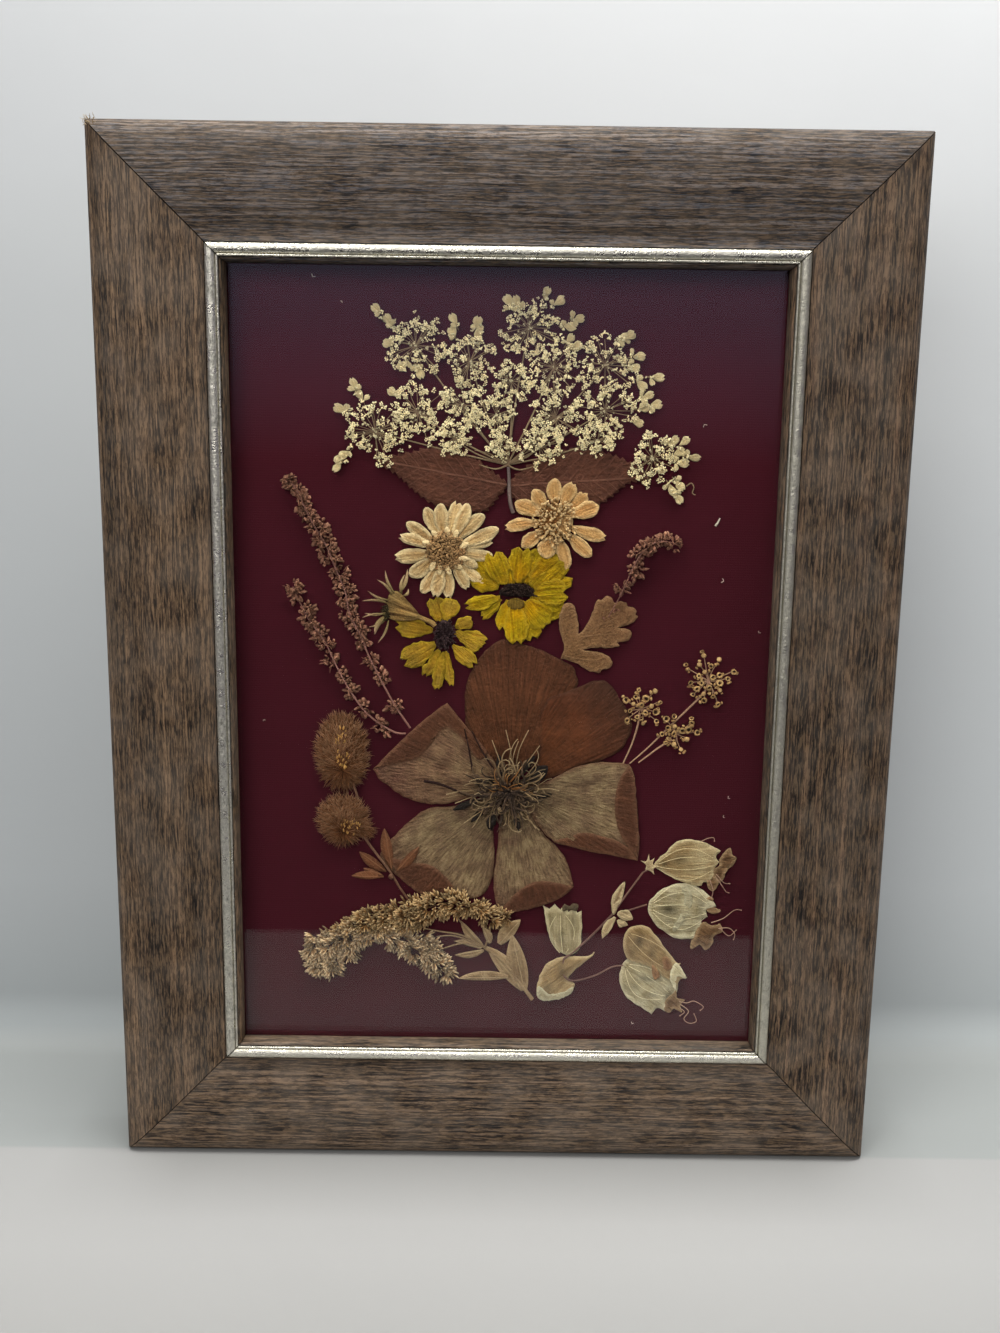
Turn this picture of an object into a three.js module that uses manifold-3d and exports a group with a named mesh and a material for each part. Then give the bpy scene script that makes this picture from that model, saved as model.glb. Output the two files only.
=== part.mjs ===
// A pressed flower picture: four mitred mouldings with an inlaid silver bead hold a pane of glass,
// a cloth-covered board with the dried flowers laid on it, and a hardboard back.
// Millimetres, +Z up, the front faces -Y, and the origin is in the middle of the face it stands on.
import * as THREE from "three";
import { mergeVertices } from "three/addons/utils/BufferGeometryUtils.js";
import Module from "manifold-3d";

const wasm = await Module();
wasm.setup();

// ---- driving dimensions ----
const sight = { width: 115, height: 170 }; // the opening that shows the flowers
const rail = { width: 27, depth: 18, rabbet: 6.5, lipFoot: 12.6 }; // lipFoot: height of the rabbet's shelf
const outer = { width: sight.width + 2 * rail.width, height: sight.height + 2 * rail.width };
const sheet = { width: 127, height: 182 }; // glass, board and back are all cut to this
const glass = { thick: 2, gap: 0.2 };
const flowerSpace = 2.6; // between the board's cloth and the glass
const board = { thick: 1.6 };
const panel = { thick: 2.8, gap: 0.2 };
const mitreGap = 0.3; // what each mitre shows between its two rails
const slack = 0.12; // round a piece that is let into another

// Heights above the rear plane of the rails, towards the front.
const glassFront = rail.lipFoot - glass.gap;
const boardFront = glassFront - glass.thick - flowerSpace;
const panelFront = boardFront - board.thick - panel.gap;
const panelBack = panelFront - panel.thick;

// The moulding's section: x runs in from the outer edge, y is the height above the rear plane.
const bead = { start: 23.2, end: 26, seat: 15.1, side: 16, crown: 16.75 };
const face = [
  [0, 14.6], [0.25, 15.7], [0.9, 16.6], [2.1, 17.35], [3.8, 17.85], [6, 18], [9, 17.9],
  [12.5, 17.6], [16, 17.05], [19, 16.4], [21.2, 15.95], [22.4, 15.95], [bead.start - slack, 16.2],
];
const lip = [[bead.end + slack, 15.9], [26.5, 15.6], [26.85, 14.8], [rail.width, 13.9]];

// ---- materials ----
function finish(color, roughness, metalness = 0) {
  return new THREE.MeshStandardMaterial({ color, roughness, metalness });
}
const walnutFoil = finish(0x6b5340, 0.55);
const silverFoil = finish(0xc9c6b8, 0.3, 0.9);
const clearGlass = new THREE.MeshStandardMaterial({
  color: 0xe8f0ee, roughness: 0.05, transparent: true, opacity: 0.25,
});
const burgundyCloth = finish(0x45101f, 0.85);
const hardboard = finish(0x6a4a30, 0.8);
const steel = finish(0xa8a8a4, 0.4, 0.8);
const driedCream = finish(0xd8c79c, 0.85);
const driedPeach = finish(0xd9b27a, 0.85);
const driedYellow = finish(0xc79f14, 0.8);
const darkDisc = finish(0x2a1d20, 0.9);
const discBrown = finish(0x9a7350, 0.9);
const laceCream = finish(0xcbbf96, 0.9);
const russetLeaf = finish(0x7a4a34, 0.8);
const tanLeaf = finish(0x9c7450, 0.85);
const dockBrown = finish(0x6b4238, 0.9);
const sepalBrown = finish(0x6e4630, 0.8);
const sepalTaupe = finish(0x8d7862, 0.85);
const stamenBrown = finish(0x7c5c3a, 0.9);
const seedTan = finish(0xb89c68, 0.9);
const cloverFur = finish(0xa87a4c, 0.95);
const goldenrodTan = finish(0xb79a5e, 0.95);
const paleLeaf = finish(0xb3a37c, 0.85);
const campionWhite = finish(0xd6cfae, 0.75);
const campionTan = finish(0xcdb184, 0.8);

// ---- solids ----
function toSolid(geometry) {
  const bare = geometry.clone();
  bare.deleteAttribute("normal");
  bare.deleteAttribute("uv");
  const merged = mergeVertices(bare, 1e-4);
  return new wasm.Manifold(new wasm.Mesh({
    numProp: 3,
    vertProperties: merged.attributes.position.array,
    triVerts: new Uint32Array(merged.index.array),
  }));
}

function toGeometry(solid) {
  const mesh = solid.getMesh();
  const geometry = new THREE.BufferGeometry();
  geometry.setAttribute("position", new THREE.BufferAttribute(new Float32Array(mesh.vertProperties), 3));
  geometry.setIndex(new THREE.BufferAttribute(new Uint32Array(mesh.triVerts), 1));
  geometry.computeVertexNormals();
  return geometry;
}

function fuse(geometries) {
  return toGeometry(geometries.map(toSolid).reduce((whole, next) => whole.add(next)));
}

function cut(geometry, tools) {
  return toGeometry(tools.map(toSolid).reduce((whole, tool) => whole.subtract(tool), toSolid(geometry)));
}

function named(name, geometry, material) {
  const mesh = new THREE.Mesh(geometry, material);
  mesh.name = name;
  return mesh;
}

function boxAt(width, depth, height, x, y, z) {
  return new THREE.BoxGeometry(width, depth, height).translate(x, y, z);
}

// ---- flat pressed shapes: drawn in x and y, with z rising off the cloth towards the glass ----
const layerPitch = 0.4;
const layerThick = 0.28;
const lowestLayer = 0.08;
function layer(n) {
  return lowestLayer + n * layerPitch;
}

function polar(centre, angle, distance) {
  return [centre[0] + distance * Math.cos(angle), centre[1] + distance * Math.sin(angle)];
}

function rad(degrees) {
  return (degrees * Math.PI) / 180;
}

function plate(outline, lift, thick = layerThick) {
  const shape = new THREE.Shape(outline.map((p) => new THREE.Vector2(p[0], p[1])));
  return new THREE.ExtrudeGeometry(shape, { depth: thick, bevelEnabled: false }).translate(0, 0, lift);
}

// A closed outline rounded through its points.
function rounded(points, samples) {
  const corners = points.map((p) => new THREE.Vector3(p[0], p[1], 0));
  const curve = new THREE.CatmullRomCurve3(corners, true, "centripetal");
  return curve.getPoints(samples).slice(0, -1).map((p) => [p.x, p.y]);
}

// A blade from base to tip: half its width is sin(pi s^peak)^blunt, so peak moves the widest place
// and a small blunt squares the ends.
function blade(base, tip, width, { peak = 1.3, blunt = 0.6, from = 0.12, steps = 3 } = {}) {
  const along = [tip[0] - base[0], tip[1] - base[1]];
  const length = Math.hypot(...along);
  const normal = [-along[1] / length, along[0] / length];
  const side = (sign) => Array.from({ length: steps }, (_, i) => {
    const s = from + ((0.97 - from) * i) / (steps - 1);
    const half = sign * (width / 2) * Math.sin(Math.PI * s ** peak) ** blunt;
    return [base[0] + along[0] * s + normal[0] * half, base[1] + along[1] * s + normal[1] * half];
  });
  return [...side(-1), tip, ...side(1).reverse()];
}

const leafShape = { from: 0.02, peak: 1, blunt: 0.8, steps: 4 };

// A flattened stem of even width along a smooth line.
function stalk(points, width, steps = 6) {
  const corners = points.map((p) => new THREE.Vector3(p[0], p[1], 0));
  const curve = new THREE.CatmullRomCurve3(corners, false, "centripetal");
  const left = [];
  const right = [];
  for (let i = 0; i <= steps; i++) {
    const at = curve.getPoint(i / steps);
    const t = curve.getTangent(i / steps);
    left.push([at.x - (t.y * width) / 2, at.y + (t.x * width) / 2]);
    right.push([at.x + (t.y * width) / 2, at.y - (t.x * width) / 2]);
  }
  return [...right, ...left.reverse()];
}

function disc(centre, radiusX, radiusY, lift, thick, sides = 10) {
  const points = Array.from({ length: sides }, (_, i) => {
    const a = (2 * Math.PI * i) / sides;
    return [centre[0] + radiusX * Math.cos(a), centre[1] + radiusY * Math.sin(a)];
  });
  return plate(points, lift, thick);
}

// A low mound: a ring of facets that rises to a flat top.
function mound(centre, radiusX, radiusY, lift, thick, sides = 12) {
  const geometry = new THREE.CylinderGeometry(0.62, 1, 1, sides).rotateX(Math.PI / 2);
  return geometry.scale(radiusX, radiusY, thick).translate(centre[0], centre[1], lift + thick / 2);
}

// Repeatable scatter for the small florets.
function scatter(seed) {
  let state = seed;
  return () => {
    state = (state * 16807) % 2147483647;
    return state / 2147483647;
  };
}

// A ragged clump of florets: points that stand out of a smaller ring, each a little off its place.
// A point nearest to a far tip is drawn out to it.
function tuft(centre, radius, points, inner, random, far = []) {
  const turn = random() * Math.PI;
  const outline = Array.from({ length: points * 2 }, (_, i) => {
    const angle = turn + (Math.PI * (i + 0.4 * random())) / points;
    return polar(centre, angle, radius * (i % 2 ? inner : 0.9 + 0.16 * random()));
  });
  for (const tip of far) {
    const gaps = outline.map((p, i) => (i % 2 ? Infinity : Math.hypot(p[0] - tip[0], p[1] - tip[1])));
    outline[gaps.indexOf(Math.min(...gaps))] = tip;
  }
  return outline;
}

// ---- frame ----
function moulding(length, section) {
  const shape = new THREE.Shape(section.map((p) => new THREE.Vector2(p[0], p[1])));
  const geometry = new THREE.ExtrudeGeometry(shape, { depth: length, bevelEnabled: false });
  const at = geometry.attributes.position;
  for (let i = 0; i < at.count; i++) {
    const inset = at.getX(i) + mitreGap / 2;
    at.setZ(i, at.getZ(i) < length / 2 ? inset : length - inset); // the mitre
  }
  return geometry.translate(0, 0, -length / 2);
}

function railSection() {
  const rabbetEdge = rail.width - rail.rabbet;
  return [
    [0, 0], [rabbetEdge, 0], [rabbetEdge, rail.lipFoot], [rail.width, rail.lipFoot],
    ...[...lip].reverse(),
    [bead.end + slack, bead.seat], [bead.start - slack, bead.seat],
    ...[...face].reverse(),
  ];
}

function beadSection() {
  const middle = (bead.start + bead.end) / 2;
  const half = (bead.end - bead.start) / 2;
  const crown = [0, 36, 72, 108, 144, 180].map((degrees) => [
    middle + half * Math.cos(rad(degrees)),
    bead.side + (bead.crown - bead.side) * Math.sin(rad(degrees)),
  ]);
  return [[bead.start, bead.seat + slack], [bead.end, bead.seat + slack], ...crown];
}

// Turns a moulding so that its section's x points in from one side of the frame and its y to the front.
const edge = outer.width / 2;
const midHeight = outer.height / 2;
const sides = {
  top: { length: outer.width, inward: [0, 0, -1], along: [-1, 0, 0], at: [0, 0, outer.height] },
  right: { length: outer.height, inward: [-1, 0, 0], along: [0, 0, 1], at: [edge, 0, midHeight] },
  bottom: { length: outer.width, inward: [0, 0, 1], along: [1, 0, 0], at: [0, 0, 0] },
  left: { length: outer.height, inward: [1, 0, 0], along: [0, 0, -1], at: [-edge, 0, midHeight] },
};
const rear = rail.depth / 2; // y of the rails' rear plane

function placed(geometry, side) {
  const turn = new THREE.Matrix4().makeBasis(
    new THREE.Vector3(...side.inward), new THREE.Vector3(0, -1, 0), new THREE.Vector3(...side.along));
  turn.setPosition(side.at[0], rear, side.at[2]);
  return geometry.applyMatrix4(turn);
}

// Glazing points hold the back in: thin steel tongues pushed into the rabbet wall.
const point = { width: 8, length: 13, thick: 0.6, sunk: 4 };
const pointPlaces = [
  { side: "left", along: 38 }, { side: "left", along: -38 },
  { side: "right", along: 38 }, { side: "right", along: -38 },
];
const pointHeight = panelBack - 0.1 - point.thick; // its rear face, above the rear plane

function glazingPoint(place, grown) {
  const sign = place.side === "left" ? -1 : 1;
  const wall = edge - (rail.width - rail.rabbet);
  const middle = sign * (wall + point.sunk - point.length / 2);
  return boxAt(
    point.length + 2 * grown, point.thick + 2 * grown, point.width + 2 * grown,
    middle, rear - pointHeight - point.thick / 2, midHeight + place.along);
}

function sawtoothHanger() {
  const strip = { length: 44, height: 9, thick: 0.8, gap: 0.15, teeth: 11, toothHeight: 2 };
  const left = -strip.length / 2;
  const pitch = (strip.length * 0.64) / strip.teeth;
  const outline = [[left, 0], [left, strip.height], [-left, strip.height], [-left, 0]];
  for (let i = 0; i < strip.teeth; i++) {
    const x = (pitch * strip.teeth) / 2 - i * pitch;
    outline.push([x, 0], [x - pitch / 2, strip.toothHeight]);
  }
  outline.push([(-pitch * strip.teeth) / 2, 0]);
  const nails = [-1, 1].map((s) => new THREE.CylinderGeometry(1.6, 1.6, 0.9, 10)
    .rotateX(Math.PI / 2).translate(s * strip.length * 0.42, strip.height * 0.55, strip.thick + 0.2));
  const geometry = fuse([plate(outline, 0, strip.thick), ...nails]);
  const middle = outer.height - rail.width / 2;
  return geometry.rotateY(Math.PI).rotateX(Math.PI / 2)
    .translate(0, rear + strip.gap, middle - strip.height / 2);
}

function buildFrame() {
  const group = new THREE.Group();
  for (const [name, side] of Object.entries(sides)) {
    const slots = pointPlaces.filter((p) => p.side === name).map((p) => glazingPoint(p, slack));
    const wood = placed(moulding(side.length, railSection()), side);
    group.add(named(`rail_${name}`, slots.length ? cut(wood, slots) : wood, walnutFoil));
    group.add(named(`bead_${name}`, placed(moulding(side.length, beadSection()), side), silverFoil));
  }
  const slab = (name, front, thick, material) => {
    const middle = rear - front + thick / 2;
    group.add(named(name, boxAt(sheet.width, thick, sheet.height, 0, middle, midHeight), material));
  };
  slab("glass_pane", glassFront, glass.thick, clearGlass);
  slab("cloth_board", boardFront, board.thick, burgundyCloth);
  slab("back_panel", panelFront, panel.thick, hardboard);
  pointPlaces.forEach((place, i) => {
    group.add(named(`glazing_point_${i + 1}`, glazingPoint(place, 0), steel));
  });
  group.add(named("sawtooth_hanger", sawtoothHanger(), steel));
  return group;
}

// ---- wild carrot lace: a hub, its rays, and a knobbly umbellet at the end of each ----
const laceHub = [0.3, 45];
const umbellets = [ // far: the tips of the long outer petals
  { at: [-19, 69], radius: 5.6, far: [[-27.6, 76.8], [-17.8, 63]] },
  { at: [-7.6, 66], radius: 5, far: [[-11, 75], [-6, 74.4]] },
  { at: [-28, 51], radius: 5.6, far: [[-32, 61.6], [-35.6, 56.4], [-35.6, 44.2]] },
  { at: [-18.6, 55.4], radius: 5.2 },
  { at: [-9.3, 57], radius: 4.8 },
  { at: [-10.6, 50.2], radius: 3.8 },
  { at: [1, 61.8], radius: 4.2 },
  { at: [-1.6, 54.5], radius: 3.6 },
  { at: [4.6, 73], radius: 5.8, far: [[-0.4, 79], [8.6, 81], [15.4, 75.4]] },
  { at: [10, 65], radius: 5.4 },
  { at: [20.8, 66], radius: 5.8, far: [[26.6, 73], [28.2, 67.6]] },
  { at: [21.2, 56.4], radius: 5.6, far: [[32, 63], [32.2, 57], [28.4, 52.8]] },
  { at: [10.8, 54.8], radius: 5.2 },
  { at: [19.4, 50.2], radius: 3.6 },
  { at: [8, 48.8], radius: 3.6 },
];
const looseUmbellet = { at: [31.6, 46.6], radius: 5.2, far: [[38.4, 50.2], [40.4, 47], [37, 37.4]] };

function umbellet({ at, radius, far }, seed, lift) {
  return plate(tuft(at, radius, 6, 0.62, scatter(seed), far), lift);
}

function laceUmbel() {
  const lift = layer(0);
  const parts = [disc(laceHub, 1.6, 1.1, lift, layerThick, 8)];
  umbellets.forEach((head, i) => {
    parts.push(umbellet(head, 101 + i, lift));
    parts.push(plate(stalk([laceHub, head.at], 0.6, 1), lift));
  });
  return fuse(parts);
}

// ---- the pair of toothed leaves below the lace ----
function toothed(points, samples, depth) {
  const smooth = rounded(points, samples);
  return smooth.map((p, i) => {
    const next = smooth[(i + 1) % smooth.length];
    const last = smooth[(i + smooth.length - 1) % smooth.length];
    const run = Math.hypot(next[0] - last[0], next[1] - last[1]);
    const tooth = i % 2 ? depth : 0;
    return [p[0] - (tooth * (next[1] - last[1])) / run, p[1] + (tooth * (next[0] - last[0])) / run];
  });
}

const russetLeft = [
  [-0.4, 40], [-4, 44.4], [-10, 47.1], [-16, 47.7], [-22, 46.1], [-27.5, 45.5],
  [-23.5, 43.2], [-20.4, 40.6], [-15, 37.2], [-9, 34.8], [-3.6, 34.7],
];
const russetRight = [
  [1.4, 40], [5, 43.9], [11, 47.3], [18, 47.8], [25, 45.6], [30.7, 42.3],
  [26.4, 41.4], [21.6, 37.6], [15, 34.6], [8, 34.2], [3, 36],
];

function russetRightLeaf() {
  const stem = stalk([[0.7, 43], [1, 40], [1.7, 34.6]], 0.8, 3);
  return fuse([plate(toothed(russetRight, 36, 0.4), layer(1)), plate(stem, layer(1))]);
}

// ---- daisies: petals fused in one ring, with a disc on top ----
function petalRing({ at, hub, petals, blunt }, lift) {
  const ring = petals.map(([x, y, width]) => plate(blade(at, [x, y], width, { blunt }), lift));
  return fuse([disc(at, hub, hub, lift, layerThick, 6), ...ring]);
}

// Each petal: its tip's x and y, and its width.
const creamDaisy = { at: [-12.6, 26.5], disc: [4.1, 4.1], hub: 2.6, blunt: 0.45, petals: [
  [-14, 36.3, 3.4], [-10, 37.1, 3.2], [-7.6, 36.6, 3], [-4, 34.1, 3.4], [-1.2, 31, 3.2],
  [-2.6, 28.2, 2.6], [-2.6, 24.3, 2.8], [-5.2, 18.6, 2.7], [-8, 17.8, 2.8], [-11.4, 16, 3.1],
  [-14.2, 16.1, 3.2], [-17.8, 18.2, 3.3], [-20, 21, 3.4], [-23.3, 24.5, 3.2], [-22.3, 29, 2.7],
  [-20.8, 32, 2.8], [-17.6, 35.3, 2.8],
] };
const peachDaisy = { at: [11, 32.8], disc: [3.6, 3], hub: 2.4, blunt: 0.5, petals: [
  [10.5, 42, 3.2], [15, 41, 3.4], [17.8, 38.8, 3], [19.9, 36.2, 3.4], [21.6, 29.6, 3],
  [18.6, 25.3, 2.8], [13.6, 22.4, 3.1], [8.6, 25.2, 3.8], [3.8, 27.4, 3.1], [0.3, 31.2, 2.9],
  [2.7, 36.6, 3.4], [6.2, 39.4, 3],
] };
const yellowDaisy = { at: [2.8, 17.2], disc: [3.4, 1.4], hub: 2.6, blunt: 0.4, petals: [
  [-4.6, 24.6, 5.2], [1, 26.1, 4.8], [5.6, 27.2, 5], [11.6, 24.4, 5.6], [13.9, 20.2, 4.8],
  [12.1, 16.2, 4.4], [11.8, 11, 4.8], [7.4, 6.6, 4.4], [3.6, 6, 4.4], [-1, 9, 3], [-8.2, 13.6, 3.6],
] };
const smallYellow = { at: [-12.6, 8], disc: [2.1, 3.3], hub: 1.8, blunt: 0.45, petals: [
  [-13.2, 16, 6], [-6.2, 10.9, 3], [-3.6, 5.9, 3.4], [-6.2, 0.9, 3.6], [-10.5, -4, 2.8],
  [-13.6, -4.3, 3.2], [-16.2, -2.5, 3.2], [-21.2, 1.2, 4.6], [-23, 9.6, 4.2],
] };

// ---- the green-brown seed bud with its bristling bracts ----
function seedBud() {
  const lift = layer(3);
  const neck = [-18.4, 12];
  const parts = [plate(stalk([[-15.2, 10.7], neck], 1, 1), lift)];
  const bell = [[-18, 11.2], [-19.4, 13.8], [-22.4, 17], [-24.8, 16.4], [-25.4, 13], [-24, 10.4]];
  parts.push(plate(rounded(bell, 14), lift, 0.9));
  const bracts = [
    [-25.5, 21.8], [-27, 19.6], [-29, 17], [-30.3, 15], [-29.4, 12.4], [-29.9, 11], [-29, 9.4], [-27, 6.2],
    [-20.9, 21.8],
  ];
  bracts.forEach((tip) => parts.push(plate(blade([-22.8, 14], tip, 1.2, { steps: 3 }), lift)));
  return fuse(parts);
}

// ---- dock spikes: a thin stem with clumps of small dry flowers ----
function spike(line, clumps, lift, seed) {
  const random = scatter(seed);
  const parts = [plate(stalk(line, 0.55, 6), lift)];
  clumps.forEach(([x, y, size]) => parts.push(plate(tuft([x, y], size, 3, 0.7, random), lift)));
  return fuse(parts);
}

const tallSpike = {
  line: [[-18.6, -15], [-24.5, -6.5], [-28, 1], [-31, 8], [-34, 16], [-37, 24], [-41, 32], [-46, 41]],
  clumps: [
    [-23.6, -8, 2], [-27, -1.8, 2.1], [-28.9, 2.2, 2.1], [-30.6, 6.4, 1.9], [-32.3, 10.4, 1.9],
    [-33.2, 14.3, 1.9], [-34.5, 18.6, 2.1], [-36.1, 22.3, 2], [-37.8, 26, 1.8], [-39.6, 29.6, 1.8],
    [-41.6, 33.4, 1.8], [-43.6, 37, 1.5], [-45.2, 40, 1.1],
  ],
};
const shortSpike = {
  line: [[-20.8, -14.4], [-25, -13], [-29, -10], [-33, -4.6], [-36, 0], [-39, 5.5], [-42, 11], [-45.4, 18.3]],
  clumps: [
    [-26.2, -12.3, 1.7], [-29.6, -9.2, 1.7], [-33.2, -5.2, 1.7], [-34.6, -1.2, 1.9], [-37.4, 2.4, 1.8],
    [-38.8, 5.2, 1.9], [-41, 9.4, 1.7], [-42.6, 12.6, 1.4], [-44.5, 16.8, 1.3],
  ],
};
const rightSpike = {
  line: [[22.8, 13], [25, 18], [28, 25], [30, 28], [33, 29.2], [36.8, 28.8]],
  clumps: [
    [25.7, 19.6, 1.6], [28.4, 22.6, 1.4], [28.6, 25.7, 1.6], [31, 28.2, 1.9], [34, 29, 1.6],
    [36.6, 28.2, 1.4],
  ],
};

// ---- the lobed leaf ----
const lobedLeafOutline = [
  [12.8, 3], [13.5, 5.5], [12.6, 9.2], [12.7, 13], [14.3, 15.2], [16, 13.4], [16.5, 8.3],
  [18.2, 10.2], [20.2, 15.4], [22.5, 16.7], [24.4, 15.3], [26.8, 14.7], [29.2, 13], [27.4, 10.5],
  [24.6, 10], [27.8, 9.1], [27, 7], [24.8, 5.9], [17.4, 5], [21.4, 4.4], [24, 2.3], [21.4, 0.1],
  [17.5, 0.9], [14, 2.8],
];

// ---- the large clematis: six sepals, three with their edges folded over, and a nest of stamens ----
const clematisHeart = [2, -26.8];
const sepals = [
  { layer: 0, outline: [
    [-3, -22], [-6.2, -14], [-7.9, -6], [-6.2, 0.6], [-2.6, 6.3], [2.5, 6.2], [10, 3.7], [16, 0.2],
    [16.4, -3.6], [13, -12], [8, -20], [3, -24]] },
  { layer: 1, outline: [
    [3, -24], [7, -18], [8.4, -10], [10.5, -5.3], [16.3, -3.6], [21.2, -1.9], [24.6, -3.4], [28.3, -11.6],
    [27, -16.6], [20, -21], [12, -24.4], [6, -26]] },
  { layer: 2, outline: [
    [4, -27], [10, -24.4], [16, -21.2], [22, -20.4], [28.2, -20.6], [29.7, -24], [30.8, -32], [31.1, -42.4],
    [26, -42], [15, -39.7], [10, -37.4], [5, -30]],
    fold: [[28, -21], [26, -25.5], [25.6, -30.5], [27.2, -37.6], [30.6, -42], [30.5, -32], [29.4, -24]] },
  { layer: 1, outline: [
    [0.4, -29], [-0.3, -40], [-1.2, -50], [-0.4, -55.2], [6, -55], [12.5, -52.8], [16.8, -49.5], [15.4, -44],
    [13.6, -40], [9.5, -37], [5.6, -30]],
    fold: [[1, -54.6], [4.5, -50.6], [8.4, -48.4], [15.9, -49.2], [12, -52.6], [6, -54.6]] },
  { layer: 0, outline: [
    [-1.5, -28], [-9, -30.6], [-17.3, -32.4], [-23, -37.3], [-27, -43.4], [-22, -48.6], [-14, -53.2],
    [-5, -53.6], [-1.5, -48.5], [-0.8, -38], [0.4, -31]],
    fold: [[-22.6, -47.6], [-18.6, -45], [-15, -45.6], [-10.8, -49.4], [-11.4, -53], [-17, -51.6]] },
  { layer: 1, outline: [
    [-2, -22.4], [-8.8, -12], [-12, -7.4], [-17, -10], [-22, -15.6], [-28.2, -22.8], [-24, -27.4],
    [-16, -30.4], [-8, -28.6], [-1, -27]] },
];

function sepal({ layer: n, outline, fold }) {
  const whole = plate(rounded(outline, 22), layer(n));
  if (!fold) return whole;
  return fuse([whole, plate(rounded(fold, 10), layer(n) + layerThick * 0.6, layerThick * 0.7)]);
}

function stamenNest() {
  const lift = layer(3);
  const random = scatter(77);
  const parts = [mound(clematisHeart, 4, 4.2, lift, 0.8)];
  const filaments = 15;
  for (let i = 0; i < filaments; i++) {
    const angle = (2 * Math.PI * (i + random())) / filaments;
    const reach = 6.4 + 4.2 * random();
    parts.push(plate(stalk([clematisHeart, polar(clematisHeart, angle, reach)], 0.42, 1), lift));
  }
  return fuse(parts);
}

// ---- seed umbels: bare stems that end in a spray of tiny cups ----
const seedUmbels = {
  left: { foot: [27.2, -19.7], hub: [30.4, -9.2], middle: [30.5, -7.4], radius: 3.9 },
  top: { foot: [28.9, -19.8], hub: [44.4, -3.6], middle: [45.2, -1], radius: 4.8 },
  low: { foot: [31.4, -19.6], hub: [38, -14.6], middle: [39, -13.4], radius: 3.7 },
};

function seedUmbel({ foot, hub, middle, radius }, seed, lift) {
  const random = scatter(seed);
  const parts = [plate(stalk([foot, hub], 0.5, 1), lift), disc(hub, 0.7, 0.7, lift, layerThick, 6)];
  const rays = 8;
  for (let i = 0; i < rays; i++) {
    const angle = (2 * Math.PI * (i + 0.4 * random())) / rays;
    const end = polar(middle, angle, radius * (i % 2 ? 0.95 : 0.62));
    parts.push(plate(stalk([hub, end], 0.36, 1), lift), disc(end, 0.7, 0.7, lift, layerThick, 5));
  }
  return fuse(parts);
}

// ---- hare's-foot clover: two furry heads and a stem with three-part leaves ----
function furryHead(middle, radiusX, radiusY, lift, thick) {
  const tips = 14;
  const outline = Array.from({ length: tips * 2 }, (_, i) => {
    const a = (Math.PI * i) / tips;
    const reach = i % 2 ? 0.93 : 1;
    return [middle[0] + radiusX * reach * Math.cos(a), middle[1] + radiusY * reach * Math.sin(a)];
  });
  const middleMound = mound(middle, radiusX * 0.86, radiusY * 0.88, lift, thick, 10);
  return fuse([plate(outline, lift, thick * 0.5), middleMound]);
}

function cloverStem() {
  const lift = layer(1);
  const joint = [-24.2, -47];
  const line = [[-33.4, -25], [-31.6, -30], [-31.2, -36.5], [-27.6, -42], [-24.2, -47], [-20.2, -53.6]];
  const leaflets = [
    [[-25.8, -36.8], 2.5], [[-17.9, -40.8], 2.1], [[-31.4, -42], 2.5], [[-33, -47.8], 1.9],
    [[-29.8, -45.6], 1.6],
  ];
  return fuse([
    plate(stalk(line, 0.6, 7), lift),
    disc(joint, 0.7, 0.7, lift, layerThick, 5),
    ...leaflets.map(([tip, width]) => plate(blade(joint, tip, width, leafShape), lift)),
  ]);
}

// ---- goldenrod: three plumes of tufts over a leafy stem ----
const plumes = {
  arch: [
    [-42, -69.4, 2.9], [-38.2, -69.6, 2.6], [-41, -65.4, 3], [-36.6, -64, 3], [-34, -66.8, 2.1],
    [-37, -60.6, 2.3], [-32.4, -61.4, 2.8], [-29.4, -57.6, 3.2], [-26.6, -60.8, 2.6], [-25, -56.4, 2.9],
    [-20.6, -57, 3], [-16.2, -54.9, 2.7], [-16.6, -58.8, 2.6], [-11.6, -53.9, 2.5],
  ],
  lower: [
    [-22, -63.9, 2.8], [-18.8, -65.7, 3], [-16.2, -63.4, 1.8], [-15.2, -67.8, 3], [-12, -70.4, 2.8],
  ],
  right: [[-4.3, -55.6, 1.9], [-1.4, -57.6, 2.2], [0.8, -56.8, 1.7]],
};

function plume(tufts, lift, seed) {
  const random = scatter(seed);
  const parts = tufts.map(([x, y, size]) => plate(tuft([x, y], size, 5, 0.8, random), lift, 0.9));
  return fuse(parts);
}

function goldenrodStem() {
  const lift = layer(0);
  const stem = [[-13, -60.8], [-8, -61.2], [-3, -64.4], [1, -68], [4.4, -72.2], [8, -77]];
  const twigs = [
    [[-9.6, -57.6], [-6.4, -61], [-2.6, -64.4]], [[-14.6, -62.6], [-8, -61.6]],
    [[-1.6, -59], [-1.8, -62], [-2.4, -64.6]], [[-13.6, -64.8], [-9, -62.2], [-5, -62.6]],
  ];
  const leaves = [
    [[0, -65], [4.9, -57.8], 3.4], [[-3, -64], [5.2, -73], 3.8], [[6.8, -75.4], [2.6, -61.6], 5.2],
    [[3, -71.4], [-9.2, -71.8], 2.7], [[-2.6, -64.9], [-9.8, -66.6], 2],
  ];
  return fuse([
    plate(stalk(stem, 0.8, 5), lift),
    ...twigs.map((line) => plate(stalk(line, 0.5, 3), lift)),
    ...leaves.map(([base, tip, width]) => plate(blade(base, tip, width, leafShape), lift)),
  ]);
}

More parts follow.
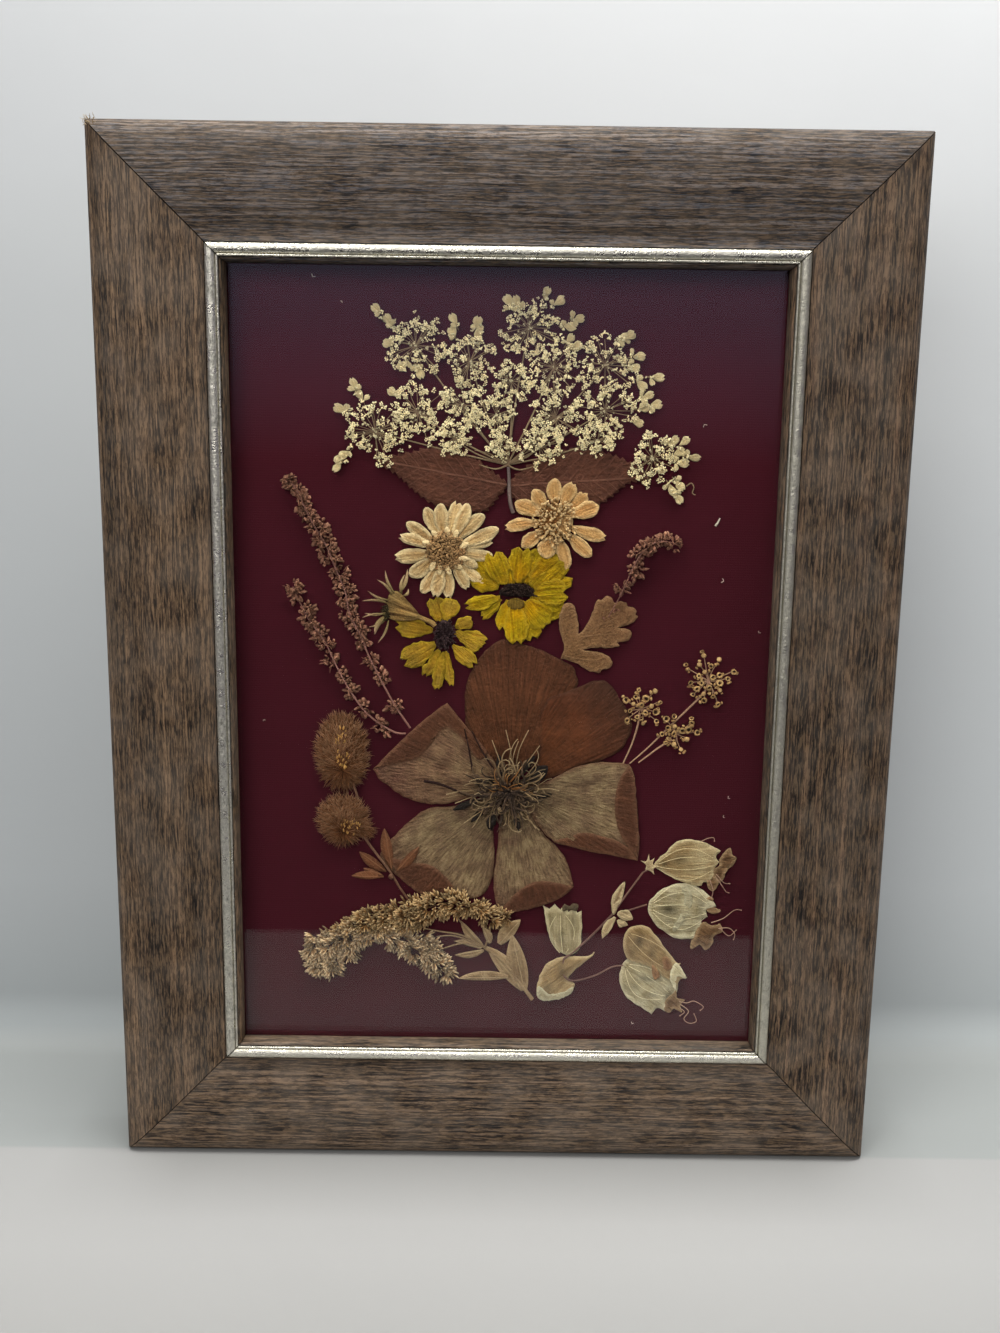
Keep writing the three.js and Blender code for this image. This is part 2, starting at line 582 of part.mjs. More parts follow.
// ---- bladder campion: papery balloons on a forked stem ----
const calyces = [
  { layer: 1, outline: [
    [35, -44.6], [37.6, -42.8], [38.8, -40.2], [43, -38.1], [47.4, -39.4], [51, -41], [54, -43],
    [50.8, -45.6], [48.8, -47.8], [45.6, -49], [40, -47.4], [37.2, -45.8]],
    threads: [[[48.6, -46], [50.8, -51]]] },
  { layer: 1, outline: [
    [34, -54], [36, -50.4], [41, -48.7], [45.4, -50.2], [48.8, -53.6], [46.8, -56.6], [50, -60.4],
    [46, -64.2], [43.4, -62.2], [38, -60.8], [34.8, -57.4]],
    threads: [[[46, -55], [54, -54.2]], [[47, -59], [53, -60.6]]] },
  { layer: 3, outline: [
    [28.6, -60.4], [30.8, -58.4], [33.6, -59], [37.8, -64.5], [41, -68.8], [42.8, -71], [38.6, -70.6],
    [34.4, -70.8], [30.2, -68.2], [28.6, -64]], ripe: true },
  { layer: 1, outline: [
    [30, -67], [27.9, -71.4], [29, -75.8], [35.4, -80], [39, -78.6], [43, -80], [42, -76], [41, -72.4],
    [38.6, -69.4]],
    threads: [[[41, -76], [47.4, -78.6]], [[41.6, -78], [46, -82]]] },
  { layer: 1, outline: [
    [10.1, -55], [14, -54.6], [18, -55.6], [19, -61], [17.6, -65.4], [15, -66], [12.2, -63], [11, -58.5]] },
  { layer: 1, outline: [
    [12.4, -67.6], [18.6, -67], [21.8, -65.4], [17.6, -70.2], [17.2, -74.8], [11, -77], [8.9, -76],
    [9.6, -70.4]], ripe: true },
];

// A flattened balloon with a thicker middle, and any stamen threads that trail from its mouth.
function calyx({ layer: n, outline, threads = [] }) {
  const middle = [0, 1].map((k) => outline.reduce((sum, p) => sum + p[k] / outline.length, 0));
  const inner = outline.map((p) => p.map((v, k) => middle[k] + 0.62 * (v - middle[k])));
  return fuse([
    plate(rounded(outline, 18), layer(n)),
    plate(rounded(inner, 9), layer(n), layerThick + 0.35),
    ...threads.map((line) => plate(stalk(line, 0.35, 1), layer(n))),
  ]);
}

function campionStem() {
  const lift = layer(0);
  const lines = [
    [[15.4, -67.4], [19, -64.5], [22.5, -60.5], [26, -56.3], [28.5, -52.5], [33.2, -45]],
    [[26.2, -56.2], [30, -55], [36, -53.2]],
    [[15.4, -67.4], [14.6, -70.6], [17.4, -72.2], [21.6, -71], [25.6, -68.8], [30, -68.2]],
  ];
  const leaves = [
    [[26.2, -56.6], [28.6, -48.9], 2.3], [[27.2, -56.6], [23.6, -62], 1.8], [[26.4, -56.4], [30.6, -57], 2.8],
    [[34.4, -46], [32.6, -42], 1.8], [[32.4, -45], [36, -45.4], 1.7],
  ];
  return fuse([
    ...lines.map((line) => plate(stalk(line, 0.6, 6), lift)),
    ...leaves.map(([base, tip, width]) => plate(blade(base, tip, width, leafShape), lift)),
  ]);
}

// ---- the whole arrangement ----
function buildFlowers() {
  const group = new THREE.Group();
  const add = (name, geometry, material) => group.add(named(name, geometry, material));
  const discLift = layer(2) + layerThick + 0.1;
  add("lace_umbel", laceUmbel(), laceCream);
  add("lace_umbellet_loose", umbellet(looseUmbellet, 131, layer(0)), laceCream);
  add("russet_leaf_left", plate(toothed(russetLeft, 36, 0.4), layer(1)), russetLeaf);
  add("russet_leaf_right", russetRightLeaf(), russetLeaf);
  add("cream_daisy_petals", petalRing(creamDaisy, layer(2)), driedCream);
  add("cream_daisy_disc", mound(creamDaisy.at, ...creamDaisy.disc, discLift, 0.7, 14), discBrown);
  add("peach_daisy_petals", petalRing(peachDaisy, layer(2)), driedPeach);
  add("peach_daisy_disc", mound(peachDaisy.at, ...peachDaisy.disc, discLift, 0.7), discBrown);
  add("yellow_daisy_petals", petalRing(yellowDaisy, layer(1)), driedYellow);
  add("yellow_daisy_disc", mound(yellowDaisy.at, ...yellowDaisy.disc, layer(2), 0.6), darkDisc);
  add("small_yellow_petals", petalRing(smallYellow, layer(1)), driedYellow);
  add("small_yellow_disc", mound(smallYellow.at, ...smallYellow.disc, layer(2), 0.6), darkDisc);
  add("seed_bud", seedBud(), seedTan);
  add("dock_spike_tall", spike(tallSpike.line, tallSpike.clumps, layer(0), 11), dockBrown);
  add("dock_spike_short", spike(shortSpike.line, shortSpike.clumps, layer(0), 12), dockBrown);
  add("dock_spike_right", spike(rightSpike.line, rightSpike.clumps, layer(3), 13), dockBrown);
  add("lobed_leaf", plate(rounded(lobedLeafOutline, 48), layer(2)), tanLeaf);
  sepals.forEach((s, i) => add(`clematis_sepal_${i + 1}`, sepal(s), i < 2 ? sepalBrown : sepalTaupe));
  add("clematis_stamens", stamenNest(), stamenBrown);
  Object.entries(seedUmbels).forEach(([where, u], i) => {
    add(`seed_umbel_${where}`, seedUmbel(u, 31 + i, layer(where === "low" ? 3 : 2)), seedTan);
  });
  add("clover_head_upper", furryHead([-35, -18.6], 5.9, 9.2, layer(2), 1.3), cloverFur);
  add("clover_head_lower", furryHead([-35.2, -34.4], 5.1, 5.7, layer(2), 1.2), cloverFur);
  add("clover_stem", cloverStem(), tanLeaf);
  Object.entries(plumes).forEach(([where, tufts], i) => {
    add(`goldenrod_plume_${where}`, plume(tufts, layer(2), 41 + i), goldenrodTan);
  });
  add("goldenrod_stem", goldenrodStem(), paleLeaf);
  calyces.forEach((c, i) => add(`campion_calyx_${i + 1}`, calyx(c), c.ripe ? campionTan : campionWhite));
  add("campion_stem", campionStem(), paleLeaf);
  // Local x and y are the picture's, and local z rises to the front.
  group.rotation.x = Math.PI / 2;
  group.position.set(0, rear - boardFront, midHeight);
  return group;
}

const picture = new THREE.Group();
picture.add(buildFrame(), buildFlowers());

export default picture;
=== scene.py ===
# A framed picture of pressed flowers: printed walnut mouldings with a silver bead, glass, a board
# covered in burgundy cloth, and the dried flowers laid on it. Plant places are in millimetres from the
# middle of the opening, x to the right and y up, and "lift" is the height off the cloth.
import random
from math import atan2, cos, exp, hypot, pi, radians, sin, sqrt, tau

import bpy
import numpy as np
from mathutils import Matrix, Vector, noise
from mathutils.geometry import delaunay_2d_cdt


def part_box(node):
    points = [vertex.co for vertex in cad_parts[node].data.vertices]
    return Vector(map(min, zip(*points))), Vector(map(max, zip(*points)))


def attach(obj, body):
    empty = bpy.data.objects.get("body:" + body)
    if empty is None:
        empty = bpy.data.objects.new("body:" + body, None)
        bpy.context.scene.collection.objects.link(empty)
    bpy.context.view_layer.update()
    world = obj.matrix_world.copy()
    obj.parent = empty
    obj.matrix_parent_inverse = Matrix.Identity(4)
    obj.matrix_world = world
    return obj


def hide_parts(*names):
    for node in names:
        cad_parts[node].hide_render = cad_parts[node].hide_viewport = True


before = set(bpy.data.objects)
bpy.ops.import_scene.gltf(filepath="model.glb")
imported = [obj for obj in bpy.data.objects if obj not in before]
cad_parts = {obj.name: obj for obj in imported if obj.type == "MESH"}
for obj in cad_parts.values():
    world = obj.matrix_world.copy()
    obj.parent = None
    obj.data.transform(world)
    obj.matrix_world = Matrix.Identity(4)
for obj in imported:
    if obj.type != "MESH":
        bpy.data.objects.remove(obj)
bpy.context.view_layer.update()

mm = 0.001
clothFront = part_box("cloth_board")[0].y
frameLow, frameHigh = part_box("rail_bottom")[0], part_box("rail_top")[1]
midHeight = (frameLow.z + frameHigh.z) / 2


def paint(red, green, blue):  # a colour as 0 to 255 on screen, for the shaders
    return tuple(((v / 255 + 0.055) / 1.055) ** 2.4 for v in (red, green, blue)) + (1.0,)


ceiling = 2.42  # mm of lift, just short of the glass


def spot(x, y, lift):
    return Vector((x * mm, clothFront - min(ceiling, lift) * mm, midHeight + y * mm))


def meshObject(name, vertices, faces, edges=()):
    mesh = bpy.data.meshes.new(name)
    mesh.from_pydata([tuple(v) for v in vertices], list(edges), faces)
    piece = bpy.data.objects.new(name, mesh)
    bpy.context.collection.objects.link(piece)
    return piece


def setAttribute(piece, name, values, kind="FLOAT"):
    layer = piece.data.attributes.new(name, kind, "POINT")
    flat = np.asarray(values, dtype=np.float32).ravel()
    layer.data.foreach_set("vector" if kind == "FLOAT_VECTOR" else "value", flat)


def smoothFaces(piece):
    piece.data.polygons.foreach_set("use_smooth", [True] * len(piece.data.polygons))


def joined(name, parts):
    if len(parts) > 1:
        joinInto(parts)
    parts[0].name = name
    parts[0].data.name = name
    return parts[0]


def joinInto(parts):
    with bpy.context.temp_override(active_object=parts[0], object=parts[0], selected_objects=parts,
                                   selected_editable_objects=parts):
        bpy.ops.object.join()


def setLay(piece, lay):  # the map that fibres and veins follow, from a value for each vertex
    uv = piece.data.uv_layers.new(name="lay")
    for corner in piece.data.loops:
        uv.data[corner.index].uv = lay[corner.vertex_index % len(lay)]


def standIn(piece, slotName, *nodes):
    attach(piece, "root")
    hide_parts(*nodes)
    return piece


def addNode(tree, kind, inputs=None, **settings):
    made = tree.nodes.new(kind)
    for key, value in settings.items():
        setattr(made, key, value)
    for key, value in (inputs or {}).items():
        if isinstance(value, bpy.types.NodeSocket):
            tree.links.new(value, made.inputs[key])
        else:
            made.inputs[key].default_value = value
    return made


def calc(tree, operation, a, b=0.0, clamp=False):
    made = addNode(tree, "ShaderNodeMath", {0: a, 1: b}, operation=operation, use_clamp=clamp)
    return made.outputs[0]


def fit(tree, value, low, high, toLow=0.0, toHigh=1.0):
    made = addNode(tree, "ShaderNodeMapRange", {0: value, 1: low, 2: high, 3: toLow, 4: toHigh})
    return made.outputs[0]


def blend(tree, factor, a, b, mode="MIX"):
    made = addNode(tree, "ShaderNodeMix", {0: factor, 6: a, 7: b}, data_type="RGBA", blend_type=mode)
    return made.outputs[2]


def tint(tree, colour, tone, mask, amount, mode="MIX"):  # lays a tone over a colour where the mask is high
    return blend(tree, calc(tree, "MULTIPLY", mask, amount), colour, paint(*tone), mode)


def split(tree, vector):  # x, y and z
    return addNode(tree, "ShaderNodeSeparateXYZ", {0: vector}).outputs


def ramp(tree, factor, stops):
    made = addNode(tree, "ShaderNodeValToRGB", {0: factor})
    for i, (place, colour) in enumerate(stops):
        stop = made.color_ramp.elements[i] if i < 2 else made.color_ramp.elements.new(place)
        stop.position = place
        stop.color = colour
    return made.outputs[0]


def attribute(tree, name):
    return addNode(tree, "ShaderNodeAttribute", attribute_name=name).outputs["Fac"]


def shaderGroup(name, inputs, outputs):
    group = bpy.data.node_groups.new(name, "ShaderNodeTree")
    for label, kind, value in inputs:
        socket = group.interface.new_socket(name=label, in_out="INPUT", socket_type=kind)
        if value is not None:
            socket.default_value = value
    for label, kind in outputs:
        group.interface.new_socket(name=label, in_out="OUTPUT", socket_type=kind)
    return group, addNode(group, "NodeGroupInput"), addNode(group, "NodeGroupOutput")


def useGroup(tree, group, inputs):
    return addNode(tree, "ShaderNodeGroup", inputs, node_tree=group)


number = "NodeSocketFloat"


def buildStreaks():  # long fibres that run with the surface's own map
    inputs = [("Lay", "NodeSocketVector", None), ("Across", number, 3.0), ("Along", number, 0.3),
              ("Wander", number, 0.4), ("Contrast", number, 0.2)]
    group, given, out = shaderGroup("fibreStreaks", inputs, [("Streak", number)])
    slow = addNode(group, "ShaderNodeVectorMath", {0: given.outputs["Lay"], 1: (0.25, 0.045, 1.0)},
                   operation="MULTIPLY").outputs[0]
    wander = addNode(group, "ShaderNodeTexNoise", {"Vector": slow, "Scale": 1.0, "Detail": 2.0})
    shift = calc(group, "MULTIPLY", calc(group, "SUBTRACT", wander.outputs[0], 0.5),
                 given.outputs["Wander"])
    apart = split(group, given.outputs["Lay"])
    x = calc(group, "MULTIPLY", calc(group, "ADD", apart[0], shift), given.outputs["Across"])
    y = calc(group, "MULTIPLY", apart[1], given.outputs["Along"])
    place = addNode(group, "ShaderNodeCombineXYZ", {0: x, 1: y, 2: apart[2]})
    grain = addNode(group, "ShaderNodeTexNoise", {"Vector": place.outputs[0], "Scale": 1.0, "Detail": 4.0,
                                                  "Roughness": 0.6})
    low = calc(group, "SUBTRACT", 0.5, given.outputs["Contrast"])
    high = calc(group, "ADD", 0.5, given.outputs["Contrast"])
    group.links.new(fit(group, grain.outputs[0], low, high), out.inputs[0])
    return group


def buildMottle():  # soft blotches, and finer ones over them
    inputs = [("Size", number, 3.0), ("Contrast", number, 0.2), ("Seed", number, 0.0)]
    group, given, out = shaderGroup("mottle", inputs, [("Mottle", number), ("Speck", number)])
    coords = addNode(group, "ShaderNodeTexCoord")
    scale = calc(group, "DIVIDE", 1000.0, given.outputs["Size"])
    wide = addNode(group, "ShaderNodeTexNoise", {"Vector": coords.outputs["Object"], "Scale": scale,
                                                 "W": given.outputs["Seed"], "Detail": 3.0},
                   noise_dimensions="4D")
    fine = addNode(group, "ShaderNodeTexNoise", {"Vector": coords.outputs["Object"],
                                                 "Scale": calc(group, "MULTIPLY", scale, 7.0),
                                                 "Detail": 2.0})
    low = calc(group, "SUBTRACT", 0.5, given.outputs["Contrast"])
    high = calc(group, "ADD", 0.5, given.outputs["Contrast"])
    group.links.new(fit(group, wide.outputs[0], low, high), out.inputs[0])
    group.links.new(fit(group, fine.outputs[0], 0.35, 0.65), out.inputs[1])
    return group


def buildVeins():  # a midrib with slanted side veins, on a map whose x is zero along the midrib
    inputs = [("Lay", "NodeSocketVector", None), ("Spacing", number, 2.5), ("Slant", number, 0.9),
              ("Midrib", number, 0.3)]
    group, given, out = shaderGroup("leafVeins", inputs, [("Vein", number)])
    bend = addNode(group, "ShaderNodeTexNoise", {"Vector": given.outputs["Lay"], "Scale": 0.3,
                                                 "Detail": 2.0})
    apart = split(group, given.outputs["Lay"])
    x = calc(group, "ABSOLUTE", apart[0])
    lean = calc(group, "MULTIPLY", x, given.outputs["Slant"])
    along = calc(group, "ADD", calc(group, "SUBTRACT", apart[1], lean), bend.outputs[0])
    step = calc(group, "FRACT", calc(group, "DIVIDE", along, given.outputs["Spacing"]))
    away = calc(group, "ABSOLUTE", calc(group, "SUBTRACT", step, 0.5))
    side = fit(group, away, 0.0, 0.11, 1.0, 0.0)
    rib = fit(group, x, given.outputs["Midrib"], calc(group, "MULTIPLY", given.outputs["Midrib"], 2.0),
              1.0, 0.0)
    group.links.new(calc(group, "MAXIMUM", calc(group, "MULTIPLY", side, 0.55), rib), out.inputs[0])
    return group


def buildDust():  # sparse pale specks
    inputs = [("Per metre", number, 160.0), ("Size", number, 0.06)]
    group, given, out = shaderGroup("dust", inputs, [("Dust", number)])
    coords = addNode(group, "ShaderNodeTexCoord")
    cells = addNode(group, "ShaderNodeTexVoronoi", {"Vector": coords.outputs["Object"],
                                                    "Scale": given.outputs["Per metre"]})
    chosen = split(group, cells.outputs["Color"])
    kept = calc(group, "GREATER_THAN", chosen[0], 0.8)
    size = calc(group, "MULTIPLY", given.outputs["Size"], chosen[1])
    grain = calc(group, "LESS_THAN", cells.outputs["Distance"], size)
    group.links.new(calc(group, "MULTIPLY", grain, kept), out.inputs[0])
    return group


streaks = buildStreaks()
mottle = buildMottle()
veins = buildVeins()
dust = buildDust()


def newMaterial(name):
    material = bpy.data.materials.new(name)
    material.use_nodes = True
    tree = material.node_tree
    return material, tree, tree.nodes["Principled BSDF"]


def mapped(tree):
    return addNode(tree, "ShaderNodeUVMap", uv_map="lay").outputs[0]


def bumped(tree, shader, height, strength, distance=0.0003):
    bump = addNode(tree, "ShaderNodeBump", {"Strength": strength, "Distance": distance, "Height": height})
    tree.links.new(bump.outputs[0], shader.inputs["Normal"])


# Dry plant tissue. colours run from root to tip, fibre is (across, along) lines per mm, veinMap is
# (spacing, slant, midrib) in mm, and rim is the colour of the edge.
def tissue(name, colours, shadow=(90, 70, 60), fibre=(3.0, 0.25), streak=0.5, blotch=None,
           blotchAmount=0.5, blotchSize=3.0, vein=None, veinMap=(2.6, 0.9, 0.22), toneRange=(0.78, 1.18),
           rough=0.72, relief=0.5, rim=None, crisp=0.2):
    material, tree, shader = newMaterial(name)
    stops = [(i / max(1, len(colours) - 1), paint(*c)) for i, c in enumerate(colours)]
    stops = stops if len(stops) > 1 else stops + [(1.0, stops[0][1])]
    colour = ramp(tree, attribute(tree, "along"), stops)
    lines = useGroup(tree, streaks, {"Lay": mapped(tree), "Across": fibre[0], "Along": fibre[1],
                                     "Contrast": crisp}).outputs[0]
    spots = useGroup(tree, mottle, {"Size": blotchSize, "Seed": float(len(name))})
    if blotch:
        colour = tint(tree, colour, blotch, spots.outputs[0], blotchAmount)
    # the streaks' dark side takes the shadow colour: partly the fibres' own colour, partly painted shade of
    # the crinkles
    dark = calc(tree, "MULTIPLY", calc(tree, "SUBTRACT", 1.0, lines), streak)
    colour = blend(tree, dark, colour, paint(*shadow), "MULTIPLY")
    if rim:
        near = fit(tree, attribute(tree, "edge"), 0.0, 0.9, 0.7, 0.0)
        colour = blend(tree, near, colour, paint(*rim))
    height = calc(tree, "ADD", lines, calc(tree, "MULTIPLY", spots.outputs[1], 0.6))
    if vein:
        net = useGroup(tree, veins, {"Lay": mapped(tree), "Spacing": veinMap[0], "Slant": veinMap[1],
                                     "Midrib": veinMap[2]}).outputs[0]
        colour = tint(tree, colour, vein, net, 0.75)
        height = calc(tree, "ADD", height, net)
    tone = fit(tree, attribute(tree, "tone"), 0.0, 1.0, *toneRange)
    speck = fit(tree, spots.outputs[1], 0.0, 1.0, 0.9, 1.08)
    level = addNode(tree, "ShaderNodeHueSaturation", {"Value": calc(tree, "MULTIPLY", tone, speck),
                                                      "Color": colour})
    tree.links.new(level.outputs[0], shader.inputs["Base Color"])
    tree.links.new(fit(tree, spots.outputs[0], 0.0, 1.0, rough - 0.08, rough + 0.1),
                   shader.inputs["Roughness"])
    shader.inputs["Specular IOR Level"].default_value = 0.1
    bumped(tree, shader, height, relief)
    return material


def tissues(looks):
    return {name: tissue(name, **look) for name, look in looks.items()}


# The camera is level with the upper third of the picture and looks a little down.
view = {
    "place": (-0.00128, -0.3086, 0.1792), "right": (0.9999, 0.0004, 0.0140),
    "up": (-0.01374, 0.2100, 0.9776), "forward": (0.00258, 0.9777, -0.2100), "lens": 39.08,
}


def setCamera():
    lens = bpy.data.cameras.new("camera")
    lens.lens = view["lens"]
    lens.sensor_width = 36.0
    lens.sensor_fit = "AUTO"
    lens.clip_start, lens.clip_end = 0.01, 10.0
    camera = bpy.data.objects.new("camera", lens)
    bpy.context.collection.objects.link(camera)
    axes = [Vector(view["right"]), Vector(view["up"]), -Vector(view["forward"])]
    turn = Matrix([[axis[row] for axis in axes] for row in range(3)]).to_4x4()
    camera.matrix_world = Matrix.Translation(Vector(view["place"])) @ turn
    bpy.context.scene.camera = camera


# A pale floor that sweeps up into a wall lit by its own lamp. Lengths in metres, tones 0 to 255.
# The wall tones are painted light: dark at the foot and brighter towards the top.
stage = {
    "floorFront": -0.128, "sheetEnd": -0.0065, "sweepStart": 0.038, "sweepRadius": 0.012, "wallTop": 0.62,
    "half": 0.55, "floor": (184, 184, 182), "floorBehind": (172, 176, 174),
    "wall": [
        (0.0, (178, 184, 183)), (0.17, (207, 212, 212)), (0.46, (217, 222, 222)), (0.73, (226, 230, 230)),
        (1.0, (243, 246, 246)),
    ],
}


def buildStage():
    rows = [(stage["floorFront"], -0.0002), (-0.05, -0.0002), (stage["sweepStart"], -0.0002)]
    bends = 8
    for i in range(1, bends + 1):
        a = 0.5 * pi * i / bends
        rows.append((stage["sweepStart"] + stage["sweepRadius"] * sin(a),
                     stage["sweepRadius"] * (1 - cos(a)) - 0.0002))
    rows += [(rows[-1][0], z) for z in (0.2, 0.35, stage["wallTop"])]
    columns = 9
    xs = [stage["half"] * (2 * i / (columns - 1) - 1) for i in range(columns)]
    vertices = [(x, y, z) for y, z in rows for x in xs]
    faces = [(r * columns + c, r * columns + c + 1, (r + 1) * columns + c + 1, (r + 1) * columns + c)
             for r in range(len(rows) - 1) for c in range(columns - 1)]
    sweep = meshObject("backdrop", vertices, faces)
    smoothFaces(sweep)
    material, tree, shader = newMaterial("palePaper")
    coords = addNode(tree, "ShaderNodeTexCoord").outputs["Object"]
    apart = split(tree, coords)
    rise = fit(tree, apart[2], 0.0, 0.26)
    # painted light: the ramp paints the wall darker at its foot and brighter towards the top
    wall = ramp(tree, rise, [(place, paint(*tone)) for place, tone in stage["wall"]])
    # painted shade: the left of the wall is blended towards grey
    wall = blend(tree, fit(tree, apart[0], -0.16, 0.16, 0.36, 0.0), wall, paint(120, 126, 128))
    sheet = fit(tree, apart[1], stage["sheetEnd"] - 0.0006, stage["sheetEnd"] + 0.0006)
    floor = blend(tree, sheet, paint(*stage["floor"]), paint(*stage["floorBehind"]))
    # painted shade over the front of the floor, nearest the camera
    floor = blend(tree, fit(tree, apart[1], -0.12, -0.045, 0.75, 0.0), floor, paint(140, 140, 136))
    # painted shadow on the floor just in front of the frame's foot
    foot = calc(tree, "MULTIPLY", fit(tree, apart[1], -0.034, -0.009, 0.0, 0.4),
                fit(tree, calc(tree, "ABSOLUTE", apart[0]), 0.07, 0.1, 1.0, 0.0))
    floor = blend(tree, foot, floor, paint(120, 120, 116))
    colour = blend(tree, fit(tree, apart[2], 0.0005, 0.004), floor, wall)
    soft = useGroup(tree, mottle, {"Size": 60.0, "Seed": 2.0})
    colour = tint(tree, colour, (150, 150, 150), soft.outputs[0], 0.05)
    tree.links.new(colour, shader.inputs["Base Color"])
    shader.inputs["Roughness"].default_value = 0.9
    bumped(tree, shader, soft.outputs[1], 0.05)
    sweep.data.materials.append(material)


# size in metres, power in watts
lamps = {
    "overhead": {"at": (0.0, -0.1, 0.75), "aim": (0, 0.03, 0.1), "size": (0.7, 0.5), "power": 2.9},
    "front": {"at": (-0.25, -0.85, 0.55), "aim": (0, 0, 0.11), "size": (0.7, 0.5), "power": 3.8},
    "wall": {"at": (0.1, -0.12, 0.6), "aim": (0.04, 0.05, 0.3), "size": (0.6, 0.1), "power": 1.75},
}


def buildLights():
    for name, lamp in lamps.items():
        light = bpy.data.lights.new(name, "AREA")
        light.shape = "RECTANGLE"
        light.size, light.size_y = lamp["size"]
        light.energy = lamp["power"]
        light.color = (1.0, 0.985, 0.96)
        holder = bpy.data.objects.new(name, light)
        bpy.context.collection.objects.link(holder)
        holder.location = lamp["at"]
        away = Vector(lamp["aim"]) - Vector(lamp["at"])
        holder.rotation_euler = away.to_track_quat("-Z", "Y").to_euler()
    world = bpy.data.worlds.new("room")
    bpy.context.scene.world = world
    world.use_nodes = True
    tree = world.node_tree
    coords = addNode(tree, "ShaderNodeTexCoord").outputs["Generated"]
    apart = split(tree, coords)
    # the room behind the camera is dim, with a bright ceiling
    sky = ramp(tree, fit(tree, apart[2], -1.0, 1.0),
               [(0.0, (0.05, 0.05, 0.05, 1)), (0.465, (0.03, 0.025, 0.03, 1)), (0.52, (0.9, 0.84, 1.2, 1)),
                (0.56, (0.7, 0.66, 0.86, 1)), (0.64, (0.2, 0.19, 0.21, 1)), (0.8, (0.5, 0.5, 0.53, 1)),
                (1.0, (0.9, 0.92, 0.95, 1))])
    back = tree.nodes["Background"]
    tree.links.new(sky, back.inputs["Color"])
    back.inputs["Strength"].default_value = 0.5
    bpy.context.scene.view_settings.view_transform = "Standard"
    bpy.context.scene.view_settings.look = "None"


setCamera()
buildStage()
buildLights()
print("stage: camera, backdrop and lights")


# The mouldings' section: x from the outer edge inwards, y up from the rear, both in mm.
moulding = {
    "width": 27.0, "rabbet": 6.5, "lipFoot": 12.6, "mitreGap": 0.3, "beadSlot": (23.08, 26.12),
    "bead": (23.2, 26.0), "beadSeat": 15.1, "beadFlange": (25.7, 16.12, 0.26), "beadMiddle": 24.3,
    "beadHalf": 1.08, "beadSide": 16.0, "beadCrown": 16.75,
}
mouldingFace = [
    (0, 14.6), (0.25, 15.7), (0.9, 16.6), (2.1, 17.35), (3.8, 17.85), (6, 18), (9, 17.9), (12.5, 17.6),
    (16, 17.05), (19, 16.4), (21.2, 15.95), (22.4, 15.95), (23.08, 16.2),
]
mouldingLip = [(26.12, 15.9), (26.5, 15.6), (26.85, 14.8), (27, 13.9)]


def smoothLine(points, step=0.5, closed=False):  # a third value on a point makes it a corner
    count = len(points)
    flat = [Vector(p[:2]) for p in points]
    made = []
    for i in range(count if closed else count - 1):
        a, b = flat[i], flat[(i + 1) % count]
        before = flat[i - 1] if (closed or i > 0) else a
        after = flat[(i + 2) % count] if (closed or i + 2 < count) else b
        leave = (b - a) if len(points[i]) > 2 else (b - before) / 2
        arrive = (b - a) if len(points[(i + 1) % count]) > 2 else (after - a) / 2
        steps = max(1, round((b - a).length / step))
        for k in range(steps):
            t = k / steps
            h1, h2 = 2 * t ** 3 - 3 * t ** 2 + 1, t ** 3 - 2 * t ** 2 + t
            h3, h4 = -2 * t ** 3 + 3 * t ** 2, t ** 3 - t ** 2
            made.append(a * h1 + leave * h2 + b * h3 + arrive * h4)
    if not closed:
        made.append(flat[-1])
    return [(p.x, p.y) for p in made]


# side: (inward, along, where the middle of its outer edge is)
railSides = {
    "top": (Vector((0, 0, -1)), Vector((-1, 0, 0)), Vector((0, 0, frameHigh.z))),
    "right": (Vector((-1, 0, 0)), Vector((0, 0, 1)), Vector((frameHigh.x, 0, midHeight))),
    "bottom": (Vector((0, 0, 1)), Vector((1, 0, 0)), Vector((0, 0, frameLow.z))),
    "left": (Vector((1, 0, 0)), Vector((0, 0, -1)), Vector((frameLow.x, 0, midHeight))),
}


# Sweeps a closed section along one side, with both ends mitred. wobble(x, s) gives a change in height.
def mouldedBar(name, side, section, stations, wobble=None, seed=0.0):
    inward, along, middle = railSides[side]
    half = (frameHigh.z - frameLow.z if side in ("left", "right") else frameHigh.x - frameLow.x) / 2 / mm
    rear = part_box("rail_" + side)[1].y
    vertices, lay, faces = [], [], []
    count = len(section)
    run = [0.0]
    for i in range(1, count + 1):
        run.append(run[-1] + (Vector(section[i % count]) - Vector(section[i - 1])).length)
    for k in range(stations + 1):
        for i, (x, y) in enumerate(section):
            reach = half - x - moulding["mitreGap"] / 2
            s = reach * (2 * k / stations - 1)
            rise = y + (wobble(x, s) if wobble and 0 < k < stations else 0.0)
            vertices.append(middle + inward * x * mm + along * s * mm + Vector((0, rear - rise * mm, 0)))
            lay.append((run[i], s + seed))
    for k in range(stations):
        for i in range(count):
            j = (i + 1) % count
            faces.append((k * count + i, k * count + j, (k + 1) * count + j, (k + 1) * count + i))
    faces += [tuple(reversed(range(count))), tuple(range(stations * count, (stations + 1) * count))]
    bar = meshObject(name, vertices, faces)
    bar.data.polygons.foreach_set("use_smooth", [True] * (len(faces) - 2) + [False, False])
    setLay(bar, lay)
    bar.data.set_sharp_from_angle(angle=radians(50))
    return bar
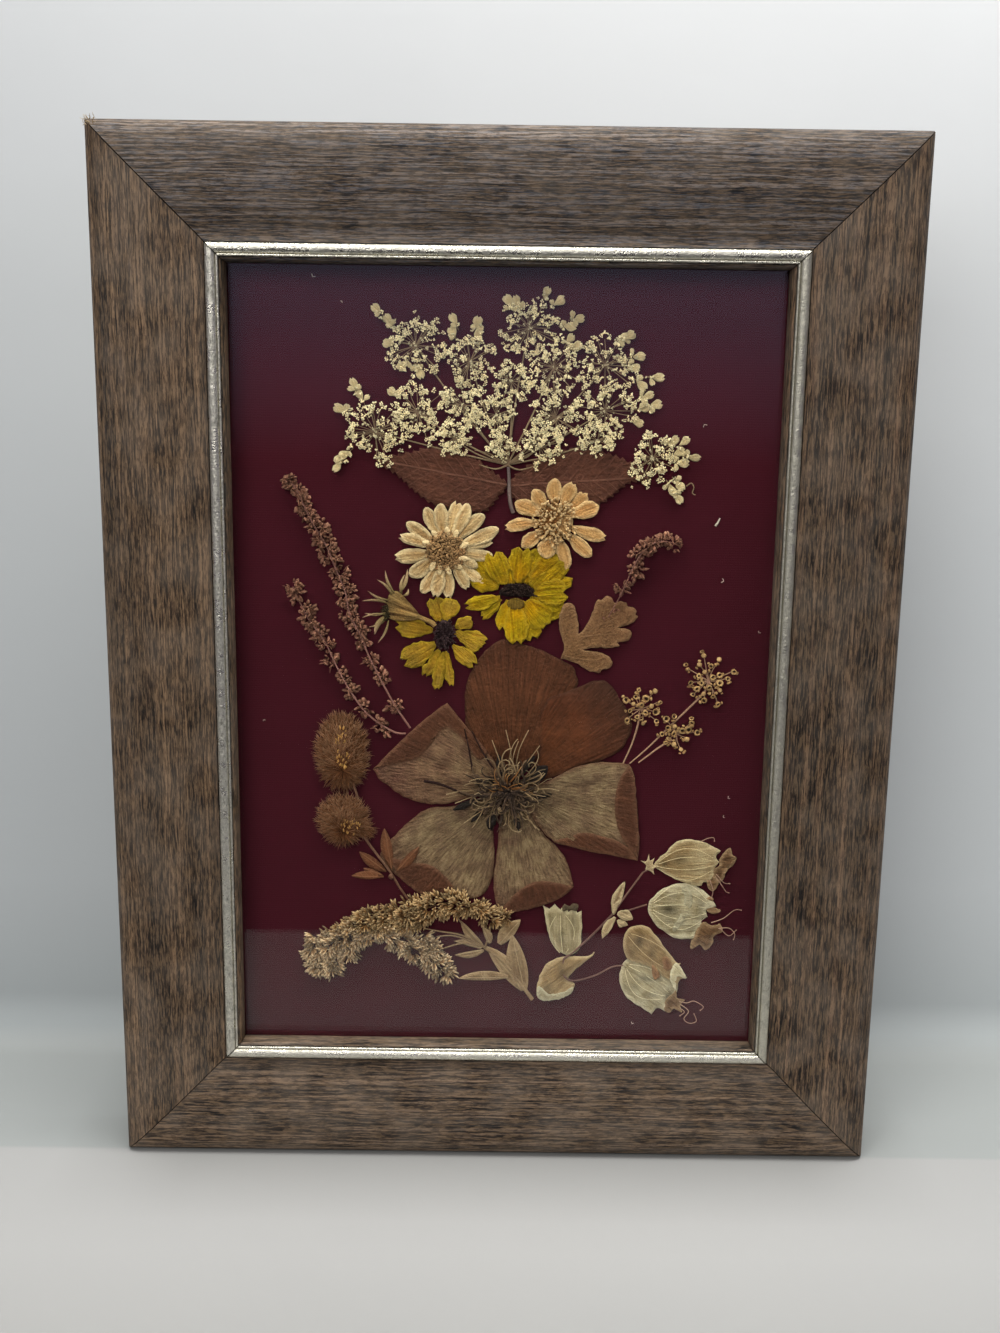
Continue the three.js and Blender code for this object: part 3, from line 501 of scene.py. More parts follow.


# Printed walnut: warm brown, with dark broken lines of 5 to 30 mm along the grain and broad tints.
# The optional shoulder colour is a painted highlight along the outer edge.
def walnutFoil(name, light, mid, dark, shoulderHighlight=None, seed=0.0):
    material, tree, shader = newMaterial(name)
    lay = addNode(tree, "ShaderNodeVectorMath", {0: mapped(tree), 1: (0.0, 0.0, seed)},
                  operation="ADD").outputs[0]

    def lines(across, along, contrast, wander=1.0):
        values = {"Lay": lay, "Across": across, "Along": along, "Contrast": contrast, "Wander": wander}
        return useGroup(tree, streaks, values).outputs[0]

    broad = lines(0.2, 0.003, 0.16, 1.4)
    warm = lines(0.5, 0.005, 0.14, 1.4)
    middle = fit(tree, lines(1.3, 0.0055, 0.035, 1.2), 0.1, 0.5, 1.0, 0.0)
    fine = fit(tree, lines(2.2, 0.07, 0.035, 1.0), 0.08, 0.5, 1.0, 0.0)
    hair = lines(3.0, 0.3, 0.05, 1.0)
    pores = fit(tree, lines(2.8, 0.5, 0.04, 1.0), 0.0, 0.35, 1.0, 0.0)
    colour = ramp(tree, warm, [(0.0, paint(*dark)), (0.45, paint(*mid)), (1.0, paint(*light))])
    colour = tint(tree, colour, (158, 160, 166), calc(tree, "SUBTRACT", 1.0, broad), 0.45, "MULTIPLY")
    deep = calc(tree, "MULTIPLY", middle, fit(tree, broad, 0.0, 1.0, 1.0, 0.6))
    colour = tint(tree, colour, (102, 98, 98), deep, 0.95, "MULTIPLY")
    colour = tint(tree, colour, (98, 92, 88), fine, 0.95, "MULTIPLY")
    colour = tint(tree, colour, (174, 142, 106), hair, 0.26)
    colour = tint(tree, colour, (124, 116, 110), pores, 0.6, "MULTIPLY")
    # painted highlight on the outer shoulder
    if shoulderHighlight:
        x = split(tree, lay)[0]
        edge = calc(tree, "SUBTRACT", x, warm)
        near = fit(tree, edge, shoulderHighlight[1], shoulderHighlight[1] + 1.1, 0.0, shoulderHighlight[2])
        colour = blend(tree, calc(tree, "MULTIPLY", near, fit(tree, fine, 0.0, 1.0, 1.0, 0.5)), colour,
                       paint(*shoulderHighlight[0]))
    scuff = useGroup(tree, mottle, {"Size": 9.0, "Seed": seed, "Contrast": 0.12})
    colour = tint(tree, colour, (176, 160, 142), scuff.outputs[0], 0.12)
    tree.links.new(colour, shader.inputs["Base Color"])
    tree.links.new(fit(tree, fine, 0.0, 1.0, 0.5, 0.66), shader.inputs["Roughness"])
    shader.inputs["Specular IOR Level"].default_value = 0.3
    bumped(tree, shader, calc(tree, "SUBTRACT", 2.0, calc(tree, "ADD", fine, middle)), 0.3, 0.00012)
    return material


# Silver leaf rubbed thin: bright metal with grey patches and small dents. The grey patches are partly rubbed
# wear and partly painted shade.
def silverLeaf(name, bright, patch, wearAndShadeAmount, rough):
    material, tree, shader = newMaterial(name)
    lines = useGroup(tree, streaks, {"Lay": mapped(tree), "Across": 2.2, "Along": 0.9,
                                     "Contrast": 0.14}).outputs[0]
    spots = useGroup(tree, mottle, {"Size": 2.2, "Contrast": 0.1, "Seed": wearAndShadeAmount * 9})
    worn = calc(tree, "MULTIPLY", calc(tree, "MULTIPLY", lines, spots.outputs[0]), wearAndShadeAmount, True)
    colour = blend(tree, worn, paint(*bright), paint(*patch))
    colour = blend(tree, fit(tree, spots.outputs[1], 0.0, 1.0, 0.0, 0.25), colour, paint(150, 148, 138))
    tree.links.new(colour, shader.inputs["Base Color"])
    tree.links.new(fit(tree, worn, 0.0, 1.0, 0.95, 0.45), shader.inputs["Metallic"])
    tree.links.new(fit(tree, spots.outputs[0], 0.0, 1.0, rough, rough + 0.2), shader.inputs["Roughness"])
    bumped(tree, shader, calc(tree, "ADD", spots.outputs[1], lines), 0.35, 0.00012)
    return material


# One walnut print in lit and shaded copies, one per side. The sides differ by painted light and shade. The top
# rail is painted greyer and bluer, a painted reflection of the bright room. Its shoulder (colour, start on the
# section's run in mm, strength) is a painted highlight.
railLooksWithPaintedLight = {
    "top": {
        "light": (138, 128, 121), "mid": (109, 106, 106), "dark": (70, 75, 85),
        "shoulderHighlight": ((226, 166, 116), 80.9, 0.9),
    },
    "right": {"light": (121, 94, 71), "mid": (90, 71, 54), "dark": (50, 43, 38)},
    "bottom": {"light": (137, 113, 91), "mid": (107, 90, 74), "dark": (64, 57, 51)},
    "left": {"light": (138, 110, 81), "mid": (104, 82, 61), "dark": (55, 48, 42)},
}
# Per side: the heavier grey and dimmer bright on the left and right beads is painted shade, laid over their
# rubbed wear.
beadLooksWithPaintedShade = {
    "top": {"bright": (226, 222, 206), "patch": (120, 116, 100), "wearAndShadeAmount": 0.3, "rough": 0.16},
    "right": {"bright": (206, 202, 184), "patch": (128, 124, 110), "wearAndShadeAmount": 0.8, "rough": 0.34},
    "bottom": {"bright": (226, 222, 206), "patch": (130, 124, 108), "wearAndShadeAmount": 0.3, "rough": 0.18},
    "left": {"bright": (226, 222, 206), "patch": (104, 102, 92), "wearAndShadeAmount": 0.95, "rough": 0.26},
}


def buildFrame():
    m = moulding
    rabbetEdge = m["width"] - m["rabbet"]
    face = smoothLine(mouldingFace, 0.45)
    lip = smoothLine(mouldingLip, 0.25)
    section = [(0, 0.4), (0.4, 0), (rabbetEdge, 0), (rabbetEdge, m["lipFoot"]), (m["width"], m["lipFoot"])]
    section += lip[::-1] + [(x, m["beadSeat"]) for x in reversed(m["beadSlot"])] + face[::-1]
    beadMiddle, beadHalf = m["beadMiddle"], m["beadHalf"]
    flangeX, flangeY, flangeRadius = m["beadFlange"]
    arc = [pi * i / 10 for i in range(11)]
    bead = [(x, m["beadSeat"] + 0.12) for x in m["bead"]]
    bead += [(flangeX + flangeRadius * cos(a), flangeY + flangeRadius * sin(a)) for a in arc]
    bead += [(beadMiddle + beadHalf * cos(a), m["beadSide"] + (m["beadCrown"] - m["beadSide"]) * sin(a))
             for a in arc]
    for order, (side, look) in enumerate(railLooksWithPaintedLight.items()):
        def ripple(x, s, key=order):
            return 0.035 * noise.noise(Vector((x * 0.12, s * 0.03, key * 7.0)))

        def dents(x, s, key=order):
            away = abs(x - beadMiddle) / beadHalf
            soft = noise.noise(Vector((x * 0.5, s * 0.16, key * 5.0)))
            sharp = noise.noise(Vector((x * 1.1, s * 0.8, key * 3.0)))
            return (0.07 * soft - 0.06 * max(0.0, sharp - 0.15)) * max(0.0, 1 - away * 0.6)

        wood = mouldedBar("rail_" + side + "_wood", side, section, 40, ripple, seed=order * 300.0)
        wood.data.materials.append(walnutFoil("walnut_" + side, seed=order * 3.7, **look))
        standIn(wood, "walnut_foil", "rail_" + side)
        silver = mouldedBar("bead_" + side + "_silver", side, bead, 240, dents, seed=order * 170.0)
        silver.data.materials.append(silverLeaf("silver_" + side, **beadLooksWithPaintedShade[side]))
        standIn(silver, "silver_foil", "bead_" + side)


def glassMaterial():
    material, tree, shader = newMaterial("clearGlass")
    shader.inputs["Base Color"].default_value = (0.97, 0.985, 0.98, 1)
    shader.inputs["Transmission Weight"].default_value = 1.0
    shader.inputs["IOR"].default_value = 1.36
    marks = useGroup(tree, mottle, {"Size": 24.0, "Contrast": 0.1, "Seed": 4.0})
    tree.links.new(fit(tree, marks.outputs[0], 0.0, 1.0, 0.0, 0.006), shader.inputs["Roughness"])
    clear = addNode(tree, "ShaderNodeBsdfTransparent", {"Color": (0.97, 0.985, 0.98, 1)})
    path = addNode(tree, "ShaderNodeLightPath")
    both = addNode(tree, "ShaderNodeMixShader", {0: path.outputs["Is Shadow Ray"], 1: shader.outputs[0],
                                                 2: clear.outputs[0]})
    tree.links.new(both.outputs[0], tree.nodes["Material Output"].inputs["Surface"])
    return material


cloth = {"thread": (64, 18, 27), "gap": (57, 15, 23), "ribs": 1.9, "thick": 0.35, "seed": 5}


def clothMaterial():
    material, tree, shader = newMaterial("burgundyRib")
    lay = mapped(tree)
    apart = split(tree, lay)
    slub = useGroup(tree, streaks, {"Lay": addNode(tree, "ShaderNodeCombineXYZ", {
        0: apart[1], 1: apart[0]}).outputs[0], "Across": 1.2, "Along": 0.06,
        "Contrast": 0.25}).outputs[0]

    def wave(value, perMm):
        turned = calc(tree, "MULTIPLY", value, perMm * 2 * pi)
        return fit(tree, calc(tree, "SINE", turned), -1.0, 1.0)

    ribs = wave(calc(tree, "ADD", apart[1], calc(tree, "MULTIPLY", slub, 0.12)), cloth["ribs"])
    warp = wave(apart[0], cloth["ribs"] * 1.3)
    weave = calc(tree, "ADD", calc(tree, "MULTIPLY", ribs, 0.75), calc(tree, "MULTIPLY", warp, 0.25))
    colour = blend(tree, weave, paint(*cloth["gap"]), paint(*cloth["thread"]))
    colour = tint(tree, colour, (54, 14, 22), slub, 0.35)
    fade = useGroup(tree, mottle, {"Size": 40.0, "Seed": 8.0})
    colour = tint(tree, colour, (50, 15, 19), fade.outputs[0], 0.25)
    lint = useGroup(tree, dust, {"Per metre": 90.0, "Size": 0.022}).outputs[0]
    colour = tint(tree, colour, (170, 150, 150), lint, 0.7)
    tree.links.new(colour, shader.inputs["Base Color"])
    tree.links.new(fit(tree, weave, 0.0, 1.0, 0.95, 0.8), shader.inputs["Roughness"])
    shader.inputs["Sheen Weight"].default_value = 0.03
    shader.inputs["Specular IOR Level"].default_value = 0.04
    bumped(tree, shader, weave, 0.07, 0.0002)
    return material


boards = {
    "greyCard": {"light": (120, 112, 100), "dark": (96, 88, 78)},
    "hardboard": {"light": (136, 96, 62), "dark": (106, 72, 46)},
}


def buildBoard():
    low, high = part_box("cloth_board")
    columns, rows = 128, 184
    front, back, lay = [], [], []
    for j in range(rows + 1):
        for i in range(columns + 1):
            x = low.x + (high.x - low.x) * i / columns
            z = low.z + (high.z - low.z) * j / rows
            dip = 0.00005 * (1 + noise.noise(Vector((x * 60, z * 60, 3.0))))
            front.append((x, low.y + dip, z))
            back.append((x, low.y + cloth["thick"] * mm, z))
            lay.append((x / mm, z / mm))
    size = len(front)

    def at(i, j):
        return j * (columns + 1) + i

    faces = []
    for j in range(rows):
        for i in range(columns):
            quad = (at(i, j), at(i + 1, j), at(i + 1, j + 1), at(i, j + 1))
            faces += [quad, tuple(size + v for v in reversed(quad))]
    border = [at(i, 0) for i in range(columns)] + [at(columns, j) for j in range(rows)]
    border += [at(i, rows) for i in range(columns, 0, -1)] + [at(0, j) for j in range(rows, 0, -1)]
    faces += [(a, size + a, size + b, b) for a, b in zip(border, border[1:] + border[:1])]
    covering = meshObject("burgundy_covering", front + back, faces)
    smoothFaces(covering)
    covering.data.set_sharp_from_angle(angle=radians(50))
    setLay(covering, lay)
    covering.data.materials.append(clothMaterial())
    standIn(covering, "burgundy_cloth", "cloth_board")
    core = bevelledSlab("board_core", Vector((low.x, low.y + (cloth["thick"] + 0.02) * mm, low.z)), high,
                        0.2)
    core.data.materials.append(pressedBoard("greyCard"))
    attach(core, "root")


def bevelledSlab(name, low, high, bevel):
    corners = [(x, y, z) for z in (low.z, high.z) for y in (low.y, high.y) for x in (low.x, high.x)]
    faces = [(0, 2, 3, 1), (4, 5, 7, 6), (0, 1, 5, 4), (2, 6, 7, 3), (0, 4, 6, 2), (1, 3, 7, 5)]
    slab = meshObject(name, corners, faces)
    edge = slab.modifiers.new("edge", "BEVEL")
    edge.width, edge.segments = bevel * mm, 2
    return settled(slab)


def pressedBoard(name):
    light, dark = boards[name]["light"], boards[name]["dark"]
    material, tree, shader = newMaterial(name)
    spots = useGroup(tree, mottle, {"Size": 5.0, "Seed": 1.0})
    colour = blend(tree, spots.outputs[0], paint(*dark), paint(*light))
    fleck = useGroup(tree, dust, {"Per metre": 700.0, "Size": 0.3}).outputs[0]
    colour = tint(tree, colour, [v * 0.6 for v in dark], fleck, 0.35)
    tree.links.new(colour, shader.inputs["Base Color"])
    tree.links.new(fit(tree, spots.outputs[1], 0.0, 1.0, 0.55, 0.8), shader.inputs["Roughness"])
    bumped(tree, shader, spots.outputs[1], 0.2)
    return material


def zincSteel():
    material, tree, shader = newMaterial("zincSteel")
    spots = useGroup(tree, mottle, {"Size": 1.6, "Contrast": 0.12, "Seed": 6.0})
    colour = blend(tree, spots.outputs[0], paint(150, 150, 146), paint(196, 196, 190))
    stain = useGroup(tree, mottle, {"Size": 7.0, "Contrast": 0.08, "Seed": 3.0})
    colour = tint(tree, colour, (120, 104, 86), stain.outputs[0], 0.35)
    tree.links.new(colour, shader.inputs["Base Color"])
    shader.inputs["Metallic"].default_value = 0.9
    tree.links.new(fit(tree, spots.outputs[1], 0.0, 1.0, 0.3, 0.5), shader.inputs["Roughness"])
    bumped(tree, shader, spots.outputs[1], 0.2, 0.0001)
    return material


def settled(piece):  # what the modifiers make becomes the plain mesh
    graph = bpy.context.evaluated_depsgraph_get()
    mesh = bpy.data.meshes.new_from_object(piece.evaluated_get(graph), preserve_all_data_layers=True,
                                           depsgraph=graph)
    piece.modifiers.clear()
    piece.data = mesh
    return piece


def dressNode(name, material):
    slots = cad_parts[name].material_slots
    for slot in slots:
        slot.material = material
    if not slots:
        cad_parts[name].data.materials.append(material)


buildFrame()
buildBoard()
dressNode("glass_pane", glassMaterial())
dressNode("back_panel", pressedBoard("hardboard"))
steel = zincSteel()
for fitting in ["glazing_point_%d" % n for n in range(1, 5)] + ["sawtooth_hanger"]:
    dressNode(fitting, steel)
print("frame: mouldings, beads, glass, board and back")


# Pressed tissue is a thin sheet cut to an outline, with its own swellings, creases and curled rim.
def gapToLoop(points, ring):
    a, b = ring, np.roll(ring, -1, axis=0)
    span = b - a
    reach = np.maximum((span ** 2).sum(1), 1e-9)
    t = np.clip(((points[:, None] - a[None]) * span[None]).sum(2) / reach, 0, 1)
    return np.sqrt(((points[:, None] - (a[None] + t[..., None] * span[None])) ** 2).sum(2)).min(1)


def insideLoop(points, ring):
    a, b = ring, np.roll(ring, -1, axis=0)
    x, y = points[:, 0][:, None], points[:, 1][:, None]
    crosses = (a[None, :, 1] > y) != (b[None, :, 1] > y)
    rise = np.where(np.abs(b[:, 1] - a[:, 1]) < 1e-9, 1e-9, b[:, 1] - a[:, 1])
    at = a[None, :, 0] + (y - a[None, :, 1]) * (b - a)[None, :, 0] / rise[None]
    return (crosses & (x < at)).sum(1) % 2 == 1


# Heights in mm. reach: how far in from the edge the dome rises. grain: the wrinkles' (across, along) scale.
# hollows: (x, y, half width, half height, depth) of soft sunken places, which are darker.
plainForm = {
    "lift": 0.3, "dome": 0.2, "reach": 1.2, "creases": 0, "crease": 0.0, "wrinkle": 0.06,
    "grain": (0.6, 0.15), "curl": 0.15, "tilt": 0.0, "hollows": (),
}
rowPitch, jitter = 0.87, 0.15  # of a sheet's inner points, in spacings
curlReach = 0.55


def pressedSheet(name, loop, material, root, tip, form=None, spacing=0.8, thick=0.12, tone=0.5, fan=0.0,
                 seed=1):
    shape = dict(plainForm, **(form or {}))
    chance = random.Random(seed)
    ring = np.array(loop)
    following = np.roll(ring, -1, axis=0)
    if (ring[:, 0] * following[:, 1] - following[:, 0] * ring[:, 1]).sum() < 0:
        ring = ring[::-1]
    low, high = ring.min(0), ring.max(0)
    grid = []
    rows = int((high[1] - low[1]) / (spacing * rowPitch)) + 2
    for j in range(rows):
        for i in range(int((high[0] - low[0]) / spacing) + 2):
            grid.append((low[0] + (i + 0.5 * (j % 2) + chance.uniform(-jitter, jitter)) * spacing,
                         low[1] + (j + chance.uniform(-jitter, jitter)) * spacing * rowPitch))
    grid = np.array(grid)
    grid = grid[insideLoop(grid, ring)]
    if len(grid):
        grid = grid[gapToLoop(grid, ring) > 0.42 * spacing]
    every = [Vector(p) for p in ring] + [Vector(p) for p in grid]
    flat, _, faces, _, _, _ = delaunay_2d_cdt(every, [], [list(range(len(ring)))], 1, 1e-5)
    places = np.array([(p.x, p.y) for p in flat])
    inset = gapToLoop(places, ring)
    root, tip = Vector(root), Vector(tip)
    axis = (tip - root).normalized()
    length = (tip - root).length
    halfWidth = max(0.4, float(inset.max()))
    top, bottom, lay, along, tones = [], [], [], [], []
    for (x, y), gap in zip(places, inset):
        away = Vector((x, y)) - root
        down, across = away.dot(axis), away.x * axis.y - away.y * axis.x
        if fan:
            radius = hypot(down + fan, across)
            across, down = atan2(across, down + fan) * length * 0.6, radius - fan
        s = min(1.0, max(0.0, down / length))
        height = shape["lift"] + shape["tilt"] * s + shape["dome"] * (1 - exp(-gap / shape["reach"]))
        if shape["creases"]:
            fold = cos(pi * shape["creases"] * across / halfWidth + seed)
            height += shape["crease"] * fold * sin(pi * min(1, s * 0.9 + 0.08)) ** 0.5
        gx, gy = shape["grain"]
        broad = Vector((across * gx, down * gy, seed * 3.7))
        fine = Vector((across * gx * 2.7, down * gy * 2.2, seed * 1.3))
        height += shape["wrinkle"] * noise.noise(broad)
        height += shape["wrinkle"] * 0.5 * noise.noise(fine)
        uneven = 0.4 + noise.noise(Vector((x * 0.3, y * 0.3, seed)))
        height += shape["curl"] * exp(-gap / curlReach) * uneven
        sunk = sum(deep * exp(-((x - hx) / hw) ** 2 - ((y - hy) / hh) ** 2)
                   for hx, hy, hw, hh, deep in shape["hollows"])
        height = min(ceiling, max(thick + 0.04, height - 0.25 * sunk))
        top.append(spot(x, y, height))
        bottom.append(spot(x, y, height - thick))
        lay.append((across, down + seed * 31.0))
        along.append(s)
        tones.append(tone - sunk)
    size = len(top)
    shell, used = [], {}
    for a, b, c in (f[:3] for f in faces):
        pa, pb, pc = places[a], places[b], places[c]
        if (pb[0] - pa[0]) * (pc[1] - pa[1]) - (pb[1] - pa[1]) * (pc[0] - pa[0]) < 0:
            b, c = c, b
        shell += [(a, b, c), (size + a, size + c, size + b)]
        for edge in ((a, b), (b, c), (c, a)):
            used[edge] = True
    shell += [(a, size + a, size + b, b) for a, b in used if (b, a) not in used]
    piece = meshObject(name, top + bottom, shell)
    smoothFaces(piece)
    setLay(piece, lay)
    setAttribute(piece, "along", along * 2)
    setAttribute(piece, "edge", list(inset) * 2)
    setAttribute(piece, "tone", tones * 2)
    piece.data.materials.append(material)
    return piece


# A petal's outline from base to tip: peak moves its widest place, a small blunt squares its ends.
def petalLoop(base, tip, width, peak=1.3, blunt=0.45, notch=0.0, start=0.06, steps=9, bow=0.0):
    base, tip = Vector(base), Vector(tip)
    axis = tip - base
    normal = Vector((-axis.y, axis.x)).normalized()

    def place(s, side):
        half = side * width / 2 * sin(pi * s ** peak) ** blunt
        return base + axis * s + normal * (half + bow * sin(pi * s))

    ladder = [start + (0.965 - start) * i / (steps - 1) for i in range(steps)]
    ends = [tip]
    if notch:
        ends = [tip - normal * width * 0.17, tip - axis * notch, tip + normal * width * 0.17]
    loop = [place(s, -1) for s in ladder] + ends + [place(s, 1) for s in reversed(ladder)]
    return [(p.x, p.y) for p in loop]


def serrated(loop, depth, pitch):  # forward-pointing teeth along a dense outline
    made, run = [], 0.0
    for i, p in enumerate(loop):
        before, after = Vector(loop[i - 1]), Vector(loop[(i + 1) % len(loop)])
        run += (Vector(p) - before).length
        way = (after - before).normalized()
        tooth = depth * ((run / pitch) % 1.0)
        made.append((p[0] + way.y * tooth, p[1] - way.x * tooth))
    return made


def roundLoop(x, y, radiusX, radiusY, step, count):
    return [(x + radiusX * cos(k * step), y + radiusY * sin(k * step)) for k in range(count)]


def ragged(loop, depth, pitch, seed):
    made = []
    for i, p in enumerate(loop):
        way = (Vector(loop[(i + 1) % len(loop)]) - Vector(loop[i - 1])).normalized()
        push = depth * noise.noise(Vector((p[0] / pitch, p[1] / pitch, seed * 9.0)))
        made.append((p[0] + way.y * push, p[1] - way.x * push))
    return made


def geometryTree(name, inputs):
    tree = bpy.data.node_groups.new(name, "GeometryNodeTree")
    tree.interface.new_socket(name="Geometry", in_out="INPUT", socket_type="NodeSocketGeometry")
    for label, kind, value in inputs:
        socket = tree.interface.new_socket(name=label, in_out="INPUT", socket_type=kind)
        if value is not None:
            socket.default_value = value
    tree.interface.new_socket(name="Geometry", in_out="OUTPUT", socket_type="NodeSocketGeometry")
    return tree, addNode(tree, "NodeGroupInput"), addNode(tree, "NodeGroupOutput")


def stored(tree, name, kind="FLOAT"):
    return addNode(tree, "GeometryNodeInputNamedAttribute", {"Name": name}, data_type=kind).outputs[0]


def finishTree(tree, given, out, geometry, flat=False):
    real = addNode(tree, "GeometryNodeRealizeInstances", {0: geometry})
    smooth = addNode(tree, "GeometryNodeSetShadeSmooth", {0: real.outputs[0], "Shade Smooth": not flat})
    coat = addNode(tree, "GeometryNodeSetMaterial",
                   {0: smooth.outputs[0], "Material": given.outputs["Material"]})
    tree.links.new(coat.outputs[0], out.inputs[0])


def buildThreads():
    tree, given, out = geometryTree("threads", [("Sides", "NodeSocketInt", 6),
                                                ("Material", "NodeSocketMaterial", None)])
    curve = addNode(tree, "GeometryNodeMeshToCurve", {0: given.outputs["Geometry"]})
    sized = addNode(tree, "GeometryNodeSetCurveRadius",
                    {0: curve.outputs[0], "Radius": stored(tree, "radius")})
    circle = addNode(tree, "GeometryNodeCurvePrimitiveCircle", {"Resolution": given.outputs["Sides"],
                                                                "Radius": 1.0})
    tube = addNode(tree, "GeometryNodeCurveToMesh", {0: sized.outputs[0], 1: circle.outputs[0],
                                                     "Fill Caps": True})
    if "Scale" in tube.inputs:
        tree.links.new(stored(tree, "radius"), tube.inputs["Scale"])
    finishTree(tree, given, out, tube.outputs[0])
    return tree


def buildScatter():
    kinds = [("Form A", "NodeSocketObject", None), ("Form B", "NodeSocketObject", None),
             ("Form C", "NodeSocketObject", None), ("Material", "NodeSocketMaterial", None)]
    tree, given, out = geometryTree("scatterOnPoints", kinds)
    forms = addNode(tree, "GeometryNodeJoinGeometry")
    for label in ("Form C", "Form B", "Form A"):
        form = addNode(tree, "GeometryNodeObjectInfo", {"Object": given.outputs[label],
                                                        "As Instance": True})
        tree.links.new(form.outputs["Geometry"], forms.inputs[0])
    turn = addNode(tree, "FunctionNodeEulerToRotation", {0: stored(tree, "turn", "FLOAT_VECTOR")})
    placed = addNode(tree, "GeometryNodeInstanceOnPoints", {
        "Points": given.outputs["Geometry"], "Instance": forms.outputs[0], "Pick Instance": True,
        "Instance Index": stored(tree, "pick", "INT"), "Rotation": turn.outputs[0],
        "Scale": stored(tree, "size")})
    finishTree(tree, given, out, placed.outputs[0])
    return tree


threadTree = buildThreads()
scatterTree = buildScatter()


def runTree(piece, tree, values):
    change = piece.modifiers.new(tree.name, "NODES")
    change.node_group = tree
    for item in tree.interface.items_tree:
        if item.in_out == "INPUT" and item.name in values:
            change[item.identifier] = values[item.name]
    return settled(piece)


# lines: (points in mm and lift, diameter at the start, diameter at the end, tone)
def threadPiece(name, lines, material, sides=6, place=spot):
    vertices, edges, radius, along, tone = [], [], [], [], []
    for points, thickStart, thickEnd, lineTone in lines:
        first = len(vertices)
        for i, point in enumerate(points):
            s = i / max(1, len(points) - 1)
            vertices.append(place(*point))
            radius.append((thickStart + (thickEnd - thickStart) * s) / 2 * mm)
            along.append(s)
            tone.append(lineTone)
        edges += [(first + i, first + i + 1) for i in range(len(points) - 1)]
    piece = meshObject(name, vertices, [], edges)
    for key, values in (("radius", radius), ("along", along), ("tone", tone)):
        setAttribute(piece, key, values)
    return runTree(piece, threadTree, {"Sides": sides, "Material": material})


def curvedLine(points, lift, step=1.0, sag=0.0):  # a smooth line through x, y points at one lift
    line = smoothLine(points, step)
    count = max(1, len(line) - 1)
    return [(x, y, lift + sag * sin(pi * i / count)) for i, (x, y) in enumerate(line)]


# spots: (x, y, lift, aim in the picture's x, y and outwards, size, tone, pick)
def scatterPiece(name, spots, forms, material, seed=1):
    chance = random.Random(seed)
    places, turns, sizes, tones, picks = [], [], [], [], []
    for x, y, lift, aim, size, tone, pick in spots:
        places.append(spot(x, y, lift))
        facing = Vector((aim[0], -aim[2], aim[1]))
        turn = facing.to_track_quat("Z", "Y").to_matrix() @ Matrix.Rotation(chance.uniform(0, tau), 3, "Z")
        turns.append(turn.to_euler())
        sizes.append(size)
        tones.append(tone)
        picks.append(pick)
    piece = meshObject(name, places, [])
    setAttribute(piece, "size", sizes)
    setAttribute(piece, "tone", tones)
    setAttribute(piece, "turn", [tuple(t) for t in turns], "FLOAT_VECTOR")
    piece.data.attributes.new("pick", "INT", "POINT").data.foreach_set("value", picks)
    forms = list(forms) + [forms[-1]] * (3 - len(forms))
    return runTree(piece, scatterTree, {"Form A": forms[0], "Form B": forms[1], "Form C": forms[2],
                                        "Material": material})


# A small closed form of turned parts: each is (profile of radius and height in mm, sides, bend, place).
def turnedForm(name, parts, wobble=0.0, seed=1, loopProfile=False):
    chance = random.Random(seed)
    vertices, faces, along = [], [], []
    for profile, sides, bend, place in parts:
        tall = max(z for _, z in profile) or 1.0
        rings = []
        for r, z in profile:
            lean = bend * (z / tall) ** 2
            count = 1 if r == 0 else sides
            ring = []
            for k in range(count):
                a = tau * k / sides
                reach = r * (1 + wobble * chance.uniform(-1, 1))
                ring.append(len(vertices))
                vertices.append(place @ Vector(((reach * cos(a) + lean) * mm, reach * sin(a) * mm,
                                                z * mm)))
                along.append(max(0.0, z / tall))
            rings.append(ring)
        pairs = list(zip(rings, rings[1:])) + ([(rings[-1], rings[0])] if loopProfile else [])
        for low, high in pairs:
            for k in range(sides):
                n = (k + 1) % sides
                if len(low) == 1:
                    faces.append((low[0], high[n], high[k]))
                elif len(high) == 1:
                    faces.append((low[k], low[n], high[0]))
                else:
                    faces.append((low[k], low[n], high[n], high[k]))
    form = meshObject(name, vertices, faces)
    setAttribute(form, "along", along)
    return form


def turnedBit(name, profile, sides, bend, wobble=0.0, seed=1, loopProfile=False):
    return turnedForm(name, [(profile, sides, bend, Matrix.Identity(4))], wobble, seed, loopProfile)


def beadCluster(name, count, spread, radius, seed):  # a few small buds pressed together
    chance = random.Random(seed * 11)
    parts = []
    for k in range(count):
        a = tau * k / count + chance.uniform(-0.4, 0.4)
        r = radius * chance.uniform(0.75, 1.15)
        out = spread * (chance.uniform(0.7, 1.1) if k else 0.2)
        place = Matrix.Translation(Vector((out * cos(a), out * sin(a), chance.uniform(-0.1, 0.2))) * mm)
        parts.append(([(0, -0.9 * r), (0.95 * r, -0.3 * r), (0.9 * r, 0.5 * r), (0, r)], 4, 0, place))
    return turnedForm(name, parts, 0.12, seed)


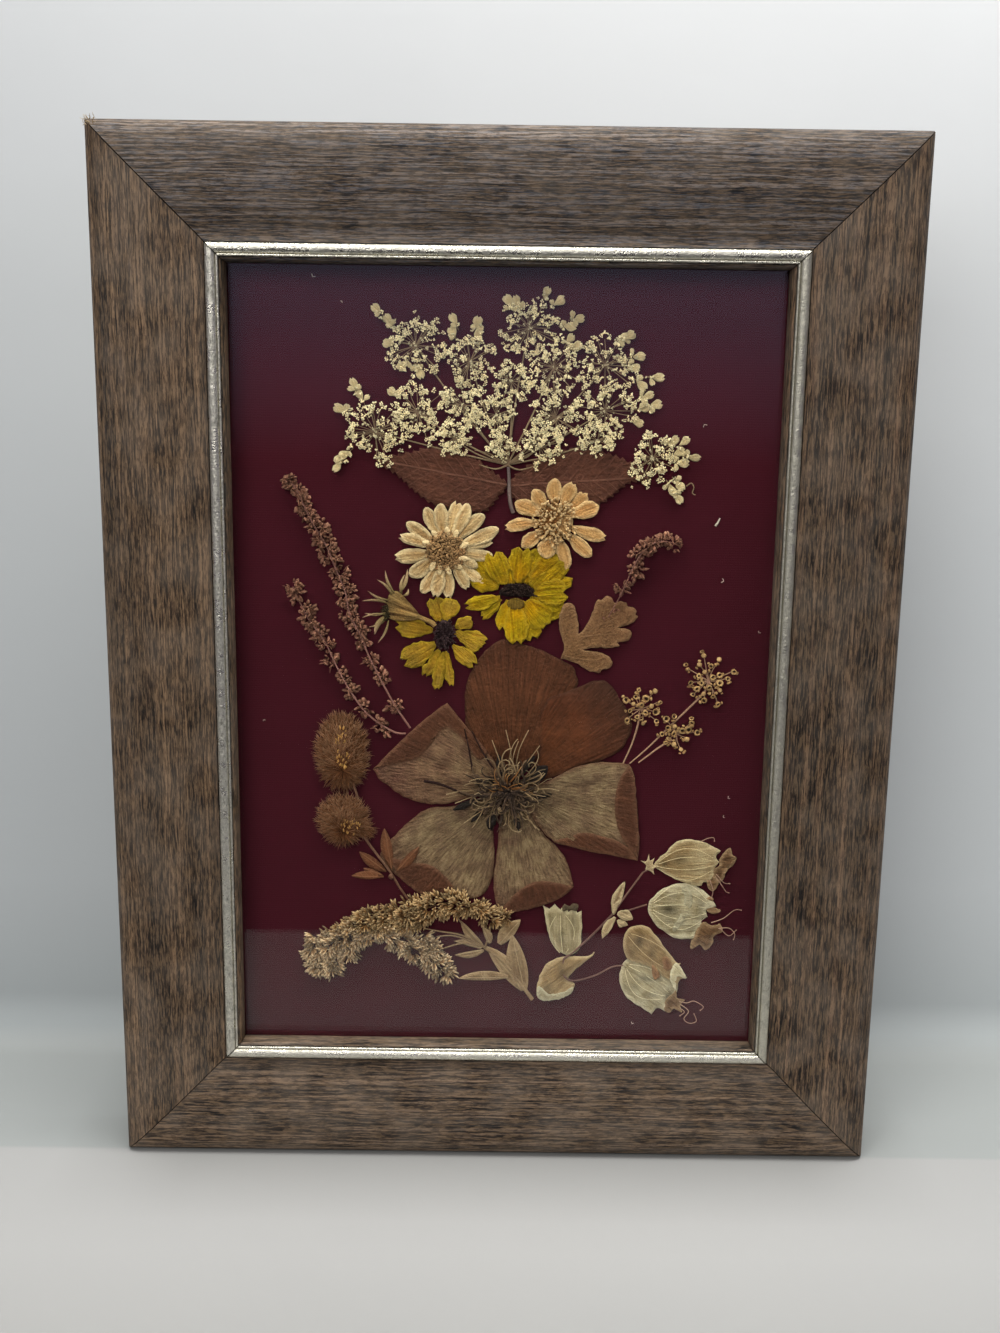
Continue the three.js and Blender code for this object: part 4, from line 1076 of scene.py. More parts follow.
# Thin lobes round a centre, each a closed lens. outline: points (out, aside) in mm from the centre.
def lobedForm(name, outline, lobes, cup=0.2, thick=0.1, spread=tau, heart=0.0, seed=1):
    chance = random.Random(seed)
    vertices, faces, along = [], [], []
    reach = max(p[0] for p in outline)
    for n in range(lobes):
        a = spread * n / lobes + chance.uniform(-0.15, 0.15)
        grow = chance.uniform(0.82, 1.12)
        tilt = cup * chance.uniform(0.5, 1.5)
        first = len(vertices)
        for out, aside in outline:
            x, y = out * grow, aside * grow
            vertices.append((Vector((x * cos(a) - y * sin(a), x * sin(a) + y * cos(a),
                                     tilt * x * x))) * mm)
            along.append(out / reach)
        middle = sum((vertices[i] for i in range(first, len(vertices))), Vector()) / len(outline)
        vertices += [middle + Vector((0, 0, thick * mm)), middle - Vector((0, 0, thick * mm))]
        along += [0.5, 0.5]
        size = len(outline)
        for i in range(size):
            j = (i + 1) % size
            faces += [(first + i, first + j, first + size), (first + j, first + i, first + size + 1)]
    if heart:
        ring = [Vector((heart * cos(tau * k / 5), heart * sin(tau * k / 5), 0.04)) * mm
                for k in range(5)]
        first = len(vertices)
        vertices += ring + [Vector((0, 0, heart * 0.8)) * mm, Vector((0, 0, -0.05)) * mm]
        along += [0.0] * 7
        for k in range(5):
            n = (k + 1) % 5
            faces += [(first + k, first + n, first + 5), (first + n, first + k, first + 6)]
    form = meshObject(name, vertices, faces)
    setAttribute(form, "along", along)
    return form


def drop(forms):
    for form in forms:
        bpy.data.objects.remove(form)


def ringSpots(count, centre, radiusX, radiusY, chance, power=0.5):
    for _ in range(count):
        a, r = chance.uniform(0, tau), chance.random() ** power
        yield centre[0] + radiusX * r * cos(a), centre[1] + radiusY * r * sin(a), a, r


# The wild carrot. umbellets: (x, y, radius); petals: where the larger outer petals stand.
lace = {
    "hub": (0.5, 44.6),
    "umbellets": [
        (-19, 69, 5.9), (-7.6, 66, 5.3), (-27.5, 51.2, 6.2), (-18.5, 55.3, 5.8), (-9, 57, 5),
        (-11, 50, 4), (1, 62, 4.5), (-2, 55, 4), (-1, 48.4, 2.6), (4.6, 73, 6.2), (9.8, 65, 5.8),
        (20.6, 65.6, 6.1), (20.8, 56.2, 5.9), (10.4, 54.6, 5.7), (7.4, 48.6, 4.2), (19.4, 50, 3.6),
    ],
    "loose": (31.2, 46.4, 5.4),
    "petals": [
        (-27.3, 76.5), (-24.8, 74), (-32, 61), (-30.5, 59), (-34.8, 56), (-35, 45), (-34, 46.2),
        (-35.6, 44), (-24, 59.5), (-25, 69), (-21.5, 64.5), (-18.5, 63.5), (-6.2, 74), (-11, 74.5),
        (-11.5, 72), (-6, 71.5), (-0.2, 78.3), (1.8, 78), (8, 80.3), (10.5, 78.5), (15, 75), (13, 73.5),
        (13, 71), (14.3, 69.4), (24, 71), (25.4, 72), (27.5, 67.8), (27, 65.5), (31.5, 62.8), (28.5, 62),
        (29.7, 59.3), (31.5, 57.3), (29.3, 56.6), (28, 53.5),
    ],
    "loosePetals": [
        (38, 49.8), (37, 47.5), (39.8, 47), (37.5, 45.2), (35.5, 40), (37.2, 41), (37, 38), (35.8, 50),
    ],
    "bracts": [
        ([(-2, 43.7), (-5.5, 44.6)], .5), ([(3, 43.6), (6.6, 44.6)], .5),
        ([(-3, 46.8), (-6.5, 47.6)], .28), ([(4, 47), (6.5, 49.4)], .28),
    ],
    "hook": [(38.6, 40.6), (39.6, 41.3), (40.2, 40.4), (39.9, 39.2), (40.6, 38.8)], "ray": 0.44,
    "pedicel": 0.16, "pedicelsPerMm": 4.8, "innerPerMm": 2.5, "floretSpread": 0.62,
    "looks": {
        "laceCream": {
            "colours": [(196, 170, 120), (255, 238, 186), (255, 254, 220)], "shadow": (176, 150, 110),
            "streak": 0.3, "blotch": (230, 204, 150), "blotchAmount": 0.25, "toneRange": (0.62, 1.34),
            "blotchSize": 1.5, "rough": 0.8,
        },
        "laceStalk": {
            "colours": [(150, 124, 96), (170, 146, 110), (178, 158, 120)], "blotch": (126, 102, 82),
            "rough": 0.8, "toneRange": (0.7, 1.15),
        },
        "lacePetal": {
            "colours": [(166, 138, 92), (232, 208, 152), (250, 232, 182)], "shadow": (156, 128, 88),
            "fibre": (2.2, .3), "streak": .6, "blotch": (206, 178, 122), "toneRange": (0.82, 1.18),
            "blotchSize": 1.6, "rim": (214, 196, 150), "relief": .8,
        },
    },
}


def buildLace():
    dried = tissues(lace["looks"])
    florets = [beadCluster("floretFive", 5, 0.44, 0.23, 1), beadCluster("floretFour", 4, 0.38, 0.24, 2),
               beadCluster("floretThree", 3, 0.3, 0.26, 3)]
    heads = [(lace["umbellets"], lace["petals"], "lace_umbel", 3),
             ([lace["loose"]], lace["loosePetals"], "lace_umbellet_loose", 9)]
    for umbellets, petals, name, seed in heads:
        chance = random.Random(seed)
        lines, spots, outer = [], [], []
        for cx, cy, radius in umbellets:
            hub = Vector(lace["hub"])
            if name == "lace_umbel":
                bow = chance.uniform(-1.2, 1.2)
                middle = (hub + Vector((cx, cy))) / 2 + Vector((bow, -abs(bow) * 0.4))
                lines.append((curvedLine([tuple(hub), tuple(middle), (cx, cy)], 0.35, 1.5, 0.35),
                              lace["ray"], lace["ray"] * 0.6, chance.uniform(0.2, 0.9)))
            count = int(radius * lace["pedicelsPerMm"])
            for k in range(count):
                a = tau * (k + chance.uniform(-.4, .4)) / count * 3
                r = radius * (0.38 + 0.64 * chance.random() ** 0.8)
                ex, ey = cx + r * cos(a), cy + r * sin(a)
                lift = chance.uniform(0.5, 1.3)
                elbow = ((cx + ex) / 2 + chance.uniform(-.2, .2), (cy + ey) / 2, lift * 0.8)
                lines.append(([(cx, cy, 0.5), elbow, (ex, ey, lift)], lace["pedicel"], lace["pedicel"],
                              chance.uniform(0.3, 1)))
                for _ in range(chance.choice((5, 5, 6, 7))):
                    fx = ex + chance.gauss(0, lace["floretSpread"])
                    fy = ey + chance.gauss(0, lace["floretSpread"])
                    aim = (cos(a) * 0.5 + chance.gauss(0, .35), sin(a) * 0.5 + chance.gauss(0, .35), 1)
                    spots.append((fx, fy, lift + chance.uniform(0.1, 0.55), aim, chance.uniform(0.6, 1.02),
                                  chance.betavariate(2.6, 1.3), chance.choice((0, 0, 1, 2))))
            for _ in range(int(radius * lace["innerPerMm"])):
                a, r = chance.uniform(0, tau), radius * 0.55 * chance.random()
                spots.append((cx + r * cos(a), cy + r * sin(a), chance.uniform(.5, 1.1), (0, 0, 1),
                              chance.uniform(0.45, 0.8), chance.uniform(0, .5), 1))
        for x, y in petals:
            nearest = min(umbellets, key=lambda u: (u[0] - x) ** 2 + (u[1] - y) ** 2)
            way = Vector((x - nearest[0], y - nearest[1])).normalized()
            outer.append((x, y, way))
            for _ in range(3):
                spots.append((x - way.x * 1.5 + chance.gauss(0, .5), y - way.y * 1.5 + chance.gauss(0, .5),
                              1.1, (way.x, way.y, 1), chance.uniform(.7, 1.1), chance.random(),
                              chance.choice((1, 2))))
        parts = [threadPiece(name + "_stalks", lines, dried["laceStalk"], 5),
                 scatterPiece(name + "_florets", spots, florets, dried["laceCream"], seed)]
        for n, (x, y, way) in enumerate(outer):  # one broad petal and one or two narrow ones beside it
            foot = Vector((x, y)) - way * 1.5
            aims = [(chance.uniform(-.3, .3), chance.uniform(2.5, 3.1), chance.uniform(1.6, 2.1), .95)]
            aims += [(side * chance.uniform(.8, 1.4), chance.uniform(1.2, 1.9), chance.uniform(.9, 1.3), 1.15)
                     for side in chance.choice(((-1,), (1,), (-1, 1)))]
            for k, (swing, long, width, lift) in enumerate(aims):
                end = foot + Matrix.Rotation(swing, 2) @ way * long
                loop = ragged(petalLoop(tuple(foot), tuple(end), width, 1.7, .55, .12, steps=7), .2, .8,
                              n + k)
                form = {"lift": lift, "dome": .12, "reach": .4, "creases": 2, "crease": .1, "wrinkle": .25,
                        "grain": (.9, .5), "curl": .3}
                parts.append(pressedSheet("outer", loop, dried["lacePetal"], tuple(foot), tuple(end), form,
                                          .42, .09, chance.uniform(.3, 1), seed=n + k * 40))
            back = foot - way * .9
            stalk = [(back.x, back.y, .8), (foot.x, foot.y, .95)]
            parts.append(threadPiece("petalStalk", [(stalk, .2, .2, .5)], dried["laceStalk"], 4))
        if name == "lace_umbel":
            bracts = [(curvedLine([lace["hub"], *line], 0.9, 1), width, 0.12, 0.4)
                      for line, width in lace["bracts"]]
            parts.append(threadPiece("bracts", bracts, dried["laceStalk"], 5))
        else:
            hook = curvedLine(lace["hook"], 0.5, .4)
            parts.append(threadPiece("hook", [(hook, .3, .16, .9)], dried["laceStalk"], 5))
        standIn(joined(name + "_dry", parts), "lace_cream", name)
    drop(florets)


# The pair of toothed leaves under the lace.
russet = {
    "leaves": {
        "left": {
            "loop": [
                (0.4, 40.4, 1), (-3.2, 43.2), (-6, 45.2), (-10, 46.8), (-15.5, 47.8), (-20, 46.6),
                (-27.4, 45.4, 1), (-22.6, 42.4), (-20, 40), (-16.4, 37.2), (-12.4, 35.7), (-8, 35.0),
                (-4.4, 34.9), (-1.9, 37.6),
            ],
            "root": (0.3, 40.4), "tip": (-27, 45.2), "pitch": 1.6,
        },
        "right": {
            "loop": [
                (0.9, 40.4, 1), (2.9, 37), (8, 34.8), (15, 35.2), (20.5, 37.2), (23.4, 39.3), (26, 41.4),
                (30.6, 42.3, 1), (27, 44.8), (22.5, 46.7), (17, 48), (12, 47.3), (7, 45.4), (3, 42.7),
            ],
            "root": (1.2, 40.2), "tip": (30.4, 42.4), "pitch": 1.6,
        },
    },
    "stalk": [(0.7, 44.2), (0.9, 41.5), (1.0, 38.6), (1.3, 36.2), (1.9, 34.5)],
    "looks": {
        "leafRusset": {
            "colours": [(99, 61, 46), (108, 67, 49), (96, 59, 43)], "shadow": (110, 78, 64),
            "fibre": (1.6, 0.6), "streak": 0.6, "blotch": (80, 49, 38), "blotchAmount": 0.7,
            "blotchSize": 6, "vein": (116, 78, 62), "veinMap": (2.7, 1.1, 0.13), "rim": (84, 50, 38),
            "relief": 0.8,
        },
        "leafStalk": {"colours": [(110, 96, 92), (134, 116, 108), (120, 100, 92)], "rough": 0.8},
    },
}


def buildRussetLeaves():
    dried = tissues(russet["looks"])
    for side, look in russet["leaves"].items():
        loop = serrated(smoothLine(look["loop"], 0.3, True), 0.75, look["pitch"])
        form = {"lift": 0.62, "dome": 0.25, "wrinkle": 0.2, "grain": (0.35, 0.2), "curl": 0.2}
        parts = [pressedSheet("russet", loop, dried["leafRusset"], look["root"], look["tip"], form, 0.8,
                              seed=3 if side == "left" else 8)]
        if side == "right":
            line = curvedLine(russet["stalk"], 0.95, .8)
            parts.append(threadPiece("stalk", [(line, .7, .85, .5)], dried["leafStalk"], 7))
        standIn(joined("russet_leaf_%s_dry" % side, parts), "leaf_russet", "russet_leaf_" + side)


# The cream and the peach daisy: every petal is (tip x, tip y, width, lift).
petalLook = {
    "shadow": (176, 140, 104), "fibre": (2.3, 0.1), "streak": 0.75, "blotchSize": 4.0,
    "toneRange": (0.8, 1.28), "relief": 0.9,
}
daisies = {
    "heads": {
        "cream": {
            "at": (-12.5, 26.2), "seed": 21, "grains": 330, "root": 2.4, "disc": (4.0, 4.1),
            "discLook": "discBrown", "peak": 1.5, "blunt": 0.5, "slim": 0.88,
            "petals": [
                (-16.9, 35.4, 3.4, .75), (-13.6, 36.4, 3.6, 1.15), (-9.8, 37.0, 3.6, .8),
                (-7.6, 36.4, 3.4, 1.2), (-4.3, 34.1, 3.6, .8), (-1.1, 31.2, 3.5, 1.2),
                (-2.4, 28.4, 3.0, .9), (-2.3, 25.2, 3.0, .75), (-5.5, 22.8, 2.6, 1.2),
                (-4.2, 19.2, 2.7, .8), (-7.6, 18.0, 3.0, 1.2), (-11.8, 15.9, 3.4, .8),
                (-14.6, 16.2, 3.5, 1.15), (-17.6, 16.9, 3.6, .75), (-20.2, 20.6, 3.8, 1.1),
                (-23.4, 24.6, 3.7, .85), (-22.4, 29.2, 3.0, 1.15), (-20.9, 32.1, 3.2, .8),
            ],
        },
        "peach": {
            "at": (11, 32.8), "seed": 22, "grains": 210, "root": 3.0, "disc": (3.9, 3.9),
            "discLook": "discStraw", "peak": 1.5, "blunt": 0.55, "slim": 0.95,
            "petals": [
                (2.2, 36.6, 3.7, .8), (6.1, 39.5, 3.3, 1.1), (10.6, 42.0, 3.4, .8),
                (14.6, 41.1, 3.6, 1.1), (17.6, 38.9, 3.4, .8), (20.1, 36.3, 4.0, 1.15),
                (21.8, 29.4, 3.2, .8), (18.9, 25.4, 3.2, 1.1), (13.5, 22.2, 3.4, .8),
                (8.6, 24.9, 4.3, 1.2), (3.8, 27.2, 3.3, .8), (0.1, 31.4, 3.0, 1.1),
            ],
        },
    },
    "looks": {
        "petalCream": {
            **petalLook, "colours": [(172, 132, 80), (206, 174, 118), (220, 192, 138), (212, 184, 130)],
            "rim": (230, 208, 160), "blotch": (164, 126, 78), "blotchAmount": 0.5,
        },
        "petalPeach": {
            **petalLook, "colours": [(184, 136, 78), (214, 166, 102), (222, 178, 114), (212, 166, 102)],
            "rim": (230, 196, 140), "blotch": (182, 130, 78), "blotchAmount": 0.6,
        },
        "discBrown": {
            "colours": [(112, 74, 42), (176, 132, 84), (216, 172, 118)], "toneRange": (0.6, 1.25),
            "blotchSize": 1.2, "blotch": (120, 84, 50),
        },
        "discStraw": {
            "colours": [(164, 112, 62), (222, 176, 114), (242, 206, 150)], "toneRange": (0.75, 1.15),
            "blotchSize": 1.5,
        },
    },
}


goldenTurn = 2.39996


def buildPaleDaisies():
    dried = tissues(daisies["looks"])
    grains = [turnedBit("grain", [(0, 0), (.2, .1), (.27, .4), (.17, .58), (0, .5)], 5, 0.05, .15, 1),
              turnedBit("grainTall", [(0, 0), (.16, .1), (.22, .5), (.26, .68), (0, .55)], 5, 0.1, .2, 2)]
    tube = [turnedBit("tubeFloret", [(0, 0), (.17, .1), (.2, 1.1), (.34, 1.6), (.2, 1.75), (0, 1.5)],
                      6, .4, .1, 3),
            turnedBit("tubeShort", [(0, 0), (.2, .1), (.24, .8), (.3, 1.15), (0, 1.0)], 6, .25, .1, 4)]
    for name, d in daisies["heads"].items():
        material, chance = dried["petal" + name.capitalize()], random.Random(d["seed"])
        parts, centre = [], Vector(d["at"])
        for n, (x, y, width, lift) in enumerate(d["petals"]):
            way = (Vector((x, y)) - centre).normalized()
            root = centre + way * d["root"]
            loop = petalLoop(root, (x, y), width * d["slim"], d["peak"], d["blunt"],
                             chance.choice((0, 0, .06)), bow=chance.uniform(-.3, .3))
            form = {"lift": lift, "dome": .24, "reach": .7, "creases": chance.choice((2, 3, 3)),
                    "crease": .14, "wrinkle": .22, "grain": (.9, .3), "curl": .34,
                    "tilt": chance.uniform(-.2, .15)}
            loop = ragged(loop, .22, 1.1, n)
            parts.append(pressedSheet("petal", loop, material, root, (x, y), form, .5, .1,
                                      chance.uniform(.2, 1), seed=n + 3))
        if name == "cream":  # small curled inner petals at the disc's rim
            for a in (0.9, 1.35, 2.0, 2.6, 3.9, 4.3, 4.75, 5.3, 5.8, 0.2):
                base = centre + Vector((cos(a), sin(a))) * 3.0
                end = base + Vector((cos(a + .4), sin(a + .4))) * 2.4
                parts.append(pressedSheet("curl", petalLoop(base, end, 1.2, 1.2, .5, steps=5), material,
                                          base, end, {"lift": 1.7, "dome": .3, "reach": .4, "curl": .3},
                                          .45, .1, 1.0, seed=int(a * 9)))
        standIn(joined(name + "_daisy_petals_dry", parts), "petal_" + name, name + "_daisy_petals")
        spots = []
        if name == "cream":
            for k in range(d["grains"]):  # a sunflower's spiral
                r, a = sqrt(k / d["grains"]), k * goldenTurn
                x, y = centre.x + d["disc"][0] * r * cos(a), centre.y + d["disc"][1] * r * sin(a)
                aim = (cos(a) * r * .8 + chance.gauss(0, .2), sin(a) * r * .8 + chance.gauss(0, .2), 1)
                spots.append((x, y, 1.35 + .3 * (1 - r * r), aim, chance.uniform(.75, 1.15),
                              chance.random(), k % 2))
            head = scatterPiece("disc", spots, grains, dried["discBrown"], 5)
        else:
            for x, y, a, r in ringSpots(d["grains"], (11, 32.6), 3.9, 4.2, chance, .6):
                aim = (cos(a) * (.3 + r), sin(a) * (.3 + r), .75)
                spots.append((x, y, 1.15 + .25 * (1 - r), aim, chance.uniform(.6, 1.0), chance.random(),
                              chance.choice((0, 1))))
            head = scatterPiece("disc", spots, tube, dried["discStraw"], 6)
        ring = roundLoop(centre.x, centre.y, d["disc"][0] * .95, d["disc"][1] * .95, .35, 18)
        base = pressedSheet("discBase", ring, dried[d["discLook"]], tuple(centre),
                            (centre.x + 4, centre.y), {"lift": 1.0, "dome": .4}, .7, .3, 0.2)
        standIn(joined(name + "_daisy_disc_dry", [head, base]), "disc_brown", name + "_daisy_disc")
    drop(grains + tube)


# The yellow flowers: every petal is (root x, y, tip x, y, width, lift, tone), patch is the disc's middle
# and half sizes.
yellowLook = {
    "shadow": (160, 112, 44), "fibre": (2.2, 0.1), "streak": 0.75, "blotchAmount": 0.85,
    "blotchSize": 4.5, "toneRange": (0.74, 1.14), "rim": (176, 146, 34), "relief": 0.9,
}
yellows = {
    "heads": {
        "yellow_daisy": {
            "petalLook": "petalYellow", "patch": (3.1, 18.0, 3.2, 1.05), "bristles": 150,
            "petals": [
                (-0.4, 18.4, -5.8, 24.9, 5.2, .55, .2), (-0.6, 18.2, -7.0, 20.2, 3.6, .7, .1),
                (0.6, 18.6, -2.6, 25.9, 5.4, .9, .45), (2.0, 18.8, 0.8, 25.6, 5.2, .6, .9),
                (3.4, 18.8, 4.2, 27.2, 5.6, .95, .05), (4.6, 18.8, 8.0, 26.4, 6.2, .65, .25),
                (5.4, 18.4, 12.2, 24.9, 7.0, .9, .1), (6.0, 17.8, 14.5, 21.6, 6.2, .6, .3),
                (6.0, 17.0, 13.9, 17.6, 6.0, .95, .6), (5.4, 16.4, 12.8, 13.0, 6.0, .6, .4),
                (4.6, 16.0, 9.6, 10.0, 6.0, .9, .6), (3.6, 15.8, 6.8, 7.0, 5.2, .6, .9),
                (2.4, 15.8, 3.2, 6.0, 5.4, .95, 1), (1.2, 16.0, -0.2, 8.8, 3.6, .6, .9),
                (-0.2, 16.4, -8.2, 14.2, 3.3, .8, .95), (0.0, 16.0, -4.6, 11.6, 2.4, .6, .75),
            ],
        },
        "small_yellow": {
            "petalLook": "petalOchre", "patch": (-12.6, 8.0, 2.1, 3.5), "bristles": 170,
            "petals": [
                (-13.2, 10.4, -15.2, 16.0, 4.4, .6, .4), (-12.2, 10.6, -10.6, 15.8, 4.2, .9, .75),
                (-14.6, 8.6, -23.2, 10.0, 4.4, .6, .6), (-14.2, 6.0, -21.8, 1.6, 5.4, .85, .5),
                (-13.4, 5.0, -17.0, -1.4, 2.8, .6, .2), (-12.8, 4.6, -14.2, -4.4, 2.6, .9, .35),
                (-12.2, 4.8, -11.0, -3.6, 2.2, .6, .9), (-11.2, 5.8, -5.8, 1.2, 3.4, .85, .7),
                (-10.6, 8.0, -3.2, 6.4, 2.8, .6, .8), (-10.6, 9.4, -6.6, 11.4, 3.0, .95, .7),
                (-10.8, 8.6, -4.6, 4.8, 3.0, .8, .6),
            ],
        },
    },
    "wedge": [(-0.6, 16.7), (0, 18.6), (2.4, 19.3), (5.6, 18.6), (6.2, 17.1), (7.4, 16.6), (4, 16.5)],
    "looks": {
        "discDark": {
            "colours": [(38, 26, 22), (52, 38, 30), (64, 46, 40)], "toneRange": (0.6, 1.4),
            "blotchSize": 1.5,
        },
        "discPurple": {
            "colours": [(48, 32, 34), (66, 48, 50), (84, 62, 60)], "toneRange": (0.5, 1.4),
            "blotchSize": 1.5,
        },
        "petalYellow": {
            **yellowLook, "colours": [(196, 128, 2), (226, 172, 4), (222, 176, 6), (188, 156, 16)],
            "blotch": (148, 134, 20),
        },
        "petalOchre": {
            **yellowLook, "colours": [(156, 112, 22), (210, 164, 40), (198, 158, 46), (160, 132, 50)],
            "blotch": (138, 114, 44),
        },
        "oldDisc": {"colours": [(136, 108, 36), (120, 92, 34)], "blotch": (104, 80, 40)},
    },
}


def buildYellowDaisies():
    dried = tissues(yellows["looks"])

    bristle = [turnedBit("bristle", [(0, 0), (.14, .05), (.16, .5), (.09, .9), (0, 1.0)], 4, .25, .1, 5),
               turnedBit("bristleFat", [(0, 0), (.2, .05), (.25, .35), (.16, .6), (0, .62)], 5, .1, .2, 6)]
    for name, d in yellows["heads"].items():
        chance, parts = random.Random(len(name)), []
        for n, (rx, ry, x, y, width, lift, tone) in enumerate(d["petals"]):
            loop = petalLoop((rx, ry), (x, y), width, 1.6, .45,
                             chance.choice((.05, .1, .16)), steps=11,
                             bow=chance.uniform(-.3, .3))
            loop = ragged(loop, .55, 1.3, n)
            form = {"lift": lift, "dome": .12, "reach": .8, "creases": chance.choice((3, 4)),
                    "crease": .16, "wrinkle": .3, "grain": (.8, .3), "curl": .2,
                    "tilt": chance.uniform(-.1, .2)}
            parts.append(pressedSheet("petal", loop, dried[d["petalLook"]], (rx, ry), (x, y), form, .5,
                                      .09, tone, seed=n + 2))
        standIn(joined(name + "_petals_dry", parts), "petal_yellow", name + "_petals")
        px, py, pw, ph = d["patch"]
        big = name == "yellow_daisy"
        spots = [(x, y, 1.25 + .3 * (1 - r), (cos(a) * r * .9, sin(a) * r * .9, .8),
                  chance.uniform(.6, 1.0), chance.random(), chance.choice((0, 1)))
                 for x, y, a, r in ringSpots(d["bristles"], (px, py), pw, ph, chance, .55)]
        look = "discDark" if big else "discPurple"
        parts = [scatterPiece("bristles", spots, bristle, dried[look], 8)]
        if big:  # the dark heart draws out to a point on the right, and an old disc shows below
            wedge = ragged(smoothLine(yellows["wedge"], .4, True), .3, .7, 3)
            parts.append(pressedSheet("wedge", wedge, dried["discDark"], (3, 17), (7, 17),
                                      {"lift": 1.15, "dome": .25}, .5, .15, .4))
            parts.append(pressedSheet("oldDisc", roundLoop(2.7, 14.9, 1.9, 1.3, .42, 15), dried["oldDisc"],
                                      (2.7, 16), (2.7, 13.5), {"lift": 1.22, "dome": .15}, .5, .1))
        else:
            ring = roundLoop(px, py, pw * .9, ph * .9, .35, 18)
            parts.append(pressedSheet("discBase", ring, dried["discPurple"], (px, py), (px, py + 3),
                                      {"lift": 1.0, "dome": .4}, .7, .3, .2))
        standIn(joined(name + "_disc_dry", parts), "disc_dark", name + "_disc")
    drop(bristle)


# The seed bud: every bract is (base, tip, width).
seedBud = {
    "bell": [
        (-18.1, 11.3), (-18.3, 12.6), (-20.6, 15.2), (-22.6, 17.2), (-24.4, 16.8), (-25.1, 14),
        (-24.6, 11.4), (-21.4, 10.9),
    ],
    "stalk": [(-14.6, 9.9), (-15.4, 10.6), (-17, 11.3), (-18.5, 12)],
    "bracts": [
        ((-23.2, 16.6), (-25.4, 21.9), .9), ((-23.8, 16.4), (-27.1, 19.8), .8),
        ((-24.4, 15.4), (-29.1, 17.4), .8), ((-24.6, 14.6), (-30.4, 15.1), .75),
        ((-25, 12.8), (-29.9, 12.5), .7), ((-25, 12.2), (-30.4, 11.5), .6),
        ((-24.8, 11.8), (-29, 9.4), .7), ((-25.4, 12), (-27.7, 7.8), 1.6), ((-24.6, 11.4), (-27, 6), .7),
        ((-22.4, 17), (-20.6, 22.2), 1.2), ((-21.8, 16.6), (-21.2, 21.0), .9),
        ((-21.6, 16.4), (-20.4, 18), .9),
    ],
    "looks": {
        "budTan": {
            "colours": [(190, 152, 92), (178, 138, 78), (150, 120, 72)], "shadow": (84, 54, 32),
            "fibre": (1.0, 0.03), "streak": 0.9, "blotch": (150, 128, 80), "rough": 0.7, "relief": 0.9,
            "crisp": 0.1,
        },
        "budBract": {
            "colours": [(112, 98, 56), (156, 132, 92), (190, 160, 124)], "shadow": (110, 80, 56),
            "fibre": (2, .2), "streak": .5,
        },
        "budDark": {"colours": [(40, 32, 18), (66, 58, 34)], "toneRange": (.6, 1.3)},
    },
}


def buildSeedBud():
    dried = tissues(seedBud["looks"])
    form = {"lift": 1.35, "dome": .75, "reach": 1.0, "creases": 5, "crease": .14, "curl": 0,
            "wrinkle": .05}
    parts = [pressedSheet("bell", smoothLine(seedBud["bell"], .5, True), dried["budTan"], (-18, 12),
                          (-25, 14), form, .45, .3, .6, fan=4, seed=2)]
    parts.append(threadPiece("stalk", [(curvedLine(seedBud["stalk"], 1.4, .6), 1.15, .95, .8)],
                             dried["budTan"], 8))
    for n, (base, end, width) in enumerate(seedBud["bracts"]):
        outline = petalLoop(base, end, width * .72, .8, .8, steps=7, bow=.5 * (-1) ** n)
        form = {"lift": 1.5 + .12 * (n % 3), "dome": .2, "reach": .3, "curl": .3}
        parts.append(pressedSheet("bract", outline, dried["budBract"], base, end, form, .4, .1,
                                  .4 + .06 * n, seed=n + 1))
    tuftForm = [turnedBit("budScale", [(0, 0), (.25, .1), (.22, .8), (0, 1.5)], 4, .3, .2, 5)]
    chance = random.Random(4)
    spots = [(x, y, 1.35, (-1 + chance.gauss(0, .3), .1 + chance.gauss(0, .5), .5), chance.uniform(.5, .9),
              chance.random(), 0)
             for x, y, _, _ in ringSpots(34, (-24.9, 12.6), .9, 1.6, chance)]
    parts.append(scatterPiece("scales", spots, tuftForm, dried["budDark"]))
    standIn(joined("seed_bud_dry", parts), "seed_tan", "seed_bud")
    drop(tuftForm)


